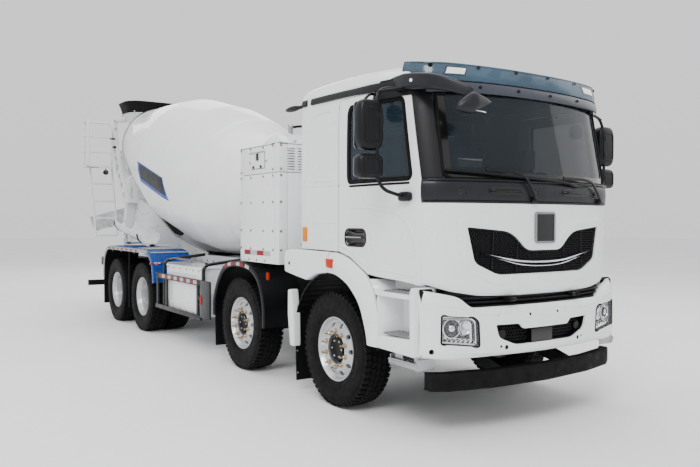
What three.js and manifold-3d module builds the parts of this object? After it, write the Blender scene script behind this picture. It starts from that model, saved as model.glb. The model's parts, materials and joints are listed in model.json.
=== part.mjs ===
// Concrete mixer truck, 8x4, electric, cab over, left-hand drive.
// Millimetres, +Z up.  The truck drives towards -Y, its right side is -X, and
// the origin is on the ground under the middle of its overall box.
// Lengths along the truck are written from the first axle (station 0, positive
// to the rear) and the whole group is moved by -STATION_MID at the end.
import * as THREE from 'three';
import { mergeVertices } from 'three/addons/utils/BufferGeometryUtils.js';
import Module from 'manifold-3d';

// ---------------------------------------------------------------- dimensions
const STATION_MID = 4325.8;           // station of the middle of the overall box
const AXLES = [0, 2000, 5470, 6820]; // stations of the four axles
const AXLE_Z = 535;                  // hub height = loaded tyre radius
const TYRE_R = 535;                  // distance from hub to the tread's flats
const TYRE_SIDES = 16;               // tread facets, one of them flat on the ground
const TYRE_BORE = 292;
const FRONT_TYRE_X = 1045;           // middle of a steered tyre
const TWIN_X = 924;                  // middle of a twin pair
const TWIN_HALF = 170;               // half the spacing of the pair
const TYRE_HALF_W = 150;
const KINGPIN_X = 860;
const RAIL_OUT = 430;                // outer face of the chassis rail's web
const RAIL_Z0 = 740, RAIL_Z1 = 1040;
const RAIL_FRONT = -1150, RAIL_REAR = 8950;
const BEAM_Z1 = 1190;                // top of the mixer's long beams
const CAB_HALF_W = 1200;
const CAB_FRONT = -1465, CAB_REAR = 640, CAB_TOP = 3110;
const CAB_WALL = 45;
const TILT_PIVOT = [-1470, 1088];    // station and height of the cab's tilt hinge
const DRUM_TILT = 13.405 * Math.PI / 180;
const DRUM_C = [5484, 2536];         // station and height of the drum's middle
const DRUM_WALL = 16;
const CHUTE_PIVOT = [0, 9280];
const CHUTE_REST = 48 * Math.PI / 180;  // rest angle of the chute, from straight back towards the right
const CHUTE_SLOPE = 14 * Math.PI / 180;
const GAP = 0.3;                     // left between parts that touch

// ---------------------------------------------------------------- helpers
const wasm = await Module();
wasm.setup();

function solid(geo) {
  const g = geo.clone();
  g.deleteAttribute('normal');
  g.deleteAttribute('uv');
  const m = mergeVertices(g, 1e-3);
  const p = m.attributes.position.array, idx = m.index.array, tri = [];
  let vol = 0;
  for (let i = 0; i < idx.length; i += 3) {
    const [a, b, c] = [idx[i], idx[i + 1], idx[i + 2]];
    if (a === b || b === c || a === c) continue;
    tri.push(a, b, c);
    const A = p.slice(3 * a, 3 * a + 3), B = p.slice(3 * b, 3 * b + 3), C = p.slice(3 * c, 3 * c + 3);
    vol += A[0] * (B[1] * C[2] - B[2] * C[1]) - A[1] * (B[0] * C[2] - B[2] * C[0]) + A[2] * (B[0] * C[1] - B[1] * C[0]);
  }
  if (vol < 0) for (let i = 0; i < tri.length; i += 3) [tri[i + 1], tri[i + 2]] = [tri[i + 2], tri[i + 1]];
  return new wasm.Manifold(new wasm.Mesh({
    numProp: 3, vertProperties: new Float32Array(p), triVerts: new Uint32Array(tri),
  }));
}
function geometryOf(s) {
  const m = s.getMesh();
  const g = new THREE.BufferGeometry();
  g.setAttribute('position', new THREE.BufferAttribute(new Float32Array(m.vertProperties), 3));
  g.setIndex(new THREE.BufferAttribute(new Uint32Array(m.triVerts), 1));
  return g;
}
// each vertex of a solid through fn, which keeps it closed
function warp(s, fn) {
  const g = geometryOf(s), p = g.attributes.position, v = new THREE.Vector3();
  for (let i = 0; i < p.count; i++) {
    const [x, y, z] = fn(p.getX(i), p.getY(i), p.getZ(i));
    p.setXYZ(i, x, y, z);
  }
  return solid(g);
}
const move = (s, dx, dy, dz) => warp(s, (x, y, z) => [x + dx, y + dy, z + dz]);
const mirror = (s) => warp(s, (x, y, z) => [-x, y, z]);
const join = (...list) => list.flat().reduce((a, b) => a.add(b));
const cut = (s, ...list) => list.flat().reduce((a, b) => a.subtract(b), s);
const both = (s) => s.add(mirror(s));

function box(x0, x1, y0, y1, z0, z1) {
  const g = new THREE.BoxGeometry(Math.abs(x1 - x0), Math.abs(y1 - y0), Math.abs(z1 - z0));
  g.translate((x0 + x1) / 2, (y0 + y1) / 2, (z0 + z1) / 2);
  return solid(g);
}
function extrude(pts, depth) {
  const s = new THREE.Shape(pts.map(([a, b]) => new THREE.Vector2(a, b)));
  return new THREE.ExtrudeGeometry(s, { depth, bevelEnabled: false, steps: 1 });
}
function remap(g, fn) {
  const p = g.attributes.position;
  for (let i = 0; i < p.count; i++) {
    const [x, y, z] = fn(p.getX(i), p.getY(i), p.getZ(i));
    p.setXYZ(i, x, y, z);
  }
  return solid(g);
}
// outline in (station, height), across from x0 to x1
const prismX = (pts, x0, x1) => remap(extrude(pts, x1 - x0), (a, b, c) => [x0 + c, a, b]);
// outline in (x, height), along from y0 to y1
const prismY = (pts, y0, y1) => remap(extrude(pts, y1 - y0), (a, b, c) => [a, y0 + c, b]);
// outline in (x, station), up from z0 to z1
const prismZ = (pts, z0, z1) => remap(extrude(pts, z1 - z0), (a, b, c) => [a, b, z0 + c]);
// turned profile [(radius, along)], then fn places (u, v, along)
function turned(profile, sides, fn, closed = true) {
  const pts = profile.map(([r, h]) => new THREE.Vector2(r, h));
  if (closed) pts.push(pts[0].clone());
  return remap(new THREE.LatheGeometry(pts, sides, Math.PI / sides), (x, y, z) => fn(x, z, y));
}
// round bar between two points
function bar(a, b, r, sides = 8, r2 = r) {
  const A = new THREE.Vector3(...a), B = new THREE.Vector3(...b), d = B.clone().sub(A);
  const g = new THREE.CylinderGeometry(r2, r, d.length(), sides);
  g.applyQuaternion(new THREE.Quaternion().setFromUnitVectors(new THREE.Vector3(0, 1, 0), d.clone().normalize()));
  g.translate((A.x + B.x) / 2, (A.y + B.y) / 2, (A.z + B.z) / 2);
  return solid(g);
}
const rot2 = (a, b, t) => [a * Math.cos(t) - b * Math.sin(t), a * Math.sin(t) + b * Math.cos(t)];

const group = new THREE.Group();
const paint = {
  white: [0xf2f4f6, 0.25, 0.1], blue: [0x1f6fc4, 0.35, 0.2], black: [0x17181a, 0.6, 0.0],
  rubber: [0x1a1a1b, 0.85, 0.0], steel: [0x9a9da1, 0.4, 0.8], frame: [0x2a2b2e, 0.6, 0.3],
  grey: [0x8d9196, 0.5, 0.2], glass: [0x22303a, 0.08, 0.0], tint: [0x3b6ea0, 0.1, 0.0],
  seat: [0x2b2c30, 0.9, 0.0],
};
function put(name, s, colour) {
  const [color, roughness, metalness] = paint[colour];
  const g = geometryOf(s);
  g.translate(0, -STATION_MID, 0);
  g.computeVertexNormals();
  const mat = new THREE.MeshStandardMaterial({ color, roughness, metalness });
  if (colour === 'glass' || colour === 'tint') { mat.transparent = true; mat.opacity = 0.4; }
  const mesh = new THREE.Mesh(g, mat);
  mesh.name = name;
  group.add(mesh);
}
// a part of the right side, and its mirror image on the left
function pair(name, s, colour) {
  put(name + '_right', s, colour);
  put(name + '_left', mirror(s), colour);
}

// ---------------------------------------------------------------- wheels
const RV = TYRE_R / Math.cos(Math.PI / TYRE_SIDES);
// (u, v, along) of a turned wheel, for the right side: along is outboard
const wheelAt = (x, y) => (u, v, h) => [-(x + h), y + u, AXLE_Z - v];

const frontTyre = [[TYRE_BORE, -125], [415, -TYRE_HALF_W], [RV, -116], [RV, 116], [415, TYRE_HALF_W], [TYRE_BORE, 125]];
const twinTyre = [
  [TYRE_BORE, -295], [415, -320], [RV, -286], [RV, -54], [415, -20], [306, -50],
  [306, 50], [415, 20], [RV, 54], [RV, 286], [415, 320], [TYRE_BORE, 295],
];
const frontRim = [
  [0, 20], [42, 20], [42, -60], [110, -60], [110, 70], [264, 70], [264, -118], [285, -118],
  [285, 118], [264, 100], [130, 92], [104, 148], [0, 148],
];
const twinRim = [
  [0, 40], [52, 40], [52, -285], [205, -285], [205, -14], [264, -14], [264, -288], [285, -288],
  [285, 288], [264, 288], [264, 14], [150, 14], [112, 150], [0, 150],
];
for (const i of [0, 1]) {
  const at = wheelAt(FRONT_TYRE_X, AXLES[i]);
  pair(`axle_${i + 1}_tyre`, turned(frontTyre, TYRE_SIDES, at), 'rubber');
  pair(`axle_${i + 1}_rim`, turned(frontRim, 8, at, false), 'steel');
}
for (const i of [2, 3]) {
  const at = wheelAt(TWIN_X, AXLES[i]);
  pair(`axle_${i + 1}_twin_tyres`, turned(twinTyre, TYRE_SIDES, at), 'rubber');
  pair(`axle_${i + 1}_twin_rims`, turned(twinRim, 8, at, false), 'steel');
}

// ---------------------------------------------------------------- steered axles
function springs(y, half) {
  const o = [[y - half, 716], [y - half * 0.5, 640], [y, 612], [y + half * 0.5, 640], [y + half, 716]];
  const u = [[y + half, 690], [y + half * 0.5, 590], [y + 70, 540], [y - 70, 540], [y - half * 0.5, 590], [y - half, 690]];
  return prismX([...o, ...u], -RAIL_OUT + 2, -RAIL_OUT + 78);
}
for (const i of [0, 1]) {
  const y = AXLES[i];
  // beam with its drop between the springs, and the eyes that hold the kingpins
  const profile = [[-800, 590], [-800, 470], [-640, 430], [640, 430], [800, 470], [800, 590], [620, 540], [-620, 540]];
  let beam = prismY(profile, y - 50, y + 50);
  beam = join(beam, both(bar([-KINGPIN_X, y, 472], [-KINGPIN_X, y, 598], 62, 8)), both(box(-KINGPIN_X, -780, y - 40, y + 40, 480, 590)));
  beam = join(beam, both(springs(y, 800)));
  beam = cut(beam, both(bar([-KINGPIN_X, y, 400], [-KINGPIN_X, y, 700], 25, 8)));
  put(`axle_${i + 1}_beam`, beam, 'frame');
  // knuckle: arms above and below the eye, kingpin, brake plate and spindle
  const k = join(
    bar([-KINGPIN_X, y, 400], [-KINGPIN_X, y, 466], 58, 8),
    bar([-KINGPIN_X, y, 604], [-KINGPIN_X, y, 670], 58, 8),
    bar([-KINGPIN_X, y, 410], [-KINGPIN_X, y, 660], 21, 8),
    box(-948, -KINGPIN_X, y - 40, y + 40, 404, 462),
    box(-948, -KINGPIN_X, y - 40, y + 40, 608, 666),
    bar([-936, y, AXLE_Z], [-976, y, AXLE_Z], 198, 12),
    bar([-930, y, AXLE_Z], [-1058, y, AXLE_Z], 38, 8),
  );
  pair(`axle_${i + 1}_knuckle`, k, 'frame');
}

// ---------------------------------------------------------------- rear bogie
{
  const parts = [];
  for (const y of [AXLES[2], AXLES[3]]) {
    parts.push(bar([-590, y, AXLE_Z], [590, y, AXLE_Z], 75, 12));
    parts.push(both(bar([-960, y, AXLE_Z], [-560, y, AXLE_Z], 46, 12)));
    parts.push(bar([0, y - 60, AXLE_Z], [0, y + 150, AXLE_Z], 190, 12));
  }
  const mid = (AXLES[2] + AXLES[3]) / 2;
  // inverted leaf packs from axle to axle, with their middle saddles
  const leaf = [[AXLES[2] - 90, 612], [mid - 250, 690], [mid + 250, 690], [AXLES[3] + 90, 612],
    [AXLES[3] + 90, 590], [mid + 200, 610], [mid - 200, 610], [AXLES[2] - 90, 590]];
  parts.push(both(prismX(leaf, -RAIL_OUT - 20, -RAIL_OUT + 70)));
  parts.push(both(prismX([[AXLES[2] - 60, 600], [AXLES[2] + 60, 600], [AXLES[2] + 60, 520], [AXLES[2] - 60, 520]], -450, -360)));
  parts.push(both(prismX([[AXLES[3] - 60, 600], [AXLES[3] + 60, 600], [AXLES[3] + 60, 520], [AXLES[3] - 60, 520]], -450, -360)));
  parts.push(both(box(-426, -362, mid - 110, mid + 110, 650, RAIL_Z0 - GAP)));
  parts.push(bar([0, AXLES[2], AXLE_Z + 20], [0, AXLES[3], AXLE_Z + 20], 45, 8));
  put('rear_bogie', join(parts), 'frame');
}

// ---------------------------------------------------------------- chassis
{
  const parts = [];
  const web = 9, fl = 85;
  parts.push(both(join(
    box(-RAIL_OUT, -RAIL_OUT + web, RAIL_FRONT, RAIL_REAR, RAIL_Z0, RAIL_Z1),
    box(-RAIL_OUT, -RAIL_OUT + fl, RAIL_FRONT, RAIL_REAR, RAIL_Z0, RAIL_Z0 + web),
    box(-RAIL_OUT, -RAIL_OUT + fl, RAIL_FRONT, RAIL_REAR, RAIL_Z1 - web, RAIL_Z1),
  )));
  for (const y of [-1110, -560, 1060, 2960, 4640, 6145, 7500, 8880])
    parts.push(box(-RAIL_OUT + 4, RAIL_OUT - 4, y - 40, y + 40, RAIL_Z0 + 40, RAIL_Z1 - 40));
  // spring hangers
  for (const y of [AXLES[0], AXLES[1]])
    for (const s of [-1, 1])
      parts.push(both(box(-RAIL_OUT + 4, -RAIL_OUT + 74, y + s * 790 - 30, y + s * 790 + 30, 717, RAIL_Z0 + 5)));
  // front underrun bar on its arms
  const bow = [[-1100, -1285], [-1000, -1350], [-600, -1450], [0, -1500], [600, -1450], [1000, -1350], [1100, -1285]];
  const bowIn = bow.map(([x, y]) => [x * 0.985, y + 80]).reverse();
  parts.push(prismZ([...bow, ...bowIn], 410, 520));
  parts.push(both(prismX([[-1090, 745], [-1150, 745], [-1150, 600], [-1440, 510], [-1440, 420], [-1090, 500]], -428, -360)));
  // arms of the cab's tilt hinge, above the bumper
  parts.push(both(join(
    prismX([[-1452, 1100], [-1080, 1120], [-1050, RAIL_Z1 - 4], [-1150, RAIL_Z1 - 4], [-1180, 1072], [-1460, 1076]], -400, -350),
    bar([-400, TILT_PIVOT[0], TILT_PIVOT[1]], [-350, TILT_PIVOT[0], TILT_PIVOT[1]], 16, 12),
    bar([-446, TILT_PIVOT[0], TILT_PIVOT[1]], [-360, TILT_PIVOT[0], TILT_PIVOT[1]], 8, 8),
  )));
  // rear guard bar and its drop arms
  parts.push(box(-1195, 1195, 8820, 8900, 450, 550));
  parts.push(both(box(-428, -360, 8820, 8900, 540, RAIL_Z0 + 5)));
  put('chassis_frame', join(parts), 'frame');
}
put('traction_motor', join(
  box(-300, 300, 3050, 3900, 560, 1000),
  bar([0, 3890, 760], [0, 4560, 700], 170, 12),
), 'grey');

// ---------------------------------------------------------------- cab shell
// plan outline of the front, one side: x, station
const PLAN = [[1200, 640], [1200, -500], [1172, -900], [1140, -1200], [1075, -1262], [960, -1332], [789, -1388], [600, -1421], [433, -1440], [220, -1458], [0, -1465]];
// side outline above the belt: station, height
const ROOF = [[640, 1150], [640, 2840], [612, 2990], [520, 3076], [300, 3106], [0, 3110], [-350, 3092], [-700, 3050], [-940, 3000], [-1100, 2940], [-1190, 2880], [-1700, 2830], [-1700, 1000], [640, 1000]];
const RAKE = 0.19;                  // rearward lean of the windscreen
const BELT = 2060;
function cabSolid() {
  const full = [...PLAN, ...PLAN.slice(0, -1).reverse().map(([x, y]) => [-x, y])];
  const low = prismZ(full, 1000, BELT);
  let up = prismZ(full, BELT, 3300);
  // front half of the upper cab leans back
  up = warp(up, (x, y, z) => (y < -600 ? [x, y + (z - BELT) * RAKE * Math.min(1, (-600 - y) / 600), z] : [x, y, z]));
  const side = prismX(ROOF, -1300, 1300);
  // roof camber and a slight lean-in above the gutter
  const camber = prismY([[-1210, 900], [1210, 900], [1205, 2850], [1150, 2960], [1020, 3050], [760, 3092], [300, 3112], [-300, 3112], [-760, 3092], [-1020, 3050], [-1150, 2960], [-1205, 2850]], -1700, 800);
  return join(low, up).intersect(side).intersect(camber);
}
const OUTER = cabSolid();
const inset = (t) => {
  const cy = (CAB_FRONT + CAB_REAR) / 2, hy = (CAB_REAR - CAB_FRONT) / 2;
  return warp(OUTER, (x, y, z) => [x * (CAB_HALF_W - t) / CAB_HALF_W, cy + (y - cy) * (hy - t) / hy,
    z > BELT ? BELT + (z - BELT) * (CAB_TOP - t - BELT) / (CAB_TOP - BELT) : z]);
};
const INNER = inset(CAB_WALL);
// the shell is open below, where the floor closes it
const SHELL = cut(OUTER, INNER, move(INNER, 0, 0, -300));

// lower edge of the cab's side: station, height
const SILL = [[-1400, 1206], [-1190, 1210], [-947, 1235], [-560, 1265], [-447, 1322], [-291, 1400], [-94, 1447], [800, 1458]];
const below = prismX([...SILL, [800, 900], [-1400, 900]], -1400, 1400);
const DOOR_FRONT = -1190, DOOR_REAR = -100, DOOR_TOP = 2822;
const doorEdge = (z) => DOOR_FRONT + Math.max(0, z - BELT) * RAKE;
function doorOutline(m) {            // m grows the outline
  return [[DOOR_FRONT - m, 1000], [DOOR_REAR + m, 1000], [DOOR_REAR + m, 2700], [DOOR_REAR - 40 + m, DOOR_TOP + m],
    [doorEdge(DOOR_TOP) - m, DOOR_TOP + m], [DOOR_FRONT - m, BELT + 4]];
}
const GLASS_SIDE = [[-1105, 2050], [-262, 2050], [-250, 2100], [-250, 2700], [-275, 2745], [-985, 2745]];
const shrink = (pts, m) => {
  const cy = pts.reduce((a, p) => a + p[0], 0) / pts.length, cz = pts.reduce((a, p) => a + p[1], 0) / pts.length;
  return pts.map(([a, b]) => [a + Math.sign(cy - a) * m, b + Math.sign(cz - b) * m]);
};
const WS_X = 1008, WS_Z0 = 2066, WS_Z1 = 2836;   // windscreen opening
const rightOnly = box(-1400, -700, -1800, 900, 900, 3300);

// roof: everything above the gutter
put('cab_roof', SHELL.intersect(box(-1400, 1400, -1800, 900, 2905, 3300)), 'white');
// rear wall between the side panels
put('cab_rear_wall', SHELL.intersect(box(-1148, 1148, 500, 900, 1459, 2905 - GAP)), 'white');
// side panels: rear quarter, header over the door, windscreen pillar
{
  const zone = box(-1400, -1148 - GAP, -1800, 900, 1200, 2905 - GAP)
    .add(box(-1400, -WS_X, -1800, -700, BELT + 6, 2905 - GAP));
  let s = SHELL.intersect(zone).intersect(rightOnly);
  s = cut(s, below, prismX(doorOutline(6), -1400, -700));
  s = cut(s, prismX([[-1800, 900], [-1130, 900], [-1130, BELT + 6], [-1800, BELT + 6]], -1400, -700));
  pair('cab_side', s, 'white');
}
// doors, as thick as the wall, with the window cut
const doorZone = prismX(doorOutline(0), -1400, -1000);
const windowHole = prismX(GLASS_SIDE, -1400, -900);
{
  const s = cut(SHELL.intersect(doorZone), below, windowHole);
  pair('door', s, 'white');
  const pane = cut(inset(12), inset(18)).intersect(prismX(shrink(GLASS_SIDE, 1), -1400, -900));
  pair('door_glass', pane, 'glass');
}
// windscreen
{
  const g = cut(inset(8), inset(15)).intersect(box(-WS_X + 1.5, WS_X - 1.5, -1800, -1000, WS_Z0 + 1, WS_Z1 - 1));
  put('windscreen', g, 'glass');
}
// header bar over the windscreen belongs to the roof's front; floor, front wall and cowl are one base
{
  const cowl = SHELL.intersect(box(-1126, 1126, -1800, -1197, 1880, BELT));
  const inside = inset(CAB_WALL + 7);
  const floor = prismZ([[-1140, 590], [-1140, -1120], [-1066, -1150], [-1066, -1320], [1066, -1320], [1066, -1150], [1140, -1120], [1140, 590]], 1470, 1520).intersect(inside);
  const front = box(-1040, 1040, -1330, -1270, 1200, 2040).intersect(inside);
  const ties = prismX([[-1460, 1900], [-1300, 1900], [-1300, 1960], [-1460, 1960]], -500, 500).intersect(inset(20));
  const lug = both(join(
    bar([-440, TILT_PIVOT[0], TILT_PIVOT[1]], [-406, TILT_PIVOT[0], TILT_PIVOT[1]], 16, 12),
    prismX([[-1468, 1102], [-1380, 1104], [-1330, 1230], [-1280, 1230], [-1280, 1160], [-1360, 1076], [-1468, 1074]], -440, -406),
  ));
  let base = join(cowl, floor, front, ties, lug);
  base = cut(base, both(bar([-460, TILT_PIVOT[0], TILT_PIVOT[1]], [-390, TILT_PIVOT[0], TILT_PIVOT[1]], 10.5, 8)));
  put('cab_floor', base, 'black');
}
// the flap under the windscreen
{
  const outline = [[-1128, 1236], [-1060, 1206], [-940, 1168], [-700, 1128], [-350, 1116], [350, 1116], [700, 1128], [940, 1168], [1060, 1206], [1128, 1236], [1128, 1874], [-1128, 1874]];
  const f = SHELL.intersect(prismY(outline, -1800, -1185));
  put('front_flap', cut(f, box(-1400, 1400, -1196, 0, 1000, 2000), box(-1400, 1400, -1244, 0, 1000, 1208)), 'white');
}
// tinted visor in front of the roof's edge
{
  const line = [[-963, -1130], [-800, -1212], [-500, -1272], [0, -1295], [500, -1272], [800, -1212], [963, -1130]];
  const back = line.map(([x, y]) => [x, y + 9]).reverse();
  let v = prismZ([...line, ...back], 2800, 3030);
  v = warp(v, (x, y, z) => [x, y - (3030 - z) * 0.42, z]);
  const arms = [-720, -240, 240, 720].map((x) => prismX([[-1300, 2950], [-1050, 2985], [-1050, 2960], [-1300, 2925]], x - 14, x + 14));
  const a = cut(join(arms), OUTER, move(OUTER, 0, -0.5, 0), move(OUTER, 0, 0, 0.5));
  const halfArms = a.intersect(box(-1300, 1300, -1340, -1000, 2700, 3200));
  put('sun_visor', keepMain(v.add(halfArms)), 'tint');
}
function keepMain(s) {
  const list = s.decompose();
  return list.sort((a, b) => b.volume() - a.volume())[0];
}
// mirrors on arms from the door
{
  const m = join(
    box(-1600, -1358, -985, -925, 2290, 2690),
    box(-1600, -1350, -985, -925, 2062, 2262),
    bar([-1420, -935, 2040], [-1420, -935, 2700], 16, 6),
    bar([-1425, -935, 2672], [-1212, -1000, 2765], 16, 6),
    bar([-1425, -935, 2060], [-1200, -1080, 1930], 16, 6),
    box(-1215, -1195, -1120, -1040, 1870, 1980),
    box(-1225, -1200, -1030, -970, 2750, 2790),
  );
  const c = cut(m, OUTER, move(OUTER, -0.5, 0, 0));
  pair('door_mirror', keepMain(c), 'black');
}
// seats on a shared rail plinth
{
  const one = (x) => join(
    box(x - 230, x + 230, -560, 20, 1540, 1760),
    box(x - 260, x + 260, -600, 60, 1750, 1900),
    prismX([[-40, 1880], [80, 1880], [190, 2480], [170, 2620], [100, 2620], [60, 2480]], x - 250, x + 250),
  );
  put('seats', join(box(-820, 820, -500, 0, 1520 + GAP, 1560), one(-560), one(560)), 'seat');
}
// dashboard with the steering column and wheel
{
  const d = prismX([[-1268, 1750], [-1100, 1700], [-1010, 1800], [-1010, 1960], [-1080, 2030], [-1268, 2030]], -1060, 1060);
  const ring = turned([[205, -14], [232, -14], [232, 14], [205, 14]], 16, (u, v, h) => [u, v, h]);
  const spoke = join(box(-210, 210, -22, 22, -12, 4), box(-22, 22, 0, 210, -12, 4), bar([0, 0, -220], [0, 0, 0], 30, 8));
  const wheel = warp(join(ring, spoke), (x, y, z) => {
    const [b, c] = rot2(y, z, 0.9);
    return [x + 560, b - 800, c + 2010];
  });
  put('dashboard', join(d.intersect(inset(CAB_WALL + 9)), wheel, bar([560, -1040, 1900], [560, -810, 2000], 34, 8)), 'black');
}

// ---------------------------------------------------------------- bumper
{
  const out = [[-1202, -1240], [-1202, -1268], [-1150, -1312], [-1061, -1370], [-900, -1415], [-584, -1455], [-300, -1485], [0, -1500], [300, -1485], [584, -1455], [900, -1415], [1061, -1370], [1150, -1312], [1202, -1268], [1202, -1240]];
  const inn = [[1130, -1240], [1000, -1300], [600, -1392], [0, -1440], [-600, -1392], [-1000, -1300], [-1130, -1240]];
  const face = [[-1202, 655], [-1000, 636], [0, 633], [1000, 636], [1202, 655], [1202, 1188], [1000, 1150], [860, 1130], [760, 1064], [-760, 1064], [-860, 1130], [-1000, 1150], [-1202, 1188]];
  let b = prismZ([...out, ...inn], 600, 1200).intersect(prismY(face, -1600, -1200));
  b = cut(b, box(-560, 560, -1600, -1200, 722, 882));
  b = cut(b, both(prismZ([[-1062, -1500], [-716, -1500], [-716, -1395], [-1050, -1335], [-1062, -1335]], 735, 980)));
  b = join(b, both(box(-RAIL_OUT + 8, -RAIL_OUT + 80, -1440, RAIL_FRONT - GAP, 900, 1000)));
  put('bumper', b, 'white');
}

// ---------------------------------------------------------------- front fenders and steps
{
  const arch = [[404, 1152], [236, 1221], [57, 1251], [-114, 1235], [-278, 1174], [-390, 1094], [-483, 998], [-544, 875], [-589, 752], [-604, 600]];
  const top = [[-1236, 1196], [-1190, 1200], [-947, 1225], [-560, 1255], [-447, 1310], [-291, 1388], [-94, 1435], [640, 1446], [800, 1420], [830, 1390]];
  const plate = prismX([[-1236, 600], ...top, [830, 1200], [404, 1200], ...arch], -1245, -1165);
  const liner = [], liner2 = [];
  for (let i = 0; i <= 9; i++) {
    const t = (8 + i * 16.4) * Math.PI / 180;
    liner.push([704 * Math.cos(t), AXLE_Z + 704 * Math.sin(t)]);
    liner2.push([714 * Math.cos(t), AXLE_Z + 714 * Math.sin(t)]);
  }
  const band = prismX([...liner, ...liner2.reverse()], -1200, -800).intersect(box(-1300, 0, -705, 700, 640, 1300));
  const stepBox = prismX([[-1236, 600], [-1236, 1196], [-947, 1225], [-700, 1243], [-700, 600]], -1245, -970);
  const pockets = [box(-1300, -1010, -1214, -770, 805, 1128), box(-1300, -1010, -1214, -770, 640, 725)];
  const tread = box(-1262, -1015, -1230, -800, 560, 622);
  // box and leg behind the wheel, with the flap that hangs from it
  const rear = join(
    prismX([[452, 1200], [640, 1446], [800, 1420], [830, 1390], [830, 1200]], -1245, -800),
    box(-1245, -900, 668, 770, 466, 1210),
    box(-1230, -905, 668, 680, 125, 480),
  );
  const lampHouse = box(-1245, -1010, 452, 830, 1200, 1250);
  const arms = join(
    box(-960, -RAIL_OUT - GAP, 690, 760, 1215, 1275).intersect(box(-960, -RAIL_OUT - GAP, 0, 2000, 0, 1240)),
    box(-960, -RAIL_OUT - GAP, 700, 760, 960, 1020),
    box(-980, -RAIL_OUT - GAP, -1150, -1090, 800, 880),
  );
  const fender = join(cut(join(plate, stepBox), ...pockets), band, tread, rear, lampHouse, arms);
  pair('front_fender', fender, 'white');
}

// ---------------------------------------------------------------- second axle's mudguards
{
  const o = [[1325, 560], [1340, 830], [1440, 1060], [1620, 1200], [1850, 1250], [2150, 1250], [2380, 1190], [2560, 1040], [2700, 800], [2720, 560]];
  const n = [[2666, 560], [2645, 800], [2510, 1010], [2350, 1140], [2140, 1203], [1860, 1203], [1650, 1140], [1490, 1010], [1356, 800], [1350, 560]];
  const shell = prismX([...o, ...n], -1220, -750);
  const wing = join(
    shell,
    box(-1210, -800, 2668, 2682, 180, 570),
    box(-780, -RAIL_OUT - GAP, 1328, 1350, 770, 830),
    box(-780, -RAIL_OUT - GAP, 2656, 2690, 820, 880),
  );
  pair('axle_2_mudguard', wing, 'black');
}

// ---------------------------------------------------------------- battery and cooling cabinet, water tank
const TANK = [1590, 2330, 372];      // station, height, radius of the tank
{
  const body = join(
    box(-1200, 1200, 1045, 1970, 1262, 2550),
    box(-425, 425, 1045, 1318, 1100, 1270),
    box(-425, 425, 1500, 1900, RAIL_Z1 + GAP, 1270),
    box(-425, 425, 1045, 1120, RAIL_Z1 + GAP, 1270),
  );
  const bed = box(-1085, 1085, TANK[0] - TANK[2] - 8, TANK[0] + TANK[2] + 8, TANK[1] - TANK[2] - 10, 2700);
  put('battery_cabinet', cut(body, bed), 'white');
  const prof = [[0, -1060], [150, -1052], [290, -1018], [TANK[2], -950], [TANK[2], 950], [290, 1018], [150, 1052], [0, 1060]];
  const tank = turned(prof, 20, (u, v, h) => [h, TANK[0] + u, TANK[1] + v], false);
  const feet = [-700, 700].map((x) => box(x - 40, x + 40, TANK[0] - 120, TANK[0] + 120, TANK[1] - TANK[2] - 10 + GAP, TANK[1] - 300));
  const cover = bar([-430, 1480, 2640], [-430, 1480, 2780], 30, 8);
  put('water_tank', join(tank, cover, ...feet), 'white');
}

// ---------------------------------------------------------------- side boxes with their guards
{
  const b = join(
    box(-1200, -560, 3150, 4420, 460, 1100),
    box(-600, -RAIL_OUT - GAP, 3300, 3380, 900, 1000),
    box(-600, -RAIL_OUT - GAP, 4190, 4270, 900, 1000),
    // guard: top rail, lower board, uprights
    box(-1240, -1212, 3080, 4800, 882, 957),
    box(-1240, -1212, 3080, 4800, 440, 500),
    box(-1236, -1190, 3180, 3240, 440, 957),
    box(-1236, -1190, 4340, 4400, 440, 957),
    box(-1234, -1206, 4720, 4770, 440, 957),
    box(-1240, -1215, 2780, 3085, 480, 960),
    box(-1236, -1190, 3040, 3200, 700, 760),
  );
  const hoop = [[-1207, 470], [-1163, 470], [-1163, 1080], [-1140, 1130], [-1090, 1148], [-560, 1188], [-560, 1232], [-1100, 1192], [-1175, 1165], [-1207, 1090]];
  const hoop1 = prismY(hoop, 4540, 4580);
  const hoop2 = prismY(hoop.map(([x, z]) => [x, Math.max(z, 620)]), 3085, 3125);
  const links = join(box(-1215, -1165, 4400, 4580, 890, 930), box(-1215, -1165, 3085, 3160, 890, 930), box(-700, -640, 4400, 4582, 1040, 1098), box(-700, -640, 4545, 4575, 1040, 1215),
    box(-700, -640, 3082, 3160, 1040, 1098), box(-700, -640, 3085, 3115, 1040, 1215));
  pair('side_box', join(b, hoop1, hoop2, links), 'white');
}

// ---------------------------------------------------------------- rear mudguards
{
  const o = [[4870, 790], [4900, 1000], [4960, 1130], [5080, 1225], [5230, 1265], [7260, 1265], [7430, 1215], [7550, 1090], [7600, 900], [7610, 700]];
  const n = o.map(([y, z], i) => [y + [26, 26, 22, 14, 2, -2, -14, -24, -26, -26][i], z - [0, 6, 14, 22, 26, 26, 22, 12, 4, 0][i]]).reverse();
  const shell = prismX([...o, ...n], -1250, -620);
  // lip along the outer edge
  const lip0 = o.map(([y, z], i) => [y + [70, 70, 60, 40, 10, -10, -40, -60, -70, -70][i], z - [0, 10, 32, 52, 66, 66, 52, 28, 8, 0][i]]).reverse();
  const lip = prismX([...o, ...lip0], -1250, -1236);
  const arms = join(
    box(-700, -RAIL_OUT - GAP, 4872, 4894, 900, 960),
    box(-760, -RAIL_OUT - GAP, 6125, 6165, 960, 1000),
    box(-900, -720, 6125, 6165, 960, 1250),
    box(-700, -RAIL_OUT - GAP, 7580, 7604, 820, 880),
    box(-1230, -640, 7588, 7602, 230, 800),
  );
  pair('rear_mudguard', join(shell, lip, arms), 'blue');
}

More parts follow.
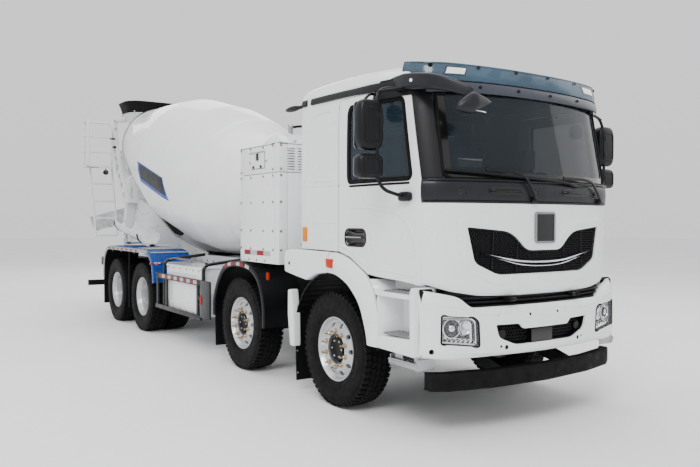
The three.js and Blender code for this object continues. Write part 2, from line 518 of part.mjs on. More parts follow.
// ---------------------------------------------------------------- mixer's frame
const drumAt = (s, q) => [DRUM_C[0] + s * Math.cos(DRUM_TILT) - q * Math.sin(DRUM_TILT), DRUM_C[1] + s * Math.sin(DRUM_TILT) + q * Math.cos(DRUM_TILT)];
const ARM = [[8200, 2080], [8380, 2080], [8760, 2520], [9060, 3060], [9150, 3440], [9040, 3560], [8960, 3440], [8900, 3140], [8640, 2640]];
const armHole = ARM.map(([y, z]) => [y + Math.sign(y - 8770) * 6, z + Math.sign(z - 2900) * 4]);
const ROLLER_S = 2750, RING_R = 720, ROLLER_R = 122;
{
  const parts = [];
  parts.push(both(box(-425, -345, 2100, 8900, RAIL_Z1 + GAP, BEAM_Z1)));
  for (const y of [2150, 3300, 4700, 6400, 7600]) parts.push(box(-400, 400, y - 30, y + 30, RAIL_Z1 + 30, BEAM_Z1 - 20));
  // front pedestal and the drum's gearbox
  parts.push(both(prismX([[2110, 1180], [2200, 1760], [2330, 1880], [2560, 1880], [2860, 1180]], -330, -270)));
  parts.push(both(box(-420, -280, 2120, 2860, 1150, 1190)));
  parts.push(box(-330, 330, 2240, 2540, 1700, 1760));
  const g0 = drumAt(-3200, 0), g1 = drumAt(-2790, 0);
  parts.push(bar([0, g0[0], g0[1]], [0, g1[0], g1[1]], 210, 12));
  parts.push(box(-120, 120, 2260, 2520, 1700, 1850));
  // braces that rise to the rear pedestal
  parts.push(both(prismX([[4820, 1180], [4820, 1222], [6120, 1440], [7410, 1970], [7960, 2100], [8420, 2100], [8560, 1180]], -425, -400)));
  // rear pedestal: crossbeam, uprights, roller seats
  parts.push(box(-640, 640, 8120, 8440, 2060, 2140));
  parts.push(both(box(-425, -345, 8130, 8420, 1180, 2080)));
  parts.push(box(-400, 400, 8180, 8240, 1500, 2070));
  // long arms of the frame that carry the hopper
  parts.push(both(prismX(ARM, -640, -590)));
  parts.push(both(prismX([[8560, 1180], [8760, 1180], [8420, 2100], [8280, 2100]], -600, -430)));
  parts.push(both(box(-600, -400, 8560, 8760, 1140, 1190)));
  // rollers, their axes parallel to the drum's
  const c = drumAt(ROLLER_S, -718);
  const a0 = drumAt(ROLLER_S - 55, -718), a1 = drumAt(ROLLER_S + 55, -718);
  parts.push(both(bar([-463, a0[0], a0[1]], [-463, a1[0], a1[1]], ROLLER_R, 12)));
  const b0 = drumAt(ROLLER_S - 120, -718), b1 = drumAt(ROLLER_S + 120, -718);
  parts.push(both(bar([-463, b0[0], b0[1]], [-463, b1[0], b1[1]], 30, 8)));
  for (const s of [-100, 100]) {
    const e = drumAt(ROLLER_S + s, -718);
    parts.push(both(prismX([[e[0] - 14, e[1] + 30], [e[0] + 14, e[1] + 30], [e[0] + 40, 2100], [e[0] - 40, 2100]], -500, -426)));
  }
  // swivel bracket for the chute, behind the chassis
  parts.push(box(-120, 120, 8840, 9280, 1100, 1170));
  parts.push(box(-400, 400, 8820, 8900, 1060, 1170));
  parts.push(bar([0, 9280, 1080], [0, 9280, 1200], 95, 12));
  let frame = join(parts);
  frame = cut(frame, bar([0, 9280, 1000], [0, 9280, 1300], 60, 12));
  put('mixer_frame', frame, 'white');
}

// ---------------------------------------------------------------- drum
{
  const W = DRUM_WALL;
  const o = [[95, -2760], [300, -2740], [560, -2600], [730, -2360], [786, -2215], [985, -1400], [1122, -586], [1122, 504], [945, 1600], [765, 2480], [690, 2680], [720, 2690], [720, 2800], [682, 2815], [673, 2879]];
  const n = [[673 - W, 2879], [674 - W, 2680], [750 - W, 2470], [928 - W, 1600], [1122 - W, 490], [1122 - W, -580], [985 - W, -1392], [770 - W, -2200], [710 - W, -2350], [545, -2580], [290, -2722], [0, -2742]];
  const drum = turned([[0, -2760], ...o, ...n], 20, (u, v, s) => {
    const [y, z] = drumAt(s, v);
    return [u, y, z];
  }, false);
  put('drum', drum, 'white');
}

// ---------------------------------------------------------------- hopper and discharge funnel
{
  // square-mouthed hopper that narrows to a spout inside the drum's mouth
  const loft = (a, b, za, zb, cy0, cy1) => {
    const ring = (w, l, cy, z) => [[-w, cy - l, z], [w, cy - l, z], [w, cy + l, z], [-w, cy + l, z]];
    const p = [...ring(a[0], a[1], cy0, za), ...ring(b[0], b[1], cy1, zb)];
    const q = [[0, 2, 1], [0, 3, 2], [4, 5, 6], [4, 6, 7], [0, 1, 5], [0, 5, 4], [1, 2, 6], [1, 6, 5], [2, 3, 7], [2, 7, 6], [3, 0, 4], [3, 4, 7]];
    const g = new THREE.BufferGeometry();
    g.setAttribute('position', new THREE.BufferAttribute(new Float32Array(p.flat()), 3));
    g.setIndex(q.flat());
    return solid(g);
  };
  let h = join(
    loft([260, 190], [560, 400], 3380, 3800, 8500, 8560),
    loft([556, 396], [640, 460], 3790, 4040, 8560, 8570),
    loft([230, 150], [262, 192], 3240, 3384, 8440, 8500),
  );
  h = cut(h,
    loft([240, 170], [540, 380], 3378, 3800, 8500, 8560),
    loft([540, 380], [622, 442], 3798, 4042, 8560, 8570),
    loft([212, 132], [242, 172], 3238, 3384, 8440, 8500),
  );
  // arms down to the frame's uprights
  const arm = both(join(
    box(-640, -590, 8960, 9050, 3560 + GAP, 3720),
    box(-640, -440, 8800, 9050, 3690, 3735),
  ));
  put('charging_hopper', cut(join(h, arm), loft([240, 170], [540, 380], 3378, 3800, 8500, 8560)), 'white');
}
{
  // two-winged funnel under the drum's mouth that leads to the chute
  const out = [[-500, 3120], [-500, 2700], [-200, 2175], [200, 2175], [500, 2700], [500, 3120]];
  let f;
  // solid ring of four walls: back plate and front slope
  const outer = prismY(out, 8560, 9400), inner = prismY([[-486, 3130], [-486, 2706], [-186, 2170], [186, 2170], [486, 2706], [486, 3130]], 8575, 9385);
  f = cut(outer, inner);
  const trim = prismX([[8200, 3200], [8200, 2100], [9085, 2100], [9085, 2176], [8585, 2760], [8700, 3130], [8700, 3200]], -700, 700);
  const trim2 = prismX([[9300, 3200], [9400, 2700], [9500, 2100], [9600, 2100], [9600, 3200]], -700, 700);
  f = cut(f, trim, trim2);
  const slope = cut(prismX([[8589, 2760], [9089, 2176], [9106, 2176], [8606, 2762]], -585, 585), cut(box(-700, 700, 8500, 9500, 2000, 3200), outer));
  f = join(f, slope);
  const lug = both(box(-589, -490, 8930, 8990, 2990, 3050));
  put('discharge_funnel', join(keepMain(f), lug), 'white');
}

// ---------------------------------------------------------------- chute
const chuteFrame = (a, l, u) => {     // a along, l to the chute's left, u up, before the swing
  const [x, y] = [-Math.sin(CHUTE_REST) * a - Math.cos(CHUTE_REST) * l, Math.cos(CHUTE_REST) * a - Math.sin(CHUTE_REST) * l];
  return [CHUTE_PIVOT[0] + x, CHUTE_PIVOT[1] + y, u];
};
{
  const post = join(
    bar([0, 0, 1150], [0, 0, 1600], 52, 12),
    bar([0, 0, 1204], [0, 0, 1240], 90, 12),
    box(-60, 60, -90, 90, 1590, 1640),
    box(-40, 40, -90, -62, 1620, 1720), box(-40, 40, 62, 90, 1620, 1720),
    bar([0, -90, 1705], [0, 90, 1705], 12, 8),
  );
  put('chute_swivel', warp(post, (a, l, u) => chuteFrame(a, l, u)), 'white');
  const R = 212, r = 198, seg = 10;
  const sec = [], sec2 = [];
  for (let i = 0; i <= seg; i++) {
    const t = Math.PI + Math.PI * i / seg;
    sec.push([R * Math.cos(t), R * Math.sin(t)]);
    sec2.push([r * Math.cos(t), r * Math.sin(t)]);
  }
  const prof = [[-R, 60], ...sec, [R, 60], [r, 60], ...sec2.reverse(), [-r, 60]];
  // outline across the chute, run along it, then sloped about the pivot
  const trough = remap(extrude(prof, 1190), (b, c, a) => [a - 170, b, c]);
  const eye = cut(box(-45, 45, -55, 55, -290, -205), bar([0, -60, -260], [0, 60, -260], 15, 8));
  const local = join(trough, eye);
  const placed = warp(local, (a, l, u) => {
    // the hinge eye stays at height 1705 over the pivot
    const ca = Math.cos(CHUTE_SLOPE), sa = Math.sin(CHUTE_SLOPE);
    const du = u + 260;
    return chuteFrame(a * ca + du * sa, l, 1705 - a * sa + du * ca);
  });
  put('main_chute', placed, 'grey');
}
{
  // spare half-round chute carried over the right rear mudguard
  const R = 190, r = 178, seg = 10, s1 = [], s2 = [];
  for (let i = 0; i <= seg; i++) {
    const t = Math.PI + Math.PI * i / seg;
    s1.push([R * Math.cos(t), R * Math.sin(t)]);
    s2.push([r * Math.cos(t), r * Math.sin(t)]);
  }
  const prof = [...s1, ...s2.reverse()];
  const trough = remap(extrude(prof, 1900), (a, b, c) => [-930 + a, 5620 + c, 1530 + b]);
  const foot = join(
    box(-960, -RAIL_OUT - 1, 5900, 5940, 1296, 1332), box(-960, -RAIL_OUT - 1, 7200, 7240, 1296, 1332),
    box(-990, -870, 5900, 5940, 1296, 1352), box(-990, -870, 7200, 7240, 1296, 1352),
  );
  put('extension_chute', join(trough, foot), 'white');
}

// ---------------------------------------------------------------- ladder and platform
{
  const r = 17, parts = [], bar6 = (a, b, q) => bar(a, b, q, 6);
  parts.push(bar6([-1030, 9130, 1400], [-1030, 9130, 2790], r), bar6([-665, 9130, 1400], [-665, 9130, 2790], r));
  for (const z of [1415, 1760, 2105, 2450]) parts.push(bar6([-1030, 9130, z], [-665, 9130, z], r - 2));
  parts.push(box(-1215, -646, 8790, 9150, 2770, 2800));
  const rail = [[-1200, 8805], [-1200, 9135], [-665, 9135]];
  for (const [x, y] of rail) parts.push(bar6([x, y, 2785], [x, y, 3680], r));
  for (const z of [3080, 3380, 3665]) {
    parts.push(bar6([-1200, 8805, z], [-1200, 9135, z], r - 2));
    parts.push(bar6([-1200, 9135, z], [-665, 9135, z], r - 2));
  }
  // arms to the frame's upright
  parts.push(box(-1000, -640 - GAP, 8790, 8850, 2735, 2775));
  let l = join(parts);
  put('ladder', keepMain(cut(l, prismX(armHole, -640.4, -589.6))), 'white');
}

export default group;
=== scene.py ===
import bpy, bmesh, json, math, random
from mathutils import Vector, Matrix
from mathutils.geometry import tessellate_polygon


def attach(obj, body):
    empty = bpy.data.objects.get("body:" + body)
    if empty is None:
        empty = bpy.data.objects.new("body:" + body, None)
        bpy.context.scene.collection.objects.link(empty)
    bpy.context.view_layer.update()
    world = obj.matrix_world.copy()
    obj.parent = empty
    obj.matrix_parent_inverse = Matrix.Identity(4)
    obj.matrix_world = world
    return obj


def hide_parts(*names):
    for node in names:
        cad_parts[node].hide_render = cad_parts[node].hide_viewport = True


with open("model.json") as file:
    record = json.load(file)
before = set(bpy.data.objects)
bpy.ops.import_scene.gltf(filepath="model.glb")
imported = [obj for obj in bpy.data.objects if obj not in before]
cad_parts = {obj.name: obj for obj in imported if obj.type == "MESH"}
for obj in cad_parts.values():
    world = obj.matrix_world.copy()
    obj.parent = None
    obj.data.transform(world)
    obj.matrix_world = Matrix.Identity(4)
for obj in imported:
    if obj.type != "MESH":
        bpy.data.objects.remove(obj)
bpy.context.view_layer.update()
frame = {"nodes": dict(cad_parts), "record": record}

# Lengths along the truck ("stations") are from the first axle, positive to the rear.
YM = 4.3258
R = math.radians
random.seed(7)

# ------------------------------------------------------------------ materials
def new_mat(name):
    m = bpy.data.materials.new(name)
    m.use_nodes = True
    nt = m.node_tree
    return m, nt, nt.nodes["Principled BSDF"]

def noise(nt, scale, detail=3.0, rough=0.5, coord="Object", stretch=None):
    tc = nt.nodes.new("ShaderNodeTexCoord")
    n = nt.nodes.new("ShaderNodeTexNoise")
    n.inputs["Scale"].default_value = scale
    n.inputs["Detail"].default_value = detail
    n.inputs["Roughness"].default_value = rough
    if stretch:
        mp = nt.nodes.new("ShaderNodeMapping")
        mp.inputs["Scale"].default_value = stretch
        nt.links.new(tc.outputs[coord], mp.inputs["Vector"])
        nt.links.new(mp.outputs["Vector"], n.inputs["Vector"])
    else:
        nt.links.new(tc.outputs[coord], n.inputs["Vector"])
    return n.outputs["Fac"]

def ramp(nt, fac, a, b, lo=0.35, hi=0.65):
    r = nt.nodes.new("ShaderNodeValToRGB")
    r.color_ramp.elements[0].position = lo
    r.color_ramp.elements[1].position = hi
    r.color_ramp.elements[0].color = (*a, 1)
    r.color_ramp.elements[1].color = (*b, 1)
    nt.links.new(fac, r.inputs["Fac"])
    return r.outputs["Color"]

def span(nt, fac, lo, hi, a=0.3, b=0.7):
    m = nt.nodes.new("ShaderNodeMapRange")
    m.inputs["From Min"].default_value = a
    m.inputs["From Max"].default_value = b
    m.inputs["To Min"].default_value = lo
    m.inputs["To Max"].default_value = hi
    nt.links.new(fac, m.inputs["Value"])
    return m.outputs["Result"]

def bump(nt, bs, fac, strength, dist):
    b = nt.nodes.new("ShaderNodeBump")
    b.inputs["Strength"].default_value = strength
    b.inputs["Distance"].default_value = dist
    nt.links.new(fac, b.inputs["Height"])
    nt.links.new(b.outputs["Normal"], bs.inputs["Normal"])
    return b

def paint(name, col, rough=0.28, metal=0.0, coat=0.6, vary=0.03, peel=0.05, grime=None, spec=0.5):
    m, nt, bs = new_mat(name)
    a = tuple(max(0, c * (1 - vary)) for c in col)
    b = tuple(min(1, c * (1 + vary)) for c in col)
    c = ramp(nt, noise(nt, 1.7, 5), a, b)
    if grime:
        gcol, gscale, glo, ghi = grime
        g = span(nt, noise(nt, gscale, 8, 0.62), 0, 1, glo, ghi)
        mx = nt.nodes.new("ShaderNodeMix"); mx.data_type = "RGBA"
        nt.links.new(g, mx.inputs[0]); nt.links.new(c, mx.inputs[6]); mx.inputs[7].default_value = (*gcol, 1)
        c = mx.outputs[2]
    nt.links.new(c, bs.inputs["Base Color"])
    nt.links.new(span(nt, noise(nt, 6, 4), rough * 0.85, rough * 1.2), bs.inputs["Roughness"])
    bs.inputs["Metallic"].default_value = metal
    bs.inputs["Coat Weight"].default_value = coat
    bs.inputs["Coat Roughness"].default_value = 0.06
    bs.inputs["Specular IOR Level"].default_value = spec
    bump(nt, bs, noise(nt, 420, 2), peel, 0.0006)
    return m

def plastic(name, col, rough=0.5, grain=350, strength=0.25, vary=0.12, coat=0.0, spec=0.5):
    m, nt, bs = new_mat(name)
    a = tuple(c * (1 - vary) for c in col); b = tuple(c * (1 + vary) for c in col)
    nt.links.new(ramp(nt, noise(nt, 9, 5), a, b), bs.inputs["Base Color"])
    nt.links.new(span(nt, noise(nt, 14, 4), rough * 0.85, rough * 1.15), bs.inputs["Roughness"])
    v = nt.nodes.new("ShaderNodeTexVoronoi")
    tc = nt.nodes.new("ShaderNodeTexCoord")
    nt.links.new(tc.outputs["Object"], v.inputs["Vector"])
    v.inputs["Scale"].default_value = grain
    bump(nt, bs, v.outputs["Distance"], strength, 0.0008)
    bs.inputs["Coat Weight"].default_value = coat
    bs.inputs["Specular IOR Level"].default_value = spec
    return m

def metal(name, col, rough=0.25, brush=None, vary=0.08, metallic=1.0, strength=0.1):
    m, nt, bs = new_mat(name)
    a = tuple(c * (1 - vary) for c in col); b = tuple(min(1, c * (1 + vary)) for c in col)
    nt.links.new(ramp(nt, noise(nt, 12, 6, stretch=brush), a, b), bs.inputs["Base Color"])
    nt.links.new(span(nt, noise(nt, 30, 5, stretch=brush), rough * 0.75, rough * 1.3), bs.inputs["Roughness"])
    bs.inputs["Metallic"].default_value = metallic
    bump(nt, bs, noise(nt, 200, 3, stretch=brush), strength, 0.0006)
    return m

def glassy(name, col, alpha, rough=0.03, vary=0.2, spec=0.6):
    m, nt, bs = new_mat(name)
    a = tuple(c * (1 - vary) for c in col); b = tuple(min(1, c * (1 + vary)) for c in col)
    nt.links.new(ramp(nt, noise(nt, 2.5, 4, stretch=(1, 1, .3)), a, b), bs.inputs["Base Color"])
    bs.inputs["Roughness"].default_value = rough
    bs.inputs["Alpha"].default_value = alpha
    bs.inputs["IOR"].default_value = 1.5
    bs.inputs["Specular IOR Level"].default_value = spec
    bump(nt, bs, noise(nt, 1.2, 1), 0.03, 0.002)
    return m

M = {}
M["white"] = paint("white_gloss", (0.80, 0.815, 0.83), 0.3, 0, 0.6, 0.012, 0.04, grime=((0.70, 0.70, 0.69), 2.3, 0.62, 0.9))
M["drumwhite"] = paint("drum_white", (0.82, 0.83, 0.84), 0.36, 0, 0.5, 0.012, 0.06, grime=((0.72, 0.72, 0.71), 1.4, 0.6, 0.95))
M["framewhite"] = paint("frame_white", (0.72, 0.73, 0.74), 0.42, 0, 0.25, 0.03, 0.12, grime=((0.50, 0.50, 0.49), 3.1, 0.58, 0.9))
M["blue"] = paint("mudguard_blue", (0.0002, 0.050, 0.26), 0.26, 0, 0.06, 0.14, 0.15, spec=0.30)
M["chassis"] = paint("chassis_black", (0.0030, 0.0030, 0.0036), 0.5, 0, 0.03, 0.2, 0.3, grime=((0.014, 0.0135, 0.013), 5, 0.55, 0.9), spec=0.18)
M["darkgrey"] = paint("guard_grey", (0.020, 0.021, 0.023), 0.45, 0.1, 0.1, 0.15, 0.2, spec=0.3)
M["motor"] = metal("motor_housing", (0.28, 0.29, 0.3), 0.5, strength=0.4)
M["black"] = plastic("black_moulded", (0.0030, 0.0032, 0.0044), 0.40, spec=0.26)
M["cowl"] = plastic("cowl_black", (0.0085, 0.0092, 0.013), 0.34, 420, 0.15, spec=0.32)
M["head"] = paint("visor_grey", (0.028, 0.033, 0.048), 0.30, 0, 0.25, 0.08, 0.08, spec=0.4)
M["gloss"] = paint("gloss_black", (0.004, 0.004, 0.0045), 0.16, 0, 0.35, 0.1, 0.03, spec=0.35)
M["mud"] = plastic("mudflap_rubber", (0.0030, 0.0030, 0.0034), 0.62, 120, 0.35, spec=0.15)
M["seal"] = plastic("seal_rubber", (0.003, 0.003, 0.003), 0.7, 500, 0.2, spec=0.15)
M["chrome"] = metal("bright_chrome", (0.86, 0.87, 0.89), 0.07, vary=0.03, strength=0.02)
M["alu"] = metal("step_aluminium", (0.40, 0.41, 0.42), 0.34, (1, 9, 1))
M["tread"] = metal("tread_plate", (0.24, 0.245, 0.25), 0.42, (1, 9, 1), metallic=0.85)
# dark line material: real door shut gaps, and painted shade along the belt crease and the rear corner's fold
M["gap"] = plastic("panel_gap_and_crease_shade", (0.055, 0.056, 0.058), 0.8, 500, 0.2, spec=0.1)
M["rim"] = metal("rim_silver", (0.52, 0.53, 0.55), 0.33, metallic=0.75, vary=0.05, strength=0.08)
M["nut"] = metal("zinc_nut", (0.40, 0.31, 0.19), 0.32)
M["bolt"] = metal("bronze_bolt", (0.38, 0.24, 0.16), 0.4)
M["steel"] = metal("bare_steel", (0.45, 0.45, 0.46), 0.35, strength=0.25)
M["chute"] = metal("chute_grey", (0.46, 0.47, 0.48), 0.5, (1, 1, 1), 0.18, 0.5, 0.5)
M["glass"] = glassy("window_glass", (0.010, 0.016, 0.022), 0.62, 0.02, spec=0.34)
M["sideglass"] = glassy("door_glass", (0.018, 0.032, 0.045), 0.56, 0.02, spec=0.4)
M["visor"] = glassy("visor_tint", (0.030, 0.075, 0.120), 0.82, 0.16)
M["clear"] = glassy("lamp_lens", (0.50, 0.52, 0.55), 0.06, 0.02, 0.02)
M["amber"] = plastic("amber_lens", (0.66, 0.20, 0.0004), 0.22, 260, 0.4, 0.08, 0.05, spec=0.2)
M["orange"] = plastic("orange_lens", (0.50, 0.022, 0.0003), 0.2, 260, 0.4, 0.08, 0.05, spec=0.2)
M["red"] = plastic("red_reflector", (0.22, 0.0002, 0.0004), 0.3, 300, 0.4, 0.1, 0.0, spec=0.2)
M["lampwhite"] = plastic("lamp_white", (0.93, 0.94, 0.95), 0.18, 260, 0.3, 0.04, 0.5)
M["refl"] = plastic("white_reflector", (0.40, 0.41, 0.42), 0.3, 300, 0.5, 0.05, 0.3)
M["mirror"] = metal("mirror_glass", (0.80, 0.83, 0.86), 0.03, vary=0.02, strength=0.0)
M["decal_dark"] = plastic("decal_dark", (0.0030, 0.0036, 0.0075), 0.38, 300, 0.05, spec=0.2)
M["decal_blue"] = plastic("decal_blue", (0.002, 0.075, 0.42), 0.35, 300, 0.05, spec=0.25)
M["interior"] = plastic("interior_grey", (0.045, 0.046, 0.05), 0.7, 260, 0.3)

def tyre_mat():
    m, nt, bs = new_mat("tread_rubber")
    nt.links.new(ramp(nt, noise(nt, 7, 7, 0.6), (0.0020, 0.0020, 0.0022), (0.0052, 0.0050, 0.0050)), bs.inputs["Base Color"])
    nt.links.new(span(nt, noise(nt, 22, 5), 0.55, 0.78), bs.inputs["Roughness"])
    bs.inputs["Specular IOR Level"].default_value = 0.13
    bump(nt, bs, noise(nt, 260, 4), 0.35, 0.0009)
    return m
M["tyre"] = tyre_mat()

def fabric():
    m, nt, bs = new_mat("seat_fabric")
    tc = nt.nodes.new("ShaderNodeTexCoord")
    w1 = nt.nodes.new("ShaderNodeTexWave"); w1.bands_direction = "X"; w1.inputs["Scale"].default_value = 160
    w2 = nt.nodes.new("ShaderNodeTexWave"); w2.bands_direction = "Z"; w2.inputs["Scale"].default_value = 160
    for w in (w1, w2): nt.links.new(tc.outputs["Object"], w.inputs["Vector"])
    mx = nt.nodes.new("ShaderNodeMath"); mx.operation = "MAXIMUM"
    nt.links.new(w1.outputs["Fac"], mx.inputs[0]); nt.links.new(w2.outputs["Fac"], mx.inputs[1])
    nt.links.new(ramp(nt, mx.outputs[0], (0.02, 0.021, 0.026), (0.06, 0.062, 0.072)), bs.inputs["Base Color"])
    bs.inputs["Roughness"].default_value = 0.9
    bs.inputs["Sheen Weight"].default_value = 0.3
    bump(nt, bs, mx.outputs[0], 0.5, 0.001)
    return m
M["fabric"] = fabric()

def mesh_mat():
    # black honeycomb grille cloth: dark with a raised lattice
    m, nt, bs = new_mat("honeycomb")
    tc = nt.nodes.new("ShaderNodeTexCoord")
    v = nt.nodes.new("ShaderNodeTexVoronoi"); v.feature = "DISTANCE_TO_EDGE"; v.inputs["Scale"].default_value = 62
    v.inputs["Randomness"].default_value = 0.12
    mp = nt.nodes.new("ShaderNodeMapping"); mp.inputs["Scale"].default_value = (1, 0.02, 1.3)
    nt.links.new(tc.outputs["Object"], mp.inputs["Vector"]); nt.links.new(mp.outputs["Vector"], v.inputs["Vector"])
    nt.links.new(ramp(nt, v.outputs["Distance"], (0.045, 0.046, 0.05), (0.004, 0.004, 0.005), 0.05, 0.16), bs.inputs["Base Color"])
    bs.inputs["Roughness"].default_value = 0.4
    b = bump(nt, bs, v.outputs["Distance"], 1.0, 0.006); b.invert = True
    return m
M["honey"] = mesh_mat()

# ------------------------------------------------------------------ mesh kit
class Piece:
    def __init__(self, name, body, slot):
        self.name, self.body, self.slot = name, body, slot
        self.v, self.f, self.mi, self.mats = [], [], [], []
    def idx(self, mat):
        m = M[mat]
        if m not in self.mats: self.mats.append(m)
        return self.mats.index(m)
    def add(self, vf, mat):
        v, f = vf
        o = len(self.v)
        self.v += [tuple(p) for p in v]
        self.f += [tuple(i + o for i in q) for q in f]
        self.mi += [self.idx(mat)] * len(f)
        return self
    def build(self, replaces=(), bevel=0.0, segs=2, angle=32, mirror=False, flat=False):
        me = bpy.data.meshes.new(self.name)
        sx = -1 if mirror else 1
        me.from_pydata([(sx * x, y - YM, z) for x, y, z in self.v], [], self.f)
        for m in self.mats: me.materials.append(m)
        me.polygons.foreach_set("material_index", self.mi)
        bm = bmesh.new(); bm.from_mesh(me)
        bmesh.ops.recalc_face_normals(bm, faces=bm.faces)
        bm.to_mesh(me); bm.free()
        o = bpy.data.objects.new(self.name, me)
        bpy.context.collection.objects.link(o)
        finish_obj(o, self.body, self.slot, replaces, bevel, segs, angle, flat)
        return o

def finish_obj(o, body, slot, replaces=(), bevel=0.0, segs=2, angle=32, flat=False):
    if bevel:
        b = o.modifiers.new("edges", "BEVEL")
        b.width, b.segments, b.limit_method, b.angle_limit = bevel, segs, "ANGLE", R(40)
        b.harden_normals = False
        apply_mods(o)
    if not flat:
        o.data.shade_smooth()
        o.data.set_sharp_from_angle(angle=R(angle))
    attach(o, body)
    if replaces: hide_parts(*([replaces] if isinstance(replaces, str) else replaces))

def apply_mods(o):
    dg = bpy.context.evaluated_depsgraph_get()
    me = bpy.data.meshes.new_from_object(o.evaluated_get(dg))
    o.modifiers.clear()
    old = o.data
    o.data = me
    bpy.data.meshes.remove(old)

def box(x0, x1, y0, y1, z0, z1):
    v = [(x, y, z) for x in (x0, x1) for y in (y0, y1) for z in (z0, z1)]
    return v, [(0, 1, 3, 2), (4, 6, 7, 5), (0, 4, 5, 1), (2, 3, 7, 6), (0, 2, 6, 4), (1, 5, 7, 3)]

def extr(pts, fn, a, b):
    n = len(pts)
    v = [fn(p, q, a) for p, q in pts] + [fn(p, q, b) for p, q in pts]
    f = [(i, (i + 1) % n, n + (i + 1) % n, n + i) for i in range(n)]
    f += [tuple(range(n - 1, -1, -1)), tuple(range(n, 2 * n))]
    return v, f
def px(pts, x0, x1): return extr(pts, lambda p, q, t: (t, p, q), x0, x1)
def py(pts, y0, y1): return extr(pts, lambda p, q, t: (p, t, q), y0, y1)
def pz(pts, z0, z1): return extr(pts, lambda p, q, t: (p, q, t), z0, z1)

def basis(d):
    d = Vector(d).normalized()
    up = Vector((0, 0, 1)) if abs(d.z) < 0.9 else Vector((1, 0, 0))
    u = d.cross(up).normalized(); w = u.cross(d).normalized()
    return d, u, w

def lathe(profile, origin, axis, n=48, closed=False, a0=0.0, a1=None):
    """profile of (radius, along); closed loops join end to start, open ones are capped on the axis if radius 0."""
    d, u, w = basis(axis)
    O = Vector(origin)
    full = a1 is None
    m = n if full else n + 1
    v, f = [], []
    idx = []
    for r, h in profile:
        if r < 1e-9:
            idx.append([len(v)] * m); v.append(tuple(O + d * h))
        else:
            row = []
            for i in range(m):
                t = a0 + (2 * math.pi if full else (a1 - a0)) * i / n
                row.append(len(v)); v.append(tuple(O + d * h + (u * math.cos(t) + w * math.sin(t)) * r))
            idx.append(row)
    rng = range(len(profile) if closed else len(profile) - 1)
    for k in rng:
        A, B = idx[k], idx[(k + 1) % len(profile)]
        for i in range(m if full else m - 1):
            j = (i + 1) % m
            q = [A[i], A[j], B[j], B[i]]
            q2 = []
            for x in q:
                if x not in q2: q2.append(x)
            if len(q2) > 2: f.append(tuple(q2))
    return v, f

def cyl(a, b, r, n=16, r2=None):
    a, b = Vector(a), Vector(b)
    return lathe([(0, 0), (r, 0), (r if r2 is None else r2, (b - a).length), (0, (b - a).length)], a, b - a, n)

def fillet(pts, rad, steps=5):
    v = [Vector(p) for p in pts]
    out = [v[0]]
    for i in range(1, len(v) - 1):
        a = (v[i - 1] - v[i]); b = (v[i + 1] - v[i])
        k = min(rad, a.length * 0.48, b.length * 0.48)
        a = v[i] + a.normalized() * k; b = v[i] + b.normalized() * k
        for s in range(steps + 1):
            t = s / steps
            out.append(a * (1 - t) ** 2 + v[i] * 2 * t * (1 - t) + b * t * t)
    out.append(v[-1])
    return out

def tube(pts, r, n=10, rad=0.05, steps=5, section=None, loop=False):
    p = fillet(pts, rad, steps) if rad else [Vector(q) for q in pts]
    v, f = [], []
    up = None
    m = len(p)
    for i, c in enumerate(p):
        if loop: d = (p[(i + 1) % m] - p[i - 1])
        else: d = (p[min(i + 1, m - 1)] - p[max(i - 1, 0)])
        d.normalize()
        if up is None:
            up = Vector((0, 0, 1)) if abs(d.z) < 0.9 else Vector((1, 0, 0))
        u = d.cross(up)
        if u.length < 1e-6: u = d.orthogonal()
        u.normalize(); w = u.cross(d).normalized(); up = w
        if section:
            for a, b in section: v.append(tuple(c + u * a + w * b))
        else:
            for k in range(n):
                t = 2 * math.pi * k / n
                v.append(tuple(c + (u * math.cos(t) + w * math.sin(t)) * r))
    k = len(section) if section else n
    for i in range(m if loop else m - 1):
        j = (i + 1) % m
        for q in range(k):
            f.append((i * k + q, i * k + (q + 1) % k, j * k + (q + 1) % k, j * k + q))
    if not loop:
        f.append(tuple(range(k - 1, -1, -1))); f.append(tuple((m - 1) * k + q for q in range(k)))
    return v, f

def rounded(x0, x1, y0, y1, r, n=6):
    """rounded rectangle outline, counter-clockwise"""
    out = []
    for cx, cy, a in ((x1 - r, y0 + r, -90), (x1 - r, y1 - r, 0), (x0 + r, y1 - r, 90), (x0 + r, y0 + r, 180)):
        for k in range(n + 1):
            t = R(a + 90 * k / n)
            out.append((cx + r * math.cos(t), cy + r * math.sin(t)))
    return out

def round_poly(pts, r, n=5):
    out = []
    m = len(pts)
    for i in range(m):
        p = Vector(pts[i]); a = Vector(pts[i - 1]) - p; b = Vector(pts[(i + 1) % m]) - p
        rr = r[i] if isinstance(r, (list, tuple)) else r
        k = min(rr, a.length * 0.45, b.length * 0.45)
        A = p + a.normalized() * k; B = p + b.normalized() * k
        for s in range(n + 1):
            t = s / n
            q = A * (1 - t) ** 2 + p * 2 * t * (1 - t) + B * t * t
            out.append((q.x, q.y))
    return out

def grid(fn, nu, nv, flip=False):
    v = [fn(i / nu, j / nv) for i in range(nu + 1) for j in range(nv + 1)]
    f = []
    for i in range(nu):
        for j in range(nv):
            a = i * (nv + 1) + j
            q = (a, a + nv + 1, a + nv + 2, a + 1)
            f.append(q[::-1] if flip else q)
    return v, f

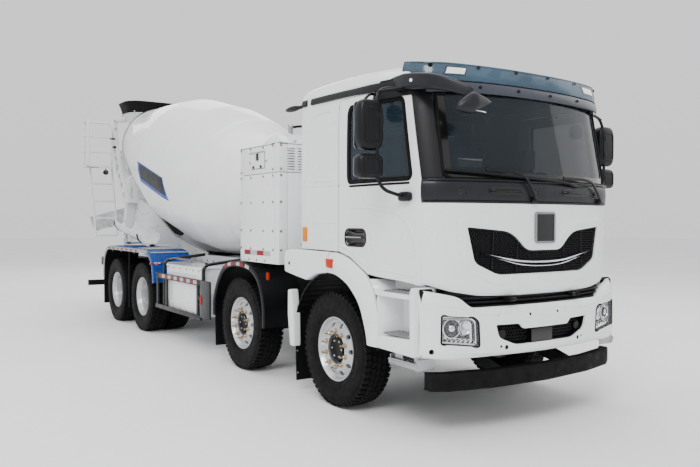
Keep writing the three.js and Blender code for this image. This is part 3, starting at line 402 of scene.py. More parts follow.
def slab(fn, nu, nv, off):
    """closed plate: fn(u,v) gives the outer point, off(u,v) the vector to the inner one"""
    v, f = grid(fn, nu, nv)
    n = len(v)
    for i in range(nu + 1):
        for j in range(nv + 1):
            p = Vector(fn(i / nu, j / nv)) + Vector(off(i / nu, j / nv))
            v.append(tuple(p))
    f = list(f) + [tuple(q + n for q in reversed(t)) for t in f]
    def id_(i, j): return i * (nv + 1) + j
    rim = [id_(i, 0) for i in range(nu + 1)] + [id_(nu, j) for j in range(1, nv + 1)] + \
          [id_(i, nv) for i in range(nu - 1, -1, -1)] + [id_(0, j) for j in range(nv - 1, 0, -1)]
    for k in range(len(rim)):
        a, b = rim[k], rim[(k + 1) % len(rim)]
        f.append((b, a, a + n, b + n))
    return v, f

def sphere(c, r, n=16, m=10, squash=(1, 1, 1)):
    prof = [(r * math.sin(math.pi * k / m), -r * math.cos(math.pi * k / m)) for k in range(m + 1)]
    prof[0] = (0, -r); prof[-1] = (0, r)
    v, f = lathe(prof, (0, 0, 0), (0, 0, 1), n)
    return [(c[0] + p[0] * squash[0], c[1] + p[1] * squash[1], c[2] + p[2] * squash[2]) for p in v], f

def bolt(c, d, r=0.012, h=0.008):
    """domed hexagon head on a washer"""
    c = Vector(c); d = Vector(d).normalized()
    v1, f1 = lathe([(0, -0.001), (r * 1.35, -0.001), (r * 1.35, h * 0.2), (0, h * 0.2)], c, d, 14)
    v2, f2 = lathe([(0, h * 0.2), (r, h * 0.2), (r, h * 0.8), (r * 0.8, h), (0, h)], c, d, 6)
    n = len(v1)
    return v1 + v2, f1 + [tuple(i + n for i in q) for q in f2]

def mirrored(vf):
    v, f = vf
    return [(-x, y, z) for x, y, z in v], [tuple(reversed(q)) for q in f]

def solid_from(vf, name="tmp"):
    me = bpy.data.meshes.new(name)
    me.from_pydata([(x, y - YM, z) for x, y, z in vf[0]], [], vf[1])
    bm = bmesh.new(); bm.from_mesh(me)
    bmesh.ops.remove_doubles(bm, verts=bm.verts, dist=1e-6)
    bmesh.ops.recalc_face_normals(bm, faces=bm.faces)
    bm.to_mesh(me); bm.free()
    o = bpy.data.objects.new(name, me)
    bpy.context.collection.objects.link(o)
    return o

def boolean(o, cutters, op="DIFFERENCE", keep=False):
    for c in cutters:
        b = o.modifiers.new("b", "BOOLEAN")
        b.operation, b.object, b.solver = op, c, "EXACT"
    apply_mods(o)
    if not keep:
        for c in cutters: drop(c)
    return o

def drop(o):
    me = o.data
    bpy.data.objects.remove(o)
    bpy.data.meshes.remove(me)

# ------------------------------------------------------------------ camera, light, floor
cam = bpy.data.cameras.new("camera")
cam.lens, cam.sensor_width, cam.sensor_fit = 36.642, 36.0, "HORIZONTAL"
cam.clip_end = 200
co = bpy.data.objects.new("camera", cam)
bpy.context.collection.objects.link(co)
yaw, pit, rol = R(34.0508), R(-1.0849), R(0.1285)
d = Vector((math.sin(yaw) * math.cos(pit), math.cos(yaw) * math.cos(pit), math.sin(pit)))
r_ = Vector((math.cos(yaw), -math.sin(yaw), 0)); u_ = r_.cross(d)
r2 = r_ * math.cos(rol) + u_ * math.sin(rol); u2 = -r_ * math.sin(rol) + u_ * math.cos(rol)
mat = Matrix((r2, u2, -d)).transposed().to_4x4()
mat.translation = Vector((-4.7558, -5.5513 - YM, 1.7349))
co.matrix_world = mat
bpy.context.scene.camera = co

def floor():
    me = bpy.data.meshes.new("studio_floor")
    s = 60
    me.from_pydata([(-s, -s, 0), (s, -s, 0), (s, s, 0), (-s, s, 0)], [], [(0, 1, 2, 3)])
    m, nt, bs = new_mat("studio_floor")
    nt.links.new(ramp(nt, noise(nt, 0.6, 3), (0.88, 0.88, 0.885), (0.91, 0.91, 0.912)), bs.inputs["Base Color"])
    bs.inputs["Roughness"].default_value = 0.85
    me.materials.append(m)
    o = bpy.data.objects.new("studio_floor", me)
    bpy.context.collection.objects.link(o)
floor()

w = bpy.data.worlds.new("studio"); bpy.context.scene.world = w
w.use_nodes = True
wn = w.node_tree
bg = wn.nodes["Background"]
tcw = wn.nodes.new("ShaderNodeTexCoord")
sep = wn.nodes.new("ShaderNodeSeparateXYZ")
wn.links.new(tcw.outputs["Generated"], sep.inputs[0])
rw = wn.nodes.new("ShaderNodeValToRGB")
cr = rw.color_ramp
cr.elements[0].position, cr.elements[0].color = 0.46, (0.90, 0.905, 0.91, 1)
cr.elements[1].position, cr.elements[1].color = 0.60, (0.97, 0.975, 0.98, 1)
e = cr.elements.new(0.50); e.color = (0.93, 0.935, 0.94, 1)
mr = wn.nodes.new("ShaderNodeMapRange")
mr.inputs["From Min"].default_value, mr.inputs["From Max"].default_value = -1, 1
wn.links.new(sep.outputs["Z"], mr.inputs["Value"])
wn.links.new(mr.outputs["Result"], rw.inputs["Fac"])
wn.links.new(rw.outputs["Color"], bg.inputs["Color"])
bg.inputs["Strength"].default_value = 1.10

def area(name, loc, at, size, power, col=(1, 1, 1)):
    l = bpy.data.lights.new(name, "AREA")
    l.shape, l.size, l.size_y, l.energy, l.color = "RECTANGLE", size[0], size[1], power, col
    o = bpy.data.objects.new(name, l)
    bpy.context.collection.objects.link(o)
    o.location = Vector(loc)
    o.rotation_euler = (Vector(at) - Vector(loc)).to_track_quat("-Z", "Y").to_euler()
area("key", (-9, -12, 11), (0, -3, 1.5), (7, 5), 1420)
area("top", (0, 0, 13), (0, 0, 0), (14, 9), 860)
area("fill", (10, -7, 6), (0, -3, 1.5), (7, 6), 160)
area("back", (4, 14, 9), (0, 3, 2), (10, 6), 400)

# ------------------------------------------------------------------ wheels
def tyre_parts(c, out):
    """c: centre of the tyre, out: +-1 the outboard direction in X; returns carcass and block meshes"""
    ax = (out, 0, 0)
    prof = [(0.292, -0.108), (0.300, -0.118), (0.306, -0.122), (0.330, -0.134), (0.345, -0.1385), (0.3465, -0.1415), (0.352, -0.1415), (0.354, -0.1395),
            (0.385, -0.1475), (0.420, -0.150), (0.455, -0.1475), (0.470, -0.1455), (0.472, -0.1475), (0.478, -0.1465), (0.482, -0.1425), (0.500, -0.138), (0.512, -0.131), (0.5165, -0.124), (0.5185, -0.10), (0.520, 0)]
    prof = prof + [(r, -h) for r, h in reversed(prof[:-1])]
    prof += [(0.282, 0.10), (0.282, -0.10)]
    carcass = lathe(prof, c, ax, 96, closed=True)
    d, u, w = basis(ax)
    O = Vector(c)
    v, f = [], []
    def P(t, r, h): return tuple(O + d * h + (u * math.cos(t) + w * math.sin(t)) * r)
    def block(t0, t1, h0, h1, skew, r0=0.512, r1=0.5345, taper=0.0):
        o = len(v)
        for (h, tt) in ((h0, -skew), (h1, skew)):
            for t in (t0, t1):
                rr = r1 - (taper if (abs(h) > 0.115) else 0)
                v.append(P(t + tt, r0, h)); v.append(P(t + tt, rr, h))
        f.extend([tuple(o + i for i in q) for q in ((0, 2, 3, 1), (4, 5, 7, 6), (0, 1, 5, 4), (2, 6, 7, 3), (1, 3, 7, 5), (0, 4, 6, 2))])
    N = 56
    st = 2 * math.pi / N
    for k in range(N):
        t = k * st
        block(t, t + st * 0.66, -0.140, -0.085, 0.006, taper=0.008)
        block(t + st * 0.5, t + st * 1.16, 0.085, 0.140, 0.006, taper=0.008)
        block(t + st * 0.25, t + st * 1.12, -0.078, -0.030, -0.010)
        block(t + st * 0.7, t + st * 1.57, 0.030, 0.078, 0.010)
        block(t, t + st * 0.9, -0.022, 0.022, 0.008, r1=0.533)
        # shoulder lugs running down the sidewall
        for s in (-1, 1):
            tt = t if s < 0 else t + st * 0.5
            o = len(v)
            for h, r in ((0.139, 0.5265), (0.1375, 0.497), (0.128, 0.510), (0.128, 0.5265)):
                v.append(P(tt, r, s * h)); v.append(P(tt + st * 0.6, r, s * h))
            f.extend([tuple(o + i for i in q) for q in ((0, 1, 3, 2), (2, 3, 5, 4), (4, 5, 7, 6), (6, 7, 1, 0), (0, 2, 4, 6), (1, 7, 5, 3))])
    return carcass, (v, f)

def nuts(p, c, out, pcd, h, n, stud=0.03, r=0.0165):
    d = Vector((out, 0, 0)); O = Vector(c)
    for k in range(n):
        t = 2 * math.pi * (k + 0.5) / n
        b = O + Vector((0, math.cos(t), math.sin(t))) * (pcd / 2) + d * h
        p.add(lathe([(0, 0), (r * 1.5, 0), (r * 1.5, 0.005), (r * 1.15, 0.010), (0, 0.010)], b, d, 14), "nut")
        p.add(lathe([(0, 0.006), (r, 0.006), (r, 0.024), (r * 0.8, 0.028), (0, 0.028)], b, d, 6), "nut")
        p.add(lathe([(0, 0.02), (r * 0.52, 0.02), (r * 0.52, 0.024 + stud), (r * 0.4, 0.027 + stud), (0, 0.027 + stud)], b, d, 10), "nut")

FRONT_DISC = [(0.286, -0.118), (0.296, -0.124), (0.2985, -0.118), (0.291, -0.108), (0.284, -0.09), (0.262, -0.075), (0.256, -0.05), (0.254, 0.045), (0.272, 0.070),
              (0.284, 0.088), (0.290, 0.106), (0.2985, 0.117), (0.2975, 0.123), (0.290, 0.122), (0.281, 0.110), (0.273, 0.092), (0.262, 0.080),
              (0.252, 0.078), (0.236, 0.090), (0.215, 0.106), (0.202, 0.114), (0.192, 0.1165), (0.146, 0.1165), (0.141, 0.112), (0.139, 0.070), (0.120, 0.060), (0.120, 0.045), (0.200, 0.085),
              (0.232, 0.066), (0.246, 0.045), (0.246, -0.05), (0.252, -0.082), (0.276, -0.100)]
def holes(o, c, out, rad, n, r, h0, h1, sq=1.0):
    cs = []
    O = Vector(c)
    v, f = [], []
    for k in range(n):
        t = 2 * math.pi * k / n
        b = O + Vector((0, math.cos(t), math.sin(t))) * rad
        vv, ff = lathe([(0, 0), (r, 0), (r, abs(h1 - h0)), (0, abs(h1 - h0))], b + Vector((out * h0, 0, 0)), (out, 0, 0), 14)
        off = len(v)
        v += vv; f += [tuple(i + off for i in q) for q in ff]
    return solid_from((v, f))

def front_wheel(axle, side):
    out = -1 if side == "right" else 1
    c = (out * 1.045, [0, 2.0][axle - 1], 0.535)
    body = f"wheel_{axle}_{side}"
    p = Piece(f"tyre_{axle}_{side}", body, "tyre")
    a, b = tyre_parts(c, out)
    p.add(a, "tyre"); p.add(b, "tyre")
    p.build(replaces=f"axle_{axle}_tyre_{side}", angle=38)
    o = solid_from(lathe(FRONT_DISC, c, (out, 0, 0), 80, closed=True), f"rim_{axle}_{side}")
    boolean(o, [holes(o, c, out, 0.226, 10, 0.0225, 0.0, 0.16)])
    o.data.materials.append(M["rim"])
    finish_obj(o, body, "rim_silver", f"axle_{axle}_rim_{side}", angle=30)
    p = Piece(f"hub_{axle}_{side}", body, "stud_steel")
    nuts(p, c, out, 0.335, 0.1165, 10)
    p.add(lathe([(0, 0.10), (0.060, 0.10), (0.066, 0.104), (0.092, 0.104), (0.097, 0.112), (0.104, 0.112), (0.112, 0.100), (0.136, 0.070), (0.136, -0.055), (0.03, -0.055), (0, -0.02)], c, (out, 0, 0), 40), "chassis")
    for k in range(6):
        t = 2 * math.pi * k / 6
        q = Vector(c) + Vector((out * 0.104, 0.08 * math.cos(t), 0.08 * math.sin(t)))
        p.add(bolt(q, (out, 0, 0), 0.0075, 0.008), "steel")
    p.add(cyl(Vector(c) + Vector((out * 0.075, 0.262, 0.0)), Vector(c) + Vector((out * 0.118, 0.272, 0.0)), 0.0055, 8), "chrome")
    p.build(angle=35)

def rear_wheel(axle, side):
    out = -1 if side == "right" else 1
    y = {3: 5.47, 4: 6.82}[axle]
    body = f"wheel_{axle}_{side}"
    p = Piece(f"twin_tyres_{axle}_{side}", body, "tyre")
    for off in (0.17, -0.17):
        a, b = tyre_parts((out * (0.924 + off), y, 0.535), out)
        p.add(a, "tyre"); p.add(b, "tyre")
    p.build(replaces=f"axle_{axle}_twin_tyres_{side}", angle=38)
    c = (out * 0.924, y, 0.535)
    disc = [(0.286, -0.288), (0.2985, -0.288), (0.291, -0.276), (0.262, -0.24), (0.256, 0.20), (0.262, 0.225), (0.272, 0.240), (0.284, 0.258), (0.290, 0.276), (0.2985, 0.287), (0.2975, 0.293),
            (0.290, 0.292), (0.281, 0.280), (0.273, 0.262), (0.262, 0.246), (0.254, 0.225), (0.252, 0.085), (0.246, 0.060), (0.228, 0.044), (0.205, 0.034), (0.192, 0.031), (0.146, 0.031), (0.141, 0.026),
            (0.141, -0.01), (0.20, 0.0), (0.236, 0.02), (0.244, -0.06), (0.244, -0.26)]
    o = solid_from(lathe(disc, c, (out, 0, 0), 80, closed=True), f"twin_rims_{axle}_{side}")
    boolean(o, [holes(o, c, out, 0.222, 10, 0.022, -0.03, 0.14)])
    o.data.materials.append(M["rim"])
    finish_obj(o, body, "rim_silver", f"axle_{axle}_twin_rims_{side}", angle=30)
    p = Piece(f"twin_hub_{axle}_{side}", body, "stud_steel")
    nuts(p, c, out, 0.335, 0.031, 10, 0.034)
    p.add(lathe([(0, 0.148), (0.052, 0.148), (0.060, 0.142), (0.098, 0.138), (0.104, 0.130), (0.108, 0.115), (0.118, 0.075), (0.136, 0.045), (0.136, -0.25), (0.21, -0.255), (0.21, -0.28), (0, -0.28)], c, (out, 0, 0), 44), "chassis")
    for k in range(10):
        t = 2 * math.pi * k / 10
        q = Vector(c) + Vector((out * 0.139, 0.081 * math.cos(t), 0.081 * math.sin(t)))
        p.add(bolt(q, (out, 0, 0), 0.009, 0.009), "steel")
    p.build(angle=35)

for side in ("right", "left"):
    for a in (1, 2): front_wheel(a, side)
    for a in (3, 4): rear_wheel(a, side)

# ------------------------------------------------------------------ drum
TILT = R(13.405)
DC, DS = math.cos(TILT), math.sin(TILT)
def drum_pt(s, q, x=0.0): return (x, 5.484 + s * DC - q * DS, 2.536 + s * DS + q * DC)
def drum_r(s):
    """outer radius along the drum's axis"""
    if s < -2.215:
        t = (s + 2.76) / 0.545
        return 0.786 * math.sqrt(max(0.0, 1 - (1 - max(0, t)) ** 2.1))
    if s < -0.586:
        t = (s + 2.215) / 1.629
        return 0.786 + (1.122 - 0.786) * t + 0.063 * math.sin(math.pi * t)
    if s < 0.504: return 1.122
    t = (s - 0.504) / 2.375
    return 1.122 - (1.122 - 0.673) * t + 0.024 * math.sin(math.pi * t)
def drum():
    S = [-2.76 + 0.545 * (k / 14) ** 1.6 for k in range(14)] + [-2.215 + 1.629 * k / 16 for k in range(16)] + \
        [-0.586 + 1.09 * k / 6 for k in range(6)] + [0.504 + 2.375 * k / 26 for k in range(27)]
    prof = [(0.0, -2.76)] + [(drum_r(s), s) for s in S[1:]]
    # weld seams between the shell's courses
    out = []
    seams = (-2.215, -1.40, -0.586, 0.504, 1.30, 2.10)
    for r, s in prof:
        if any(abs(s - q) < 0.012 for q in seams) and r > 0.1:
            out += [(r, s - 0.010), (r + 0.0035, s - 0.004), (r + 0.0035, s + 0.004), (r, s + 0.010)]
        else: out.append((r, s))
    ring = [(drum_r(2.66), 2.66), (0.700, 2.672), (0.704, 2.69), (0.722, 2.692), (0.722, 2.808), (0.704, 2.810), (0.700, 2.828), (0.676, 2.842)]
    out = [q for q in out if q[1] < 2.655] + ring + [(0.674, 2.87), (0.680, 2.874), (0.680, 2.884), (0.655, 2.884), (0.653, 2.85)]
    inner = [(drum_r(s) - 0.018, s) for s in (2.6, 2.0, 1.4, 0.8, 0.3, -0.6, -1.2, -1.8, -2.2)] + [(0.5, -2.55), (0.0, -2.70)]
    p = Piece("mixer_drum", "drum", "white_paint")
    p.add(lathe(out + inner, drum_pt(0, 0), (0, DC, DS), 144), "drumwhite")
    # two spiral blades seen through the mouth
    for ph in (0, math.pi):
        v, f = [], []
        n = 150
        for k in range(n + 1):
            s = 2.82 - k * (2.3 / n)
            t = ph + (2.82 - s) * 3.1
            ro = drum_r(min(s, 2.66)) - 0.02
            for rr in (ro, ro - 0.30):
                for ds in (-0.003, 0.003):
                    x = rr * math.cos(t); q = rr * math.sin(t)
                    v.append(drum_pt(s + ds, q, x))
        for k in range(n):
            a = 4 * k; b = a + 4
            f += [(a, b, b + 2, a + 2), (a + 1, a + 3, b + 3, b + 1), (a + 2, b + 2, b + 3, a + 3), (a, a + 1, b + 1, b)]
        f += [(0, 2, 3, 1), (4 * n, 4 * n + 1, 4 * n + 3, 4 * n + 2)]
        p.add((v, f), "steel")
    # bolted drive flange at the front
    p.add(lathe([(0, -2.79), (0.16, -2.79), (0.17, -2.775), (0.17, -2.745), (0.21, -2.735), (0, -2.72)], drum_pt(0, 0), (0, DC, DS), 40), "framewhite")
    for k in range(12):
        t = 2 * math.pi * k / 12
        p.add(bolt(drum_pt(-2.790, 0.14 * math.sin(t), 0.14 * math.cos(t)), (0, -DC, -DS), 0.011, 0.010), "steel")
    p.build(replaces="drum", angle=28)
    # ring's running face in bare steel
    p = Piece("drum_race", "drum", "stud_steel")
    p.add(lathe([(0.7225, 2.70), (0.7245, 2.704), (0.7245, 2.796), (0.7225, 2.80), (0.7205, 2.80), (0.7205, 2.70)], drum_pt(0, 0), (0, DC, DS), 144, closed=True), "steel")
    p.build(angle=30)
drum()

def drum_patch(name, quad, mat, lift, slot):
    """quad: four (s, angle) corners, angle from +X towards up; laid on the drum's shell"""
    def fn(u, v):
        s = (quad[0][0] * (1 - u) + quad[1][0] * u) * (1 - v) + (quad[3][0] * (1 - u) + quad[2][0] * u) * v
        t = (quad[0][1] * (1 - u) + quad[1][1] * u) * (1 - v) + (quad[3][1] * (1 - u) + quad[2][1] * u) * v
        r = drum_r(s) + lift
        return drum_pt(s, r * math.sin(t), r * math.cos(t))
    def off(u, v):
        p = Vector(fn(u, v)); c = Vector(drum_pt(0, 0)); ax = Vector((0, DC, DS))
        n = (p - c) - ax * (p - c).dot(ax)
        return -n.normalized() * 0.0012
    p = Piece(name, "drum", slot)
    p.add(slab(fn, 20, 12, off), mat)
    p.build(angle=30)

# ------------------------------------------------------------------ cab surface
BELT, RAKE = 2.060, 0.19
HALF = [(0, .64), (.4, .64), (.8, .64), (1.06, .638), (1.145, .628), (1.188, .59), (1.2, .52), (1.2, .2), (1.2, -.15), (1.2, -.5), (1.188, -.72), (1.172, -.9), (1.158, -1.06), (1.142, -1.165),
        (1.118, -1.215), (1.075, -1.262), (1.02, -1.300), (.96, -1.332), (.88, -1.363), (.789, -1.388), (.6, -1.421), (.433, -1.44), (.22, -1.458), (0, -1.465)]
def catmull(pts, n=6):
    P = [Vector((*p, 0)) for p in pts]
    P = [P[0] * 2 - P[1]] + P + [P[-1] * 2 - P[-2]]
    out = []
    for i in range(1, len(P) - 2):
        for k in range(n):
            t = k / n
            a, b, c, d_ = P[i - 1], P[i], P[i + 1], P[i + 2]
            q = (2 * b + (c - a) * t + (2 * a - 5 * b + 4 * c - d_) * t * t + (3 * b - a - 3 * c + d_) * t ** 3) * 0.5
            out.append((q.x, q.y))
    out.append(tuple(pts[-1][:2]))
    return out
PLAN = catmull(HALF, 5)
def groove(z):
    return 0.0045 * math.exp(-((z - 2.045) / 0.007) ** 2)
def plan_at(z, off=0.0):
    off = off + groove(z)
    out = []
    for x, y in PLAN:
        x2 = x * (1.2 - off) / 1.2
        y2 = -0.4125 + (y + 0.4125) * (1.0525 - off) / 1.0525
        if z > BELT and y < -0.6: y2 += (z - BELT) * RAKE * min(1, (-0.6 - y) / 0.6)
        # the side walls lean in a little above the belt
        if z > 2.3: x2 *= 1 - 0.012 * ((z - 2.3) / 0.6) ** 2
        out.append((x2, y2))
    return out
def lerp_on(pts, key, val, q):
    for a, b in zip(pts, pts[1:]):
        if (a[key] - q) * (b[key] - q) <= 0 and abs(a[key] - b[key]) > 1e-9:
            t = (q - a[key]) / (b[key] - a[key])
            return a[val] + (b[val] - a[val]) * t
    return pts[-1][val]
_cache = {}
def fpts(z, off):
    k = (round(z, 4), round(off, 4))
    if k not in _cache:
        p = plan_at(z, off)
        i = max(range(len(p)), key=lambda j: p[j][0] - 0.001 * j)
        s = [j for j in range(len(p)) if p[j][1] < 0.45]
        _cache[k] = (p, p[s[0]:])
    return _cache[k]
def front_y(x, z, off=0.0):
    p = fpts(z, off)[1]
    return lerp_on(p[::-1], 0, 1, min(abs(x), p[0][0] - 1e-4))
def side_x(y, z, off=0.0):
    """distance from the centre plane to the side wall"""
    return lerp_on(fpts(z, off)[1] if y < 0.45 else fpts(z, off)[0][10:], 1, 0, y)
def FP(x, z, h=0.0):
    """point on the cab's front, h outside the skin"""
    e = 0.004
    p = Vector((x, front_y(x, z), z))
    a = Vector((x + e, front_y(x + e, z), z)) - Vector((x - e, front_y(x - e, z), z))
    b = Vector((x, front_y(x, z + e), z + e)) - Vector((x, front_y(x, z - e), z - e))
    n = a.cross(b).normalized()
    if n.y > 0: n = -n
    return p + n * h, n
def SP(y, z, h=0.0):
    """point on the cab's right side, h outside the skin"""
    e = 0.004
    X = lambda a, b: Vector((-side_x(a, b), a, b))
    n = (X(y + e, z) - X(y - e, z)).cross(X(y, z + e) - X(y, z - e)).normalized()
    if n.x > 0: n = -n
    return X(y, z) + n * h, n

def sweep(path, section, closed=False):
    """path of (point, normal); section of (across, outward) pairs; closed polygon section"""
    v, f = [], []
    m, k = len(path), len(section)
    for i, (p, n) in enumerate(path):
        if closed: t = path[(i + 1) % m][0] - path[i - 1][0]
        else: t = path[min(i + 1, m - 1)][0] - path[max(i - 1, 0)][0]
        t.normalize(); b = t.cross(n).normalized()
        for a, h in section: v.append(tuple(p + b * a + n * h))
    for i in range(m if closed else m - 1):
        j = (i + 1) % m
        for q in range(k):
            f.append((i * k + q, i * k + (q + 1) % k, j * k + (q + 1) % k, j * k + q))
    if not closed:
        f.append(tuple(range(k - 1, -1, -1))); f.append(tuple((m - 1) * k + q for q in range(k)))
    return v, f
def bead(w, h, sink=0.004, n=6):
    """rounded ridge section"""
    out = [(-w / 2, -sink)]
    for k in range(n + 1):
        t = math.pi * (1 - k / n)
        out.append((w / 2 * math.cos(t), h * math.sin(t)))
    out.append((w / 2, -sink))
    return out
def flatbar(w, h, sink=0.004, c=0.002):
    return [(-w / 2, -sink), (-w / 2, h - c), (-w / 2 + c, h), (w / 2 - c, h), (w / 2, h - c), (w / 2, -sink)]
def dense(pts, step=0.03, closed=False):
    out = []
    P = list(pts) + ([pts[0]] if closed else [])
    for a, b in zip(P, P[1:]):
        L = math.dist(a, b); n = max(1, int(L / step))
        for k in range(n): out.append(tuple(a[i] + (b[i] - a[i]) * k / n for i in range(len(a))))
    if not closed: out.append(tuple(P[-1]))
    return out
def on_front(pts, h=0.0, step=0.03, closed=False): return [FP(x, z, h) for x, z in dense(pts, step, closed)]
def on_side(pts, h=0.0, step=0.03, closed=False): return [SP(y, z, h) for y, z in dense(pts, step, closed)]
def patch(pts, fn, h0, h1, cell=0.04):
    """closed plate following a surface: outline filled and subdivided"""
    pts = dense(pts, cell, True)
    tri = tessellate_polygon([[Vector((p[0], p[1], 0)) for p in pts]])
    me = bpy.data.meshes.new("p"); me.from_pydata([(p[0], p[1], 0) for p in pts], [], [tuple(t) for t in tri])
    bm = bmesh.new(); bm.from_mesh(me)
    for _ in range(3):
        long_ = [e for e in bm.edges if e.calc_length() > cell * 2.2 and not e.is_boundary]
        if not long_: break
        bmesh.ops.subdivide_edges(bm, edges=long_, cuts=1)
        bmesh.ops.triangulate(bm, faces=bm.faces)
    V = [(v.co.x, v.co.y) for v in bm.verts]; bm.verts.index_update()
    F = [tuple(v.index for v in f.verts) for f in bm.faces]
    B = [(e.verts[0].index, e.verts[1].index) for e in bm.edges if e.is_boundary]
    bm.free(); bpy.data.meshes.remove(me)
    n = len(V)
    v = [tuple(fn(a, b, h1)[0]) for a, b in V] + [tuple(fn(a, b, h0)[0]) for a, b in V]
    f = F + [tuple(i + n for i in reversed(q)) for q in F] + [(a, b, b + n, a + n) for a, b in B]
    return v, f

def mirror_copy(o, name):
    me = o.data.copy(); me.name = name
    for v in me.vertices: v.co.x = -v.co.x
    me.flip_normals()
    c = bpy.data.objects.new(name, me)
    bpy.context.collection.objects.link(c)
    return c
def copy_of(o, name):
    c = bpy.data.objects.new(name, o.data.copy()); bpy.context.collection.objects.link(c); return c
def set_mat(o, key):
    o.data.materials.clear(); o.data.materials.append(M[key])
    o.data.polygons.foreach_set("material_index", [0] * len(o.data.polygons))

# ------------------------------------------------------------------ cab shell
WALL = 0.034
ZL = [1.15 + 0.05 * k for k in range(17)] + [1.98, 2.01, 2.028, 2.036, 2.041, 2.045, 2.049, 2.054, 2.062, 2.08, 2.12] + [2.18 + 0.06 * k for k in range(13)] + [2.93]
def shell_solid(z0, z1, o0=0.0, o1=WALL):
    Z = [z0] + [z for z in ZL if z0 + 0.004 < z < z1 - 0.004] + [z1]
    v, f = [], []
    def ring(z, off):
        p = plan_at(z, off)
        full = p + [(-x, y) for x, y in p[-2:0:-1]]
        base = len(v)
        v.extend((x, y, z) for x, y in full)
        return base, len(full)
    outs = [ring(z, o0) for z in Z]; ins = [ring(z, o1) for z in Z]
    for R_, flip in ((outs, 0), (ins, 1)):
        for (a, n), (b, _) in zip(R_, R_[1:]):
            for i in range(n):
                j = (i + 1) % n
                q = (a + i, a + j, b + j, b + i)
                f.append(q[::-1] if flip else q)
    for A, B in ((outs[0][0], ins[0][0]), (outs[-1][0], ins[-1][0])):
        n = outs[0][1]
        for i in range(n): f.append((A + i, A + (i + 1) % n, B + (i + 1) % n, B + i))
    return v, f
SHELL = solid_from(shell_solid(1.15, 2.905), "shell")

SILL = [(-1.400, 1.206), (-1.190, 1.210), (-.947, 1.235), (-.560, 1.265), (-.447, 1.322), (-.291, 1.400), (-.094, 1.447), (.80, 1.458)]
def door_outline(g=0.0):
    # g grows it all round, above the sill
    low = [(-1.190 - g, 1.212 - g), (-.947, 1.237 - g), (-.700, 1.252 - g), (-.560, 1.267 - g), (-.447, 1.324 - g), (-.291, 1.402 - g), (-.100 + g, 1.447 - g)]
    up = [(-.100 + g, 2.74), (-.112 + g, 2.80), (-.150 + g, 2.822 + g), (-1.005 - g, 2.822 + g), (-1.045 - g, 2.81), (-1.190 - g, 2.064)]
    return low + up
def cut_solid(o, prisms, op="DIFFERENCE"):
    return boolean(o, [solid_from(p) for p in prisms], op)
WIN = round_poly([(-1.105, 2.062), (-.262, 2.062), (-.245, 2.11), (-.245, 2.70), (-.275, 2.745), (-.985, 2.745)], [.05, .05, .04, .04, .03, .06], 5)

def panel(o, name, body, key, slot, replaces, mirror_name=None, mirror_rep=None, mbody=None, bev=0.0035):
    set_mat(o, key); o.name = name
    if mirror_name:
        c = mirror_copy(o, mirror_name)
        finish_obj(c, mbody or body, slot, mirror_rep, bev, 2, 30)
    finish_obj(o, body, slot, replaces, bev, 2, 30)
    return o

def cab_panels():
    # door with its window opening and the recess of the handle
    d = copy_of(SHELL, "door")
    cut_solid(d, [px(door_outline(), -1.4, -1.0)], "INTERSECT")
    cut_solid(d, [px(WIN, -1.4, -1.0), px(rounded(-.525, -.215, 1.510, 1.650, .055, 6), -1.215, -1.158)])
    panel(d, "door_right", "door_right", "white", "white_paint", "door_right", "door_left", "door_left", "door_left")
    # side: rear quarter, header and pillar
    s = copy_of(SHELL, "side")
    zone = [(-1.15, BELT + .006), (-.9, BELT + .006), (-.9, 1.0), (.8, 1.0), (.8, 2.904), (-1.45, 2.904), (-1.45, BELT + .006)]
    cut_solid(s, [px(zone, -1.4, -.9)], "INTERSECT")
    pil = copy_of(s, "pillar")
    cut_solid(pil, [px([(-1.45, BELT + .006), (-.99, BELT + .006), (-.99, 2.904), (-1.45, 2.904)], -1.4, -.9)], "INTERSECT")
    cut_solid(pil, [px(door_outline(.005), -1.45, -.8), box(-1.008, 1.4, -1.8, 0, 1.0, 3.2)])
    panel(pil, "pillar_right", "cab", "black", "black_plastic", (), "pillar_left", ())
    cut_solid(s, [px([(-1.45, .9), (-.9885, .9), (-.9885, 2.95), (-1.45, 2.95)], -1.45, -.8)])
    cut_solid(s, [px(door_outline(.005), -1.45, -.8), px(SILL + [(.9, .9), (-1.6, .9)], -1.45, -.8), box(-1.1485, 0, .3, .9, 1.0, 3.2), box(-1.008, 1.4, -1.8, 0, 1.0, 3.2)])
    panel(s, "cab_side_right", "cab", "white", "white_paint", "cab_side_right", "cab_side_left", "cab_side_left")
    r = copy_of(SHELL, "rear")
    cut_solid(r, [box(-1.1475, 1.1475, .45, .9, 1.459, 2.904)], "INTERSECT")
    panel(r, "cab_rear_wall", "cab", "white", "white_paint", "cab_rear_wall")
    # header over the windscreen
    h = copy_of(SHELL, "header")
    cut_solid(h, [box(-1.007, 1.007, -1.8, -.7, 2.838, 2.904)], "INTERSECT")
    panel(h, "windscreen_header", "cab", "black", "black_plastic", ())
cab_panels()

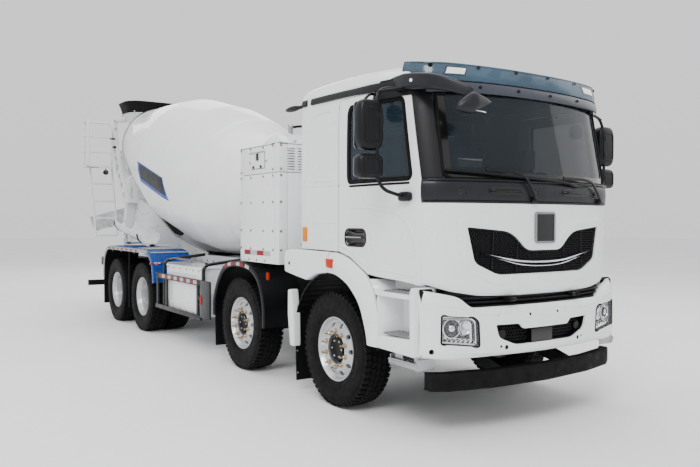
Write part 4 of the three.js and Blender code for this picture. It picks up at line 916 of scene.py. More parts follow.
# roof: superelliptic crown above the gutter
def roof_top(y):
    pts = [(-1.45, 2.94), (-1.2, 2.975), (-1.10, 3.0), (-.94, 3.040), (-.70, 3.080), (-.35, 3.103), (0, 3.112), (.3, 3.110), (.5, 3.098), (.7, 3.07)]
    for a, b in zip(pts, pts[1:]):
        if a[0] <= y <= b[0]:
            t = (y - a[0]) / (b[0] - a[0]); t = t * t * (3 - 2 * t) * 0.5 + t * 0.5
            return a[1] + (b[1] - a[1]) * t
    return pts[-1][1]
def roof():
    z0 = 2.9055
    base = plan_at(z0)
    full = base + [(-x, y) for x, y in base[-2:0:-1]]
    C = (0.0, -.30)
    def layer(off, dz):
        rings = []
        S = [math.sin(math.pi / 2 * (1 - k / 14)) for k in range(14)] + [0.0]
        S = [1 - (k / 14) ** 1.7 for k in range(15)]
        v, f = [], []
        for s in S:
            row = []
            for x, y in full:
                x_, y_ = C[0] + (x - C[0]) * s, C[1] + (y - C[1]) * s
                k = (1 - max(0.0, s) ** 5.5) ** (1 / 2.4)
                # the crown falls off a little towards the sides
                h = roof_top(y_) - dz - 0.012 * (abs(x_) / 1.1) ** 2
                row.append((x_ * (1 - off), C[1] + (y_ - C[1]) * (1 - off), z0 + (h - z0) * k))
            rings.append(row)
        return rings
    o, i = layer(0.0, 0), layer(0.03, 0.034)
    v, f = [], []
    n = len(full)
    for rings, flip in ((o, 0), (i, 1)):
        b = len(v)
        for row in rings[:-1]: v += row
        c = len(v); v.append(rings[-1][0])
        m = len(rings) - 1
        for k in range(m - 1):
            for q in range(n):
                t = (b + k * n + q, b + k * n + (q + 1) % n, b + (k + 1) * n + (q + 1) % n, b + (k + 1) * n + q)
                f.append(t[::-1] if flip else t)
        for q in range(n):
            t = (b + (m - 1) * n + q, b + (m - 1) * n + (q + 1) % n, c)
            f.append(t[::-1] if flip else t)
    b2 = (len(v)) // 2
    for q in range(n):
        j = (q + 1) % n
        f.append((q, j, b2 + j, b2 + q))
    p = Piece("cab_roof", "cab", "white_paint")
    p.add((v, f), "white")
    p.build(replaces="cab_roof", angle=40)
roof()

def ell(c, h, n=20, m_=12):
    v, f = [(c[0], c[1] - h[1], c[2])], []
    for j in range(1, m_):
        ph = -math.pi / 2 + math.pi * j / m_
        for i in range(n):
            t = 2 * math.pi * i / n
            v.append((c[0] + h[0] * math.cos(ph) * math.cos(t), c[1] + h[1] * math.sin(ph), c[2] + h[2] * math.cos(ph) * math.sin(t)))
    v.append((c[0], c[1] + h[1], c[2]))
    for i in range(n): f.append((0, 1 + i, 1 + (i + 1) % n)); f.append((len(v) - 1, len(v) - 1 - n + (i + 1) % n, len(v) - 1 - n + i))
    for j in range(m_ - 2):
        for i in range(n):
            a = 1 + j * n
            f.append((a + i, a + n + i, a + n + (i + 1) % n, a + (i + 1) % n))
    return v, f
def gutters():
    # drip moulding from the rear corner, widening into the dark head of the pillar
    p = Piece("roof_gutter_right", "cab", "black_plastic")
    line = dense([(.56, 2.874), (.30, 2.872), (-.2, 2.866), (-.6, 2.856), (-.9, 2.842), (-1.03, 2.835)], .04)
    v, f = [], []
    path = [SP(y, z) for y, z in line]
    k = len(path)
    for i, (q, n) in enumerate(path):
        t = i / (k - 1)
        w = 0.062 + 0.034 * max(0, (t - .55) / .45) ** 1.5
        for a, h in ((-w / 2, -.01), (-w / 2, .010), (-w / 2 + .008, .020), (w / 2 - .02, .016), (w / 2, .006), (w / 2, -.01)):
            v.append((q.x + n.x * h, q.y, q.z + a))
    for i in range(k - 1):
        for c in range(6): f.append((i * 6 + c, i * 6 + (c + 1) % 6, (i + 1) * 6 + (c + 1) % 6, (i + 1) * 6 + c))
    f += [tuple(range(5, -1, -1)), tuple((k - 1) * 6 + c for c in range(6))]
    p.add((v, f), "black")
    # dark cap wrapping the pillar head round to the windscreen
    def cap(u, w_):
        z = 2.745 + .155 * w_
        pl = [q for q in plan_at(z) if q[0] > 0.9 and q[1] < -.7 + .12 * (1 - w_)]
        s = u * (len(pl) - 1); i = min(int(s), len(pl) - 2); t = s - i
        x = pl[i][0] * (1 - t) + pl[i + 1][0] * t; y = pl[i][1] * (1 - t) + pl[i + 1][1] * t
        bulge = .012
        return (-(x + bulge * (1 - u)), y - bulge * u, z)
    p.add(slab(cap, 16, 6, lambda u, w_: (.022, .016, 0)), "black")
    # slender black arm behind the rear corner
    p.add(tube([(-1.10, .61, 2.868), (-1.14, .66, 2.868), (-1.15, .80, 2.868)], .018, 10, .03), "black")
    p.add(ell((-1.15, .83, 2.868), (.034, .150, .030)), "black")
    p.build(angle=35)
    q = Piece("roof_gutter_left", "cab", "black_plastic"); q.v, q.f, q.mi, q.mats = p.v, p.f, p.mi, p.mats
    q.build(mirror=True, angle=35)
gutters()

def door_trim(side):
    m = side == "left"
    def out(p, replaces=(), **k): p.build(replaces=replaces, mirror=m, **k)
    # glass
    p = Piece(f"door_glass_{side}", f"door_{side}", "window_glass")
    p.add(patch([(y, z) for y, z in WIN], SP, -.016, -.011, .07), "sideglass")
    out(p, f"door_glass_{side}", angle=40)
    p = Piece(f"door_seals_{side}", f"door_{side}", "black_plastic")
    inner = [(y + (-.675 - y) * .022, z + (2.4 - z) * .028) for y, z in WIN]
    p.add(sweep(on_side(inner, -.002, .05, True), flatbar(.040, .003, .012), True), "seal")
    # sill strip
    p.add(sweep(on_side([(-1.075, 2.035), (-.28, 2.035)], 0, .06), flatbar(.018, .004, .004)), "seal")
    # inner door card
    p.add(patch([(-1.14, 1.30), (-.60, 1.32), (-.30, 1.45), (-.15, 1.50), (-.15, 2.03), (-1.14, 2.03)], SP, -.060, -.036, .2), "interior")
    # handle: dark dished housing and the bright pull bar
    hz = 1.580
    ring = rounded(-.530, -.210, hz - .075, hz + .075, .058, 6)
    p.add(sweep(on_side(ring, 0, .03, True), bead(.016, .005), True), "black")
    def dish(u, v_):
        y = -.525 + .31 * u; z = hz - .07 + .14 * v_
        k = max(abs(u - .5) * 2, abs(v_ - .5) * 2)
        q, n = SP(y, z)
        return tuple(q + n * (-.006 - .026 * (1 - k ** 4)))
    p.add(slab(dish, 20, 12, lambda u, v_: (.004, 0, 0)), "gloss")
    out(p, angle=40)
    p = Piece(f"door_handle_{side}", f"door_{side}", "bright_chrome")
    pts = [SP(-.510, hz, -.012)[0], SP(-.49, hz, .010)[0], SP(-.24, hz, .010)[0], SP(-.222, hz, -.012)[0]]
    p.add(tube(pts, .013, 10, .02, section=[(a * 1.0, b * 1.0) for a, b in rounded(-.006, .006, -.010, .010, .004, 3)]), "gloss")
    p.add(sweep([SP(-.48 + .24 * k / 6, hz + .004, .0155) for k in range(7)], bead(.006, .003, .002)), "chrome")
    p.add(cyl(SP(-.20, hz - .1, -.004)[0], SP(-.20, hz - .1, .004)[0], .013, 20), "chrome")
    out(p, angle=40)
    # pressed lines of the door skin
    p = Piece(f"door_creases_{side}", f"door_{side}", "white_paint")
    curve = [(-.30, 1.845), (-.62, 1.842), (-.84, 1.815), (-.98, 1.765), (-1.07, 1.69), (-1.12, 1.60), (-1.14, 1.50)]
    p.add(sweep(on_side(catmull(curve, 6), 0, .05), bead(.026, .0070)), "white")
    low = [(-.14, 1.505), (-.30, 1.462), (-.44, 1.392), (-.56, 1.338), (-.75, 1.318), (-.95, 1.302), (-1.13, 1.285)]
    p.add(sweep(on_side(catmull(low, 6), 0, .05), bead(.020, .0055)), "white")
    out(p, angle=50)
    # rear quarter: embossed outline, marker, plug
    p = Piece(f"quarter_creases_{side}", "cab", "white_paint")
    em = round_poly([(.02, 2.75), (.30, 2.745), (.50, 2.62), (.535, 2.12), (.02, 2.10)], [.02, .10, .16, .05, .02], 6)
    p.add(sweep(on_side(em, 0, .06, True), bead(.026, .0075), True), "white")
    p.add(sweep(on_side([(.60, 1.72), (-.08, 1.71)], 0, .08), bead(.018, .0055)), "white")
    out(p, angle=50)
    p = Piece(f"shut_lines_and_crease_shade_{side}", "cab", "black_plastic")
    dl = [q for q in door_outline(.0025) if q[1] < 2.80]
    k0 = [(-.0975, 2.80), (-.0975, 1.4495)]
    p.add(sweep(on_side(k0, 0, .06), flatbar(.0065, .0006, .012)), "gap")
    p.add(sweep(on_side([(-.0975, 1.4495), (-.291, 1.4045), (-.447, 1.3265), (-.560, 1.2695), (-.700, 1.2545), (-.947, 1.2395), (-1.186, 1.2145)], 0, .05), flatbar(.0065, .0006, .012)), "gap")
    # belt line and the rear corner's fold, drawn as thin dark lines: painted shade in the creases
    p.add(sweep(on_side([(.600, 2.045), (-.10, 2.045)], 0, .06), flatbar(.0045, .0005, .003)), "gap")
    p.add(sweep(on_side([(.625, 1.24), (.625, 2.86)], 0, .08), flatbar(.0045, .0005, .003)), "gap")
    out(p, angle=50)
    p = Piece(f"side_marker_{side}", "cab", "lens_amber")
    p.add(patch(rounded(.455, .535, 1.525, 1.665, .012, 3), SP, -.002, .010, .02), "amber")
    out(p, angle=30, bevel=.003)
    p = Piece(f"quarter_plug_{side}", "cab", "black_plastic")
    c, n = SP(.585, 1.49, 0)
    p.add(lathe([(0, 0), (.016, 0), (.014, .004), (0, .006)], c, n, 20), "black")
    out(p, angle=30)
for s_ in ("right", "left"): door_trim(s_)

# ------------------------------------------------------------------ windscreen, cowl, wipers, visor
def screen():
    p = Piece("windscreen", "cab", "window_glass")
    W = 1.004
    def ws(u, v_):
        z = 2.064 + .774 * v_; x = -W + 2 * W * u
        return (x, front_y(x, z, .010), z)
    p.add(slab(ws, 60, 12, lambda u, v_: (0, .006, 0)), "glass")
    p.build(replaces="windscreen", angle=50)
    q = Piece("windscreen_surround", "cab", "black_plastic")
    edge = round_poly([(-.985, 2.075), (.985, 2.075), (.965, 2.822), (-.965, 2.822)], .09, 6)
    q.add(sweep([FP(x, z, -.009) for x, z in dense(edge, .05, True)], [(-.052, 0), (-.052, .0015), (.03, .0015), (.03, 0)], True), "gloss")
    q.add(sweep([FP(x, z, 0) for x, z in dense([(x * 1.018, 2.4485 + (z - 2.4485) * 1.03) for x, z in edge], .05, True)], bead(.026, .006, .014), True), "seal")
    # black band below the visor, partly over the real black header: painted shadow of the visor
    q.add(slab(lambda u, v_: (-1.0 + 2 * u, front_y(-1.0 + 2 * u, 2.82 + .085 * v_) - .006, 2.82 + .085 * v_), 40, 3, lambda u, v_: (0, .01, 0)), "black")
    # sensor housing behind the glass
    q.add(box(-.06, .06, -1.30, -1.22, 2.18, 2.34), "interior")
    q.build(angle=35)
    c = Piece("windscreen_card", "cab", "lens_clear")
    c.add(slab(lambda u, v_: (-.86 + .22 * u, front_y(-.86 + .22 * u, 2.16, .026), 2.16 + .07 * v_), 4, 2, lambda u, v_: (0, .002, 0)), "refl")
    c.build(angle=50)
screen()

def cowl():
    # black plenum panel below the glass, with grab handles and round plugs
    p = Piece("cowl_panel", "cab", "black_plastic")
    def fn(u, v_):
        x = -1.124 + 2.248 * u; z = 1.8775 + .186 * v_
        k = math.sin(math.pi * min(1, max(0, (v_ - .05) / .9)))
        q, n = FP(x, z, .004 + .010 * k ** .6)
        return tuple(q)
    p.add(slab(fn, 96, 14, lambda u, v_: (0, .024, 0)), "cowl")
    # upper lip and lower shadow line
    p.add(sweep(on_front([(-1.10, 2.058), (1.10, 2.058)], .010, .05), bead(.016, .010)), "cowl")
    p.add(sweep(on_front([(-1.118, 1.892), (1.118, 1.892)], .006, .05), bead(.010, .005)), "seal")
    for a, b in ((-.62, -.28), (.22, .58)):
        # two recessed grab handles
        p.add(patch(rounded(a, b, 1.945, 2.005, .028, 5), FP, .0, .0165, .05), "gloss")
        pts = [FP(a + .01, 1.975, .012)[0], FP(a + .03, 1.975, .045)[0], FP(b - .03, 1.975, .045)[0], FP(b - .01, 1.975, .012)[0]]
        p.add(tube(pts, .012, 10, .03), "black")
    for x0 in (-.86, -.12, .70):
        c, n = FP(x0, 1.962, .010)
        p.add(lathe([(0, .004), (.022, .004), (.024, .008), (.030, .009), (.034, .004), (.034, -.01)], c, n, 28), "gloss")
    p.build(angle=35)
    # wipers
    w = Piece("wipers", "cab", "black_plastic")
    for arm, a_, b_ in ((((-.150, 1.905), (-.190, 1.985), (-.262, 2.090), (-.42, 2.128), (-.66, 2.130)), (-.985, 2.125), (-.16, 2.078)),
                        (((.800, 1.905), (.745, 1.975), (.640, 2.070), (.50, 2.090), (.20, 2.092)), (-.36, 2.092), (.60, 2.040))):
        piv, n = FP(*arm[0], .02)
        w.add(lathe([(0, -.02), (.024, -.02), (.028, .0), (.024, .018), (0, .022)], piv, n, 20), "black")
        w.add(tube([FP(x, z, .040)[0] for x, z in arm], .010, 8, .05, section=rounded(-.006, .006, -.013, .013, .004, 2)), "black")
        path = [FP(a_[0] + (b_[0] - a_[0]) * k / 20, a_[1] + (b_[1] - a_[1]) * k / 20, .024) for k in range(21)]
        w.add(sweep(path, [(-.004, -.024), (-.013, .006), (-.008, .018), (.008, .018), (.013, .006), (.004, -.024)]), "black")
        w.add(sweep(path, [(-.0015, -.03), (-.0015, -.022), (.0015, -.022), (.0015, -.03)]), "seal")
    w.build(angle=35)
cowl()

def visor():
    half = catmull([(-1.098, -.930), (-1.088, -1.010), (-1.060, -1.090), (-1.012, -1.152), (-.945, -1.192), (-.86, -1.217), (-.76, -1.238), (-.64, -1.256), (-.50, -1.274), (-.26, -1.290), (0, -1.295)], 6)
    line = half + [(-x, y) for x, y in half[-2::-1]]
    L = [0]
    for a, b in zip(line, line[1:]): L.append(L[-1] + math.dist(a, b))
    def at(u):
        s = u * L[-1]
        for i in range(len(line) - 1):
            if L[i] <= s <= L[i + 1] + 1e-9:
                t = (s - L[i]) / max(1e-9, L[i + 1] - L[i])
                x = line[i][0] + (line[i + 1][0] - line[i][0]) * t; y = line[i][1] + (line[i + 1][1] - line[i][1]) * t
                d = Vector((line[i + 1][0] - line[i][0], line[i + 1][1] - line[i][1])).normalized()
                return x, y, Vector((d.y, -d.x, 0))
        return line[-1][0], line[-1][1], Vector((-1, 0, 0))
    def u_of(x):
        lo, hi = 0.0, 1.0
        for _ in range(40):
            m_ = (lo + hi) / 2
            if at(m_)[0] < x: lo = m_
            else: hi = m_
        return (lo + hi) / 2
    def top(y): return 3.002 - .004 * max(0, min(1, (y + 1.295) / .13)) + .030 * max(0, min(1, (y + 1.15) / .20))
    def bot(y): return 2.866 - .016 * max(0, min(1, (y + 1.295) / .13)) + .060 * max(0, min(1, (y + 1.15) / .20))
    def pt(u, t, h=0.0, low=False):
        x, y, n = at(u)
        a, b = (bot(y), top(y)) if not low else (bot(y) - .090, bot(y) - .003)
        z = a + (b - a) * t
        lean = (3.03 - z) * .30
        nn = (n + Vector((0, 0, .30))).normalized()
        return Vector((x, y, z)) + n * lean * .55 + nn * (h + .010 * math.sin(math.pi * t) ** .7), nn
    g = Piece("sun_visor", "cab", "visor_tint")
    g.add(slab(lambda u, v_: tuple(pt(u, v_)[0]), 150, 10, lambda u, v_: tuple(pt(u, v_)[1] * -.006)), "visor")
    g.add(sweep([pt(k / 150, 1.0, -.002) for k in range(151)], bead(.016, .008, .008)), "visor")
    for u in (.0015, .9985): g.add(sweep([(pt(u, k / 8, -.002)[0], pt(u, .5)[1]) for k in range(9)], bead(.012, .006, .008)), "visor")
    g.build(replaces="sun_visor", angle=50)
    s = Piece("visor_lower_strip", "cab", "visor_tint")
    ua, ub = u_of(-1.03), u_of(1.03)
    s.add(slab(lambda u, v_: tuple(pt(ua + (ub - ua) * u, v_, .003, True)[0]), 130, 6, lambda u, v_: tuple(pt(ua + (ub - ua) * u, v_, 0, True)[1] * -.012)), "head")
    s.build(angle=50)
    k_ = Piece("visor_seams", "cab", "black_plastic")
    k_.add(sweep([pt(ua + (ub - ua) * k / 120, 0.0, .004) for k in range(121)], bead(.008, .004, .006)), "seal")
    # corner boss on each end and the brackets seen through the tint
    for sg in (-1, 1):
        u = u_of(sg * 1.01)
        c, n = pt(u, .86, .004); k_.add(bolt(c, n, .014, .008), "seal")
        for xx in (-.74, -.37, .0, .37, .74):
            if sg < 0:
                x, y, n = at(u_of(xx))
                k_.add(px([(y + .03, 2.885), (y + .010, 3.0), (y + .045, 3.0), (y + .16, 2.93), (y + .16, 2.885)], xx - .035, xx + .035), "head")
    for x in (-.60, -.19, .21, .60):
        for t, low in ((.86, False), (.50, True)):
            c, n = pt(u_of(x), t, .010, low); k_.add(bolt(c, n, .0115, .010), "gloss")
    # dark underside back to the header
    k_.add(slab(lambda u, v_: (-.975 + 1.95 * u, (at(u_of(-.975 + 1.95 * u))[1] - .035) * (1 - v_) + (front_y(-.975 + 1.95 * u, 2.84) - .004) * v_, 2.815 + .02 * v_), 60, 3, lambda u, v_: (0, 0, .006)), "black")
    k_.build(angle=35)
    l = Piece("visor_lamps", "cab", "lens_clear")
    f_ = Piece("visor_lamp_frames", "cab", "black_plastic")
    for x0, x1 in ((-.90, -.735), (.735, .90)):
        q = 1 if x0 > 0 else -1
        def lamp(u, v_, x0=x0, x1=x1, q=q):
            x = x0 + (x1 - x0) * u + q * .022 * (.5 - v_)
            return tuple(pt(u_of(x), .38 + .36 * v_, .0035)[0])
        l.add(slab(lamp, 10, 3, lambda u, v_: (0, .004, 0)), "lampwhite")
        def frame_(u, v_, x0=x0, x1=x1, q=q):
            x = x0 - .012 + (x1 - x0 + .024) * u + q * .022 * (.5 - v_)
            return tuple(pt(u_of(x), .30 + .52 * v_, .0015)[0])
        f_.add(slab(frame_, 10, 3, lambda u, v_: (0, .003, 0)), "head")
    l.build(angle=35); f_.build(angle=35)
visor()

# ------------------------------------------------------------------ front flap with its grille
def interp(tab, q):
    for a, b in zip(tab, tab[1:]):
        if a[0] <= q <= b[0]:
            t = (q - a[0]) / (b[0] - a[0]) if b[0] > a[0] else 0
            return a[1] + (b[1] - a[1]) * t
    return tab[-1][1] if q > tab[-1][0] else tab[0][1]
def smooth_tab(tab, q, w=0.03):
    return sum(interp(tab, q + w * k / 3) for k in range(-3, 4)) / 7
def sym(pts):
    """mirror a half outline given from the centre's top round to its bottom"""
    return pts + [(-x, z) for x, z in pts[::-1]]
GRILLE = round_poly(sym([(.20, 1.494), (.375, 1.650), (.825, 1.690), (.752, 1.385), (.525, 1.283)]), [.05, .10, .03, .05, .06, .06, .05, .03, .10, .05], 6)
def grow(pts, k):
    out = []
    n = len(pts)
    for i in range(n):
        a = Vector(pts[i - 1]); b = Vector(pts[(i + 1) % n]); t = (b - a)
        if t.length < 1e-9: out.append(pts[i]); continue
        t.normalize(); out.append((pts[i][0] + t.y * k, pts[i][1] - t.x * k))
    return out
_area = sum(a[0] * b[1] - b[0] * a[1] for a, b in zip(GRILLE, GRILLE[1:] + GRILLE[:1]))
GS = 1 if _area > 0 else -1

def front_flap():
    def bot(x): return smooth_tab([(0, 1.116), (.35, 1.116), (.70, 1.128), (.94, 1.168), (1.06, 1.206), (1.128, 1.236)], abs(x), .05)
    def fn(u, v_):
        x = -1.126 + 2.252 * u
        z = bot(x) + (1.872 - bot(x)) * v_
        q, n = FP(x, z, 0)
        # the lower edge tucks under
        k = max(0, (0.06 - v_ * (1.872 - bot(x))) / 0.06)
        return (q.x, q.y + .018 * k * k, q.z)
    o = solid_from(slab(fn, 110, 34, lambda u, v_: (0, .030, 0)), "front_flap")
    boolean(o, [solid_from(py(GRILLE, -1.7, -1.2))])
    panel(o, "front_flap_skin", "front_flap", "white", "white_paint", "front_flap", bev=.004)
    p = Piece("front_flap_lip", "front_flap", "white_paint")
    # pressed lip round the grille
    rim = grow(GRILLE, GS * .040)
    p.add(sweep([FP(x, z, 0) for x, z in rim], bead(.085, .0065, .003, 10), True), "white")
    p.add(sweep([FP(x, z, 0) for x, z in GRILLE], [(-.008, -.045), (-.008, .003), (0, .006), (.008, .003), (.008, -.045)], True), "white")
    p.build(angle=60)
    g = Piece("grille_mesh", "front_flap", "black_plastic")
    g.add(patch(grow(GRILLE, GS * .01), FP, -.036, -.030, .05), "honey")
    edge = grow(GRILLE, -GS * .012)
    g.add(sweep([FP(x, z, -.026) for x, z in edge], bead(.022, .016, .006), True), "black")
    # real honeycomb cells standing proud of the cloth
    hx, hz, r = .0245, .0212, .0135
    inside = lambda x, z: point_in(edge, x, z)
    rows = int(.42 / hz)
    for j in range(rows):
        for i in range(-36, 37):
            x = i * hx + (hx / 2 if j % 2 else 0); z = 1.288 + j * hz
            if not inside(x, z) : continue
            q, n = FP(x, z, -.030)
            v, f = [], []
            for k in range(6):
                t = math.pi / 3 * k + math.pi / 6
                for rr, h in ((r, 0), (r, .010), (r * .80, .010), (r * .74, 0)):
                    v.append((q.x + rr * math.cos(t), q.y - h, q.z + rr * math.sin(t)))
            for k in range(6):
                a, b = 4 * k, 4 * ((k + 1) % 6)
                for c in range(3): f.append((a + c, b + c, b + c + 1, a + c + 1))
            g.add((v, f), "black")
    # upright ribs
    for x in (-.56, -.30, .28, .55):
        zs = [z for z in [1.285 + .01 * k for k in range(42)] if inside(x + (z - 1.5) * -.06 * (1 if x > 0 else -1), z)]
        if zs:
            a, b = min(zs), max(zs)
            path = [FP(x - (z - 1.5) * .06 * (1 if x > 0 else -1), z, -.022) for z in (a, a + (b - a) / 3, a + 2 * (b - a) / 3, b)]
            g.add(sweep(path, bead(.014, .010, .008)), "black")
    g.build(angle=35)
    # double bright blade
    c = Piece("grille_blade", "front_flap", "bright_chrome")
    up = catmull([(-.71, 1.474), (-.52, 1.440), (-.335, 1.407), (-.17, 1.392), (0, 1.388), (.17, 1.392), (.335, 1.407), (.52, 1.440), (.72, 1.474)], 8)
    n = len(up)
    path = [FP(x, z, -.004) for x, z in up]
    v, f = [], []
    for i, (q, nn) in enumerate(path):
        t = 1 - abs(2 * i / (n - 1) - 1); w = .003 + .0085 * min(1, t * 2.4)
        for a, h in ((-1, 0), (-.55, .011), (.1, .017), (.8, .010), (1, 0), (0, -.01)):
            v.append((q.x, q.y - h, q.z + a * w))
    for i in range(n - 1):
        for k in range(6): f.append((i * 6 + k, i * 6 + (k + 1) % 6, (i + 1) * 6 + (k + 1) % 6, (i + 1) * 6 + k))
    f += [tuple(range(5, -1, -1)), tuple((n - 1) * 6 + k for k in range(6))]
    c.add((v, f), "chrome")
    lo = catmull([(-.60, 1.437), (-.46, 1.408), (-.32, 1.378), (-.17, 1.360), (0, 1.355), (.17, 1.360), (.32, 1.378), (.46, 1.408), (.60, 1.437)], 8)
    path = [FP(x, z, -.006) for x, z in lo]
    v, f = [], []
    n = len(lo)
    for i, (q, nn) in enumerate(path):
        t = 1 - abs(2 * i / (n - 1) - 1); w = .002 + .0060 * min(1, t * 2.0)
        for a, h in ((-1, 0), (-.5, .010), (.2, .013), (1, 0), (0, -.01)):
            v.append((q.x, q.y - h, q.z + a * w))
    for i in range(n - 1):
        for k in range(5): f.append((i * 5 + k, i * 5 + (k + 1) % 5, (i + 1) * 5 + (k + 1) % 5, (i + 1) * 5 + k))
    f += [tuple(range(4, -1, -1)), tuple((n - 1) * 5 + k for k in range(5))]
    c.add((v, f), "chrome")
    # frame of the blank badge plate
    out = rounded(-.115, .115, 1.552, 1.797, .016, 5)
    c.add(sweep([FP(x, z, .004) for x, z in out], flatbar(.018, .014, .006), True), "motor")
    c.build(angle=40)
    b = Piece("badge_plate", "front_flap", "black_plastic")
    b.add(patch(rounded(-.112, .112, 1.555, 1.794, .014, 5), FP, -.002, .010, .04), "gloss")
    b.build(angle=40)
def point_in(poly, x, y):
    c = False
    for i in range(len(poly)):
        x1, y1 = poly[i - 1]; x2, y2 = poly[i]
        if (y1 > y) != (y2 > y) and x < (x2 - x1) * (y - y1) / (y2 - y1) + x1: c = not c
    return c
front_flap()

# ------------------------------------------------------------------ bumper
BOUT = catmull([(0, -1.5), (.3, -1.485), (.584, -1.455), (.9, -1.415), (1.061, -1.370), (1.150, -1.312), (1.196, -1.255)], 6)
def bump_top(x): return smooth_tab([(0, 1.034), (.775, 1.034), (.885, 1.118), (.96, 1.140), (1.2, 1.188)], abs(x), .030)
def bump_bot(x): return smooth_tab([(0, .635), (1.0, .640), (1.2, .660)], abs(x), .05)
def BPt(x, z, h=0.0):
    y = lerp_on(BOUT, 0, 1, min(abs(x), 1.1955))
    t = bump_top(x) - z
    y += .034 * max(0, (.12 - t) / .12) ** 2 + .010 * ((z - .85) / .25) ** 2
    b = z - bump_bot(x)
    y += .014 * max(0, (.04 - b) / .04) ** 2
    e = .01
    dy = (lerp_on(BOUT, 0, 1, min(abs(x) + e, 1.1955)) - lerp_on(BOUT, 0, 1, max(abs(x) - e, 0))) / (2 * e)
    n = Vector((math.copysign(dy, x), -1, 0)).normalized()
    if n.y > 0: n = -n
    n = Vector((n.x, n.y, 0))
    return Vector((x, y, z)) + n * h, n
LGRILLE = round_poly(sym([(.275, .842), (.315, .886), (.560, .889), (.530, .782), (.350, .714)]), [.02, .02, .015, .04, .04, .04, .04, .015, .02, .02], 4)
HEAD = round_poly([(-1.068, .765), (-.722, .722), (-.735, .925), (-.775, .962), (-1.064, .992)], [.02, .025, .03, .03, .02], 4)
def bumper():
    def fn(u, v_):
        s = 2 * u - 1
        x = 1.1955 * (s * (1.0 + .0 * abs(s)))
        return tuple(BPt(x, bump_bot(x) + (bump_top(x) - bump_bot(x)) * v_)[0])
    def off(u, v_):
        x = 1.1955 * (2 * u - 1)
        return tuple(-BPt(x, .9)[1] * .040)
    o = solid_from(slab(fn, 120, 26, off), "bumper")
    cs = [py(LGRILLE, -1.7, -1.2), py(HEAD, -1.7, -1.30), py([(-x, z) for x, z in HEAD[::-1]], -1.7, -1.30)]
    boolean(o, [solid_from(c) for c in cs])
    hv, hf = [], []
    for x, z, r in [(-.532, .972, .0125), (-.19, .955, .0135), (.15, .958, .0135), (.505, .974, .0125), (-.505, .709, .012), (-.448, .700, .019), (.44, .704, .019), (.495, .714, .012), (-1.13, .705, .022), (1.13, .705, .022)]:
        q, n = BPt(x, z, .03)
        v, f = cyl(q, q - n * .09, r, 18)
        k = len(hv); hv += v; hf += [tuple(i + k for i in t) for t in f]
    boolean(o, [solid_from((hv, hf))])
    panel(o, "bumper_skin", "chassis", "white", "white_paint", "bumper", bev=.004)
    k = Piece("bumper_inner", "chassis", "black_plastic")
    # dark backing behind the openings and louvre of the upper slot
    k.add(slab(lambda u, v_: (-.62 + 1.24 * u, BPt(-.62 + 1.24 * u, .8, -.075)[0].y, .69 + .22 * v_), 40, 4, lambda u, v_: (0, .01, 0)), "honey")
    for z in (1.005, 1.04, 1.075, 1.108):
        k.add(slab(lambda u, v_, z=z: (-.93 + 1.86 * u, front_y(-.93 + 1.86 * u, 1.5) + .012 + .03 * v_, z + .012 * v_), 40, 2, lambda u, v_: (0, 0, .006)), "black")
    k.add(slab(lambda u, v_: (-.96 + 1.92 * u, front_y(-.96 + 1.92 * u, 1.5) + .065, .96 + .20 * v_), 40, 3, lambda u, v_: (0, .01, 0)), "black")
    # honeycomb of the lower opening
    hx, hz, r = .030, .026, .0165
    for j in range(9):
        for i in range(-22, 23):
            x = i * hx + (hx / 2 if j % 2 else 0); z = .705 + j * hz
            if not point_in(LGRILLE, x, z) or -.185 < x < .105: continue
            q, n = BPt(x, z, -.070)
            v, f = [], []
            for m in range(6):
                t = math.pi / 3 * m + math.pi / 6
                for rr, h in ((r, 0), (r, .014), (r * .82, .014), (r * .76, 0)):
                    v.append((q.x + rr * math.cos(t), q.y - h, q.z + rr * math.sin(t)))
            for m in range(6):
                a, b = 4 * m, 4 * ((m + 1) % 6)
                for c in range(3): f.append((a + c, b + c, b + c + 1, a + c + 1))
            k.add((v, f), "black")
    k.add(sweep([BPt(x, z, -.030) for x, z in LGRILLE], [(-.003, -.05), (-.003, .012), (.004, .012), (.004, -.05)], True), "black")
    k.add(px(rounded(-1.476, -1.40, .706, .830, .012, 4), -.165, .092), "gloss")
    for x in (-.47, .47):
        q, n = BPt(x, .805, -.05)
        k.add(lathe([(0, .018), (.036, .016), (.042, .008), (.042, -.03)], q, n, 32), "black")
    k.add(box(-1.0, 1.0, -1.385, -1.33, .68, .72), "chassis")
    # dark cups in the tow and fixing holes: painted shade inside the holes
    for x, z, r in [(-.532, .972, .0125), (-.19, .955, .0135), (.15, .958, .0135), (.505, .974, .0125), (-.505, .709, .012), (-.448, .700, .019), (.44, .704, .019), (.495, .714, .012)]:
        q, n = BPt(x, z, -.003)
        k.add(lathe([(0, 0), (r - .0008, 0), (r - .0008, -.020), (0, -.020)], q, n, 18), "seal")
    k.add(box(-.62, -.56, -1.40, -1.15, .68, 1.0), "chassis"); k.add(box(.56, .62, -1.40, -1.15, .68, 1.0), "chassis")
    k.build(angle=35)
bumper()
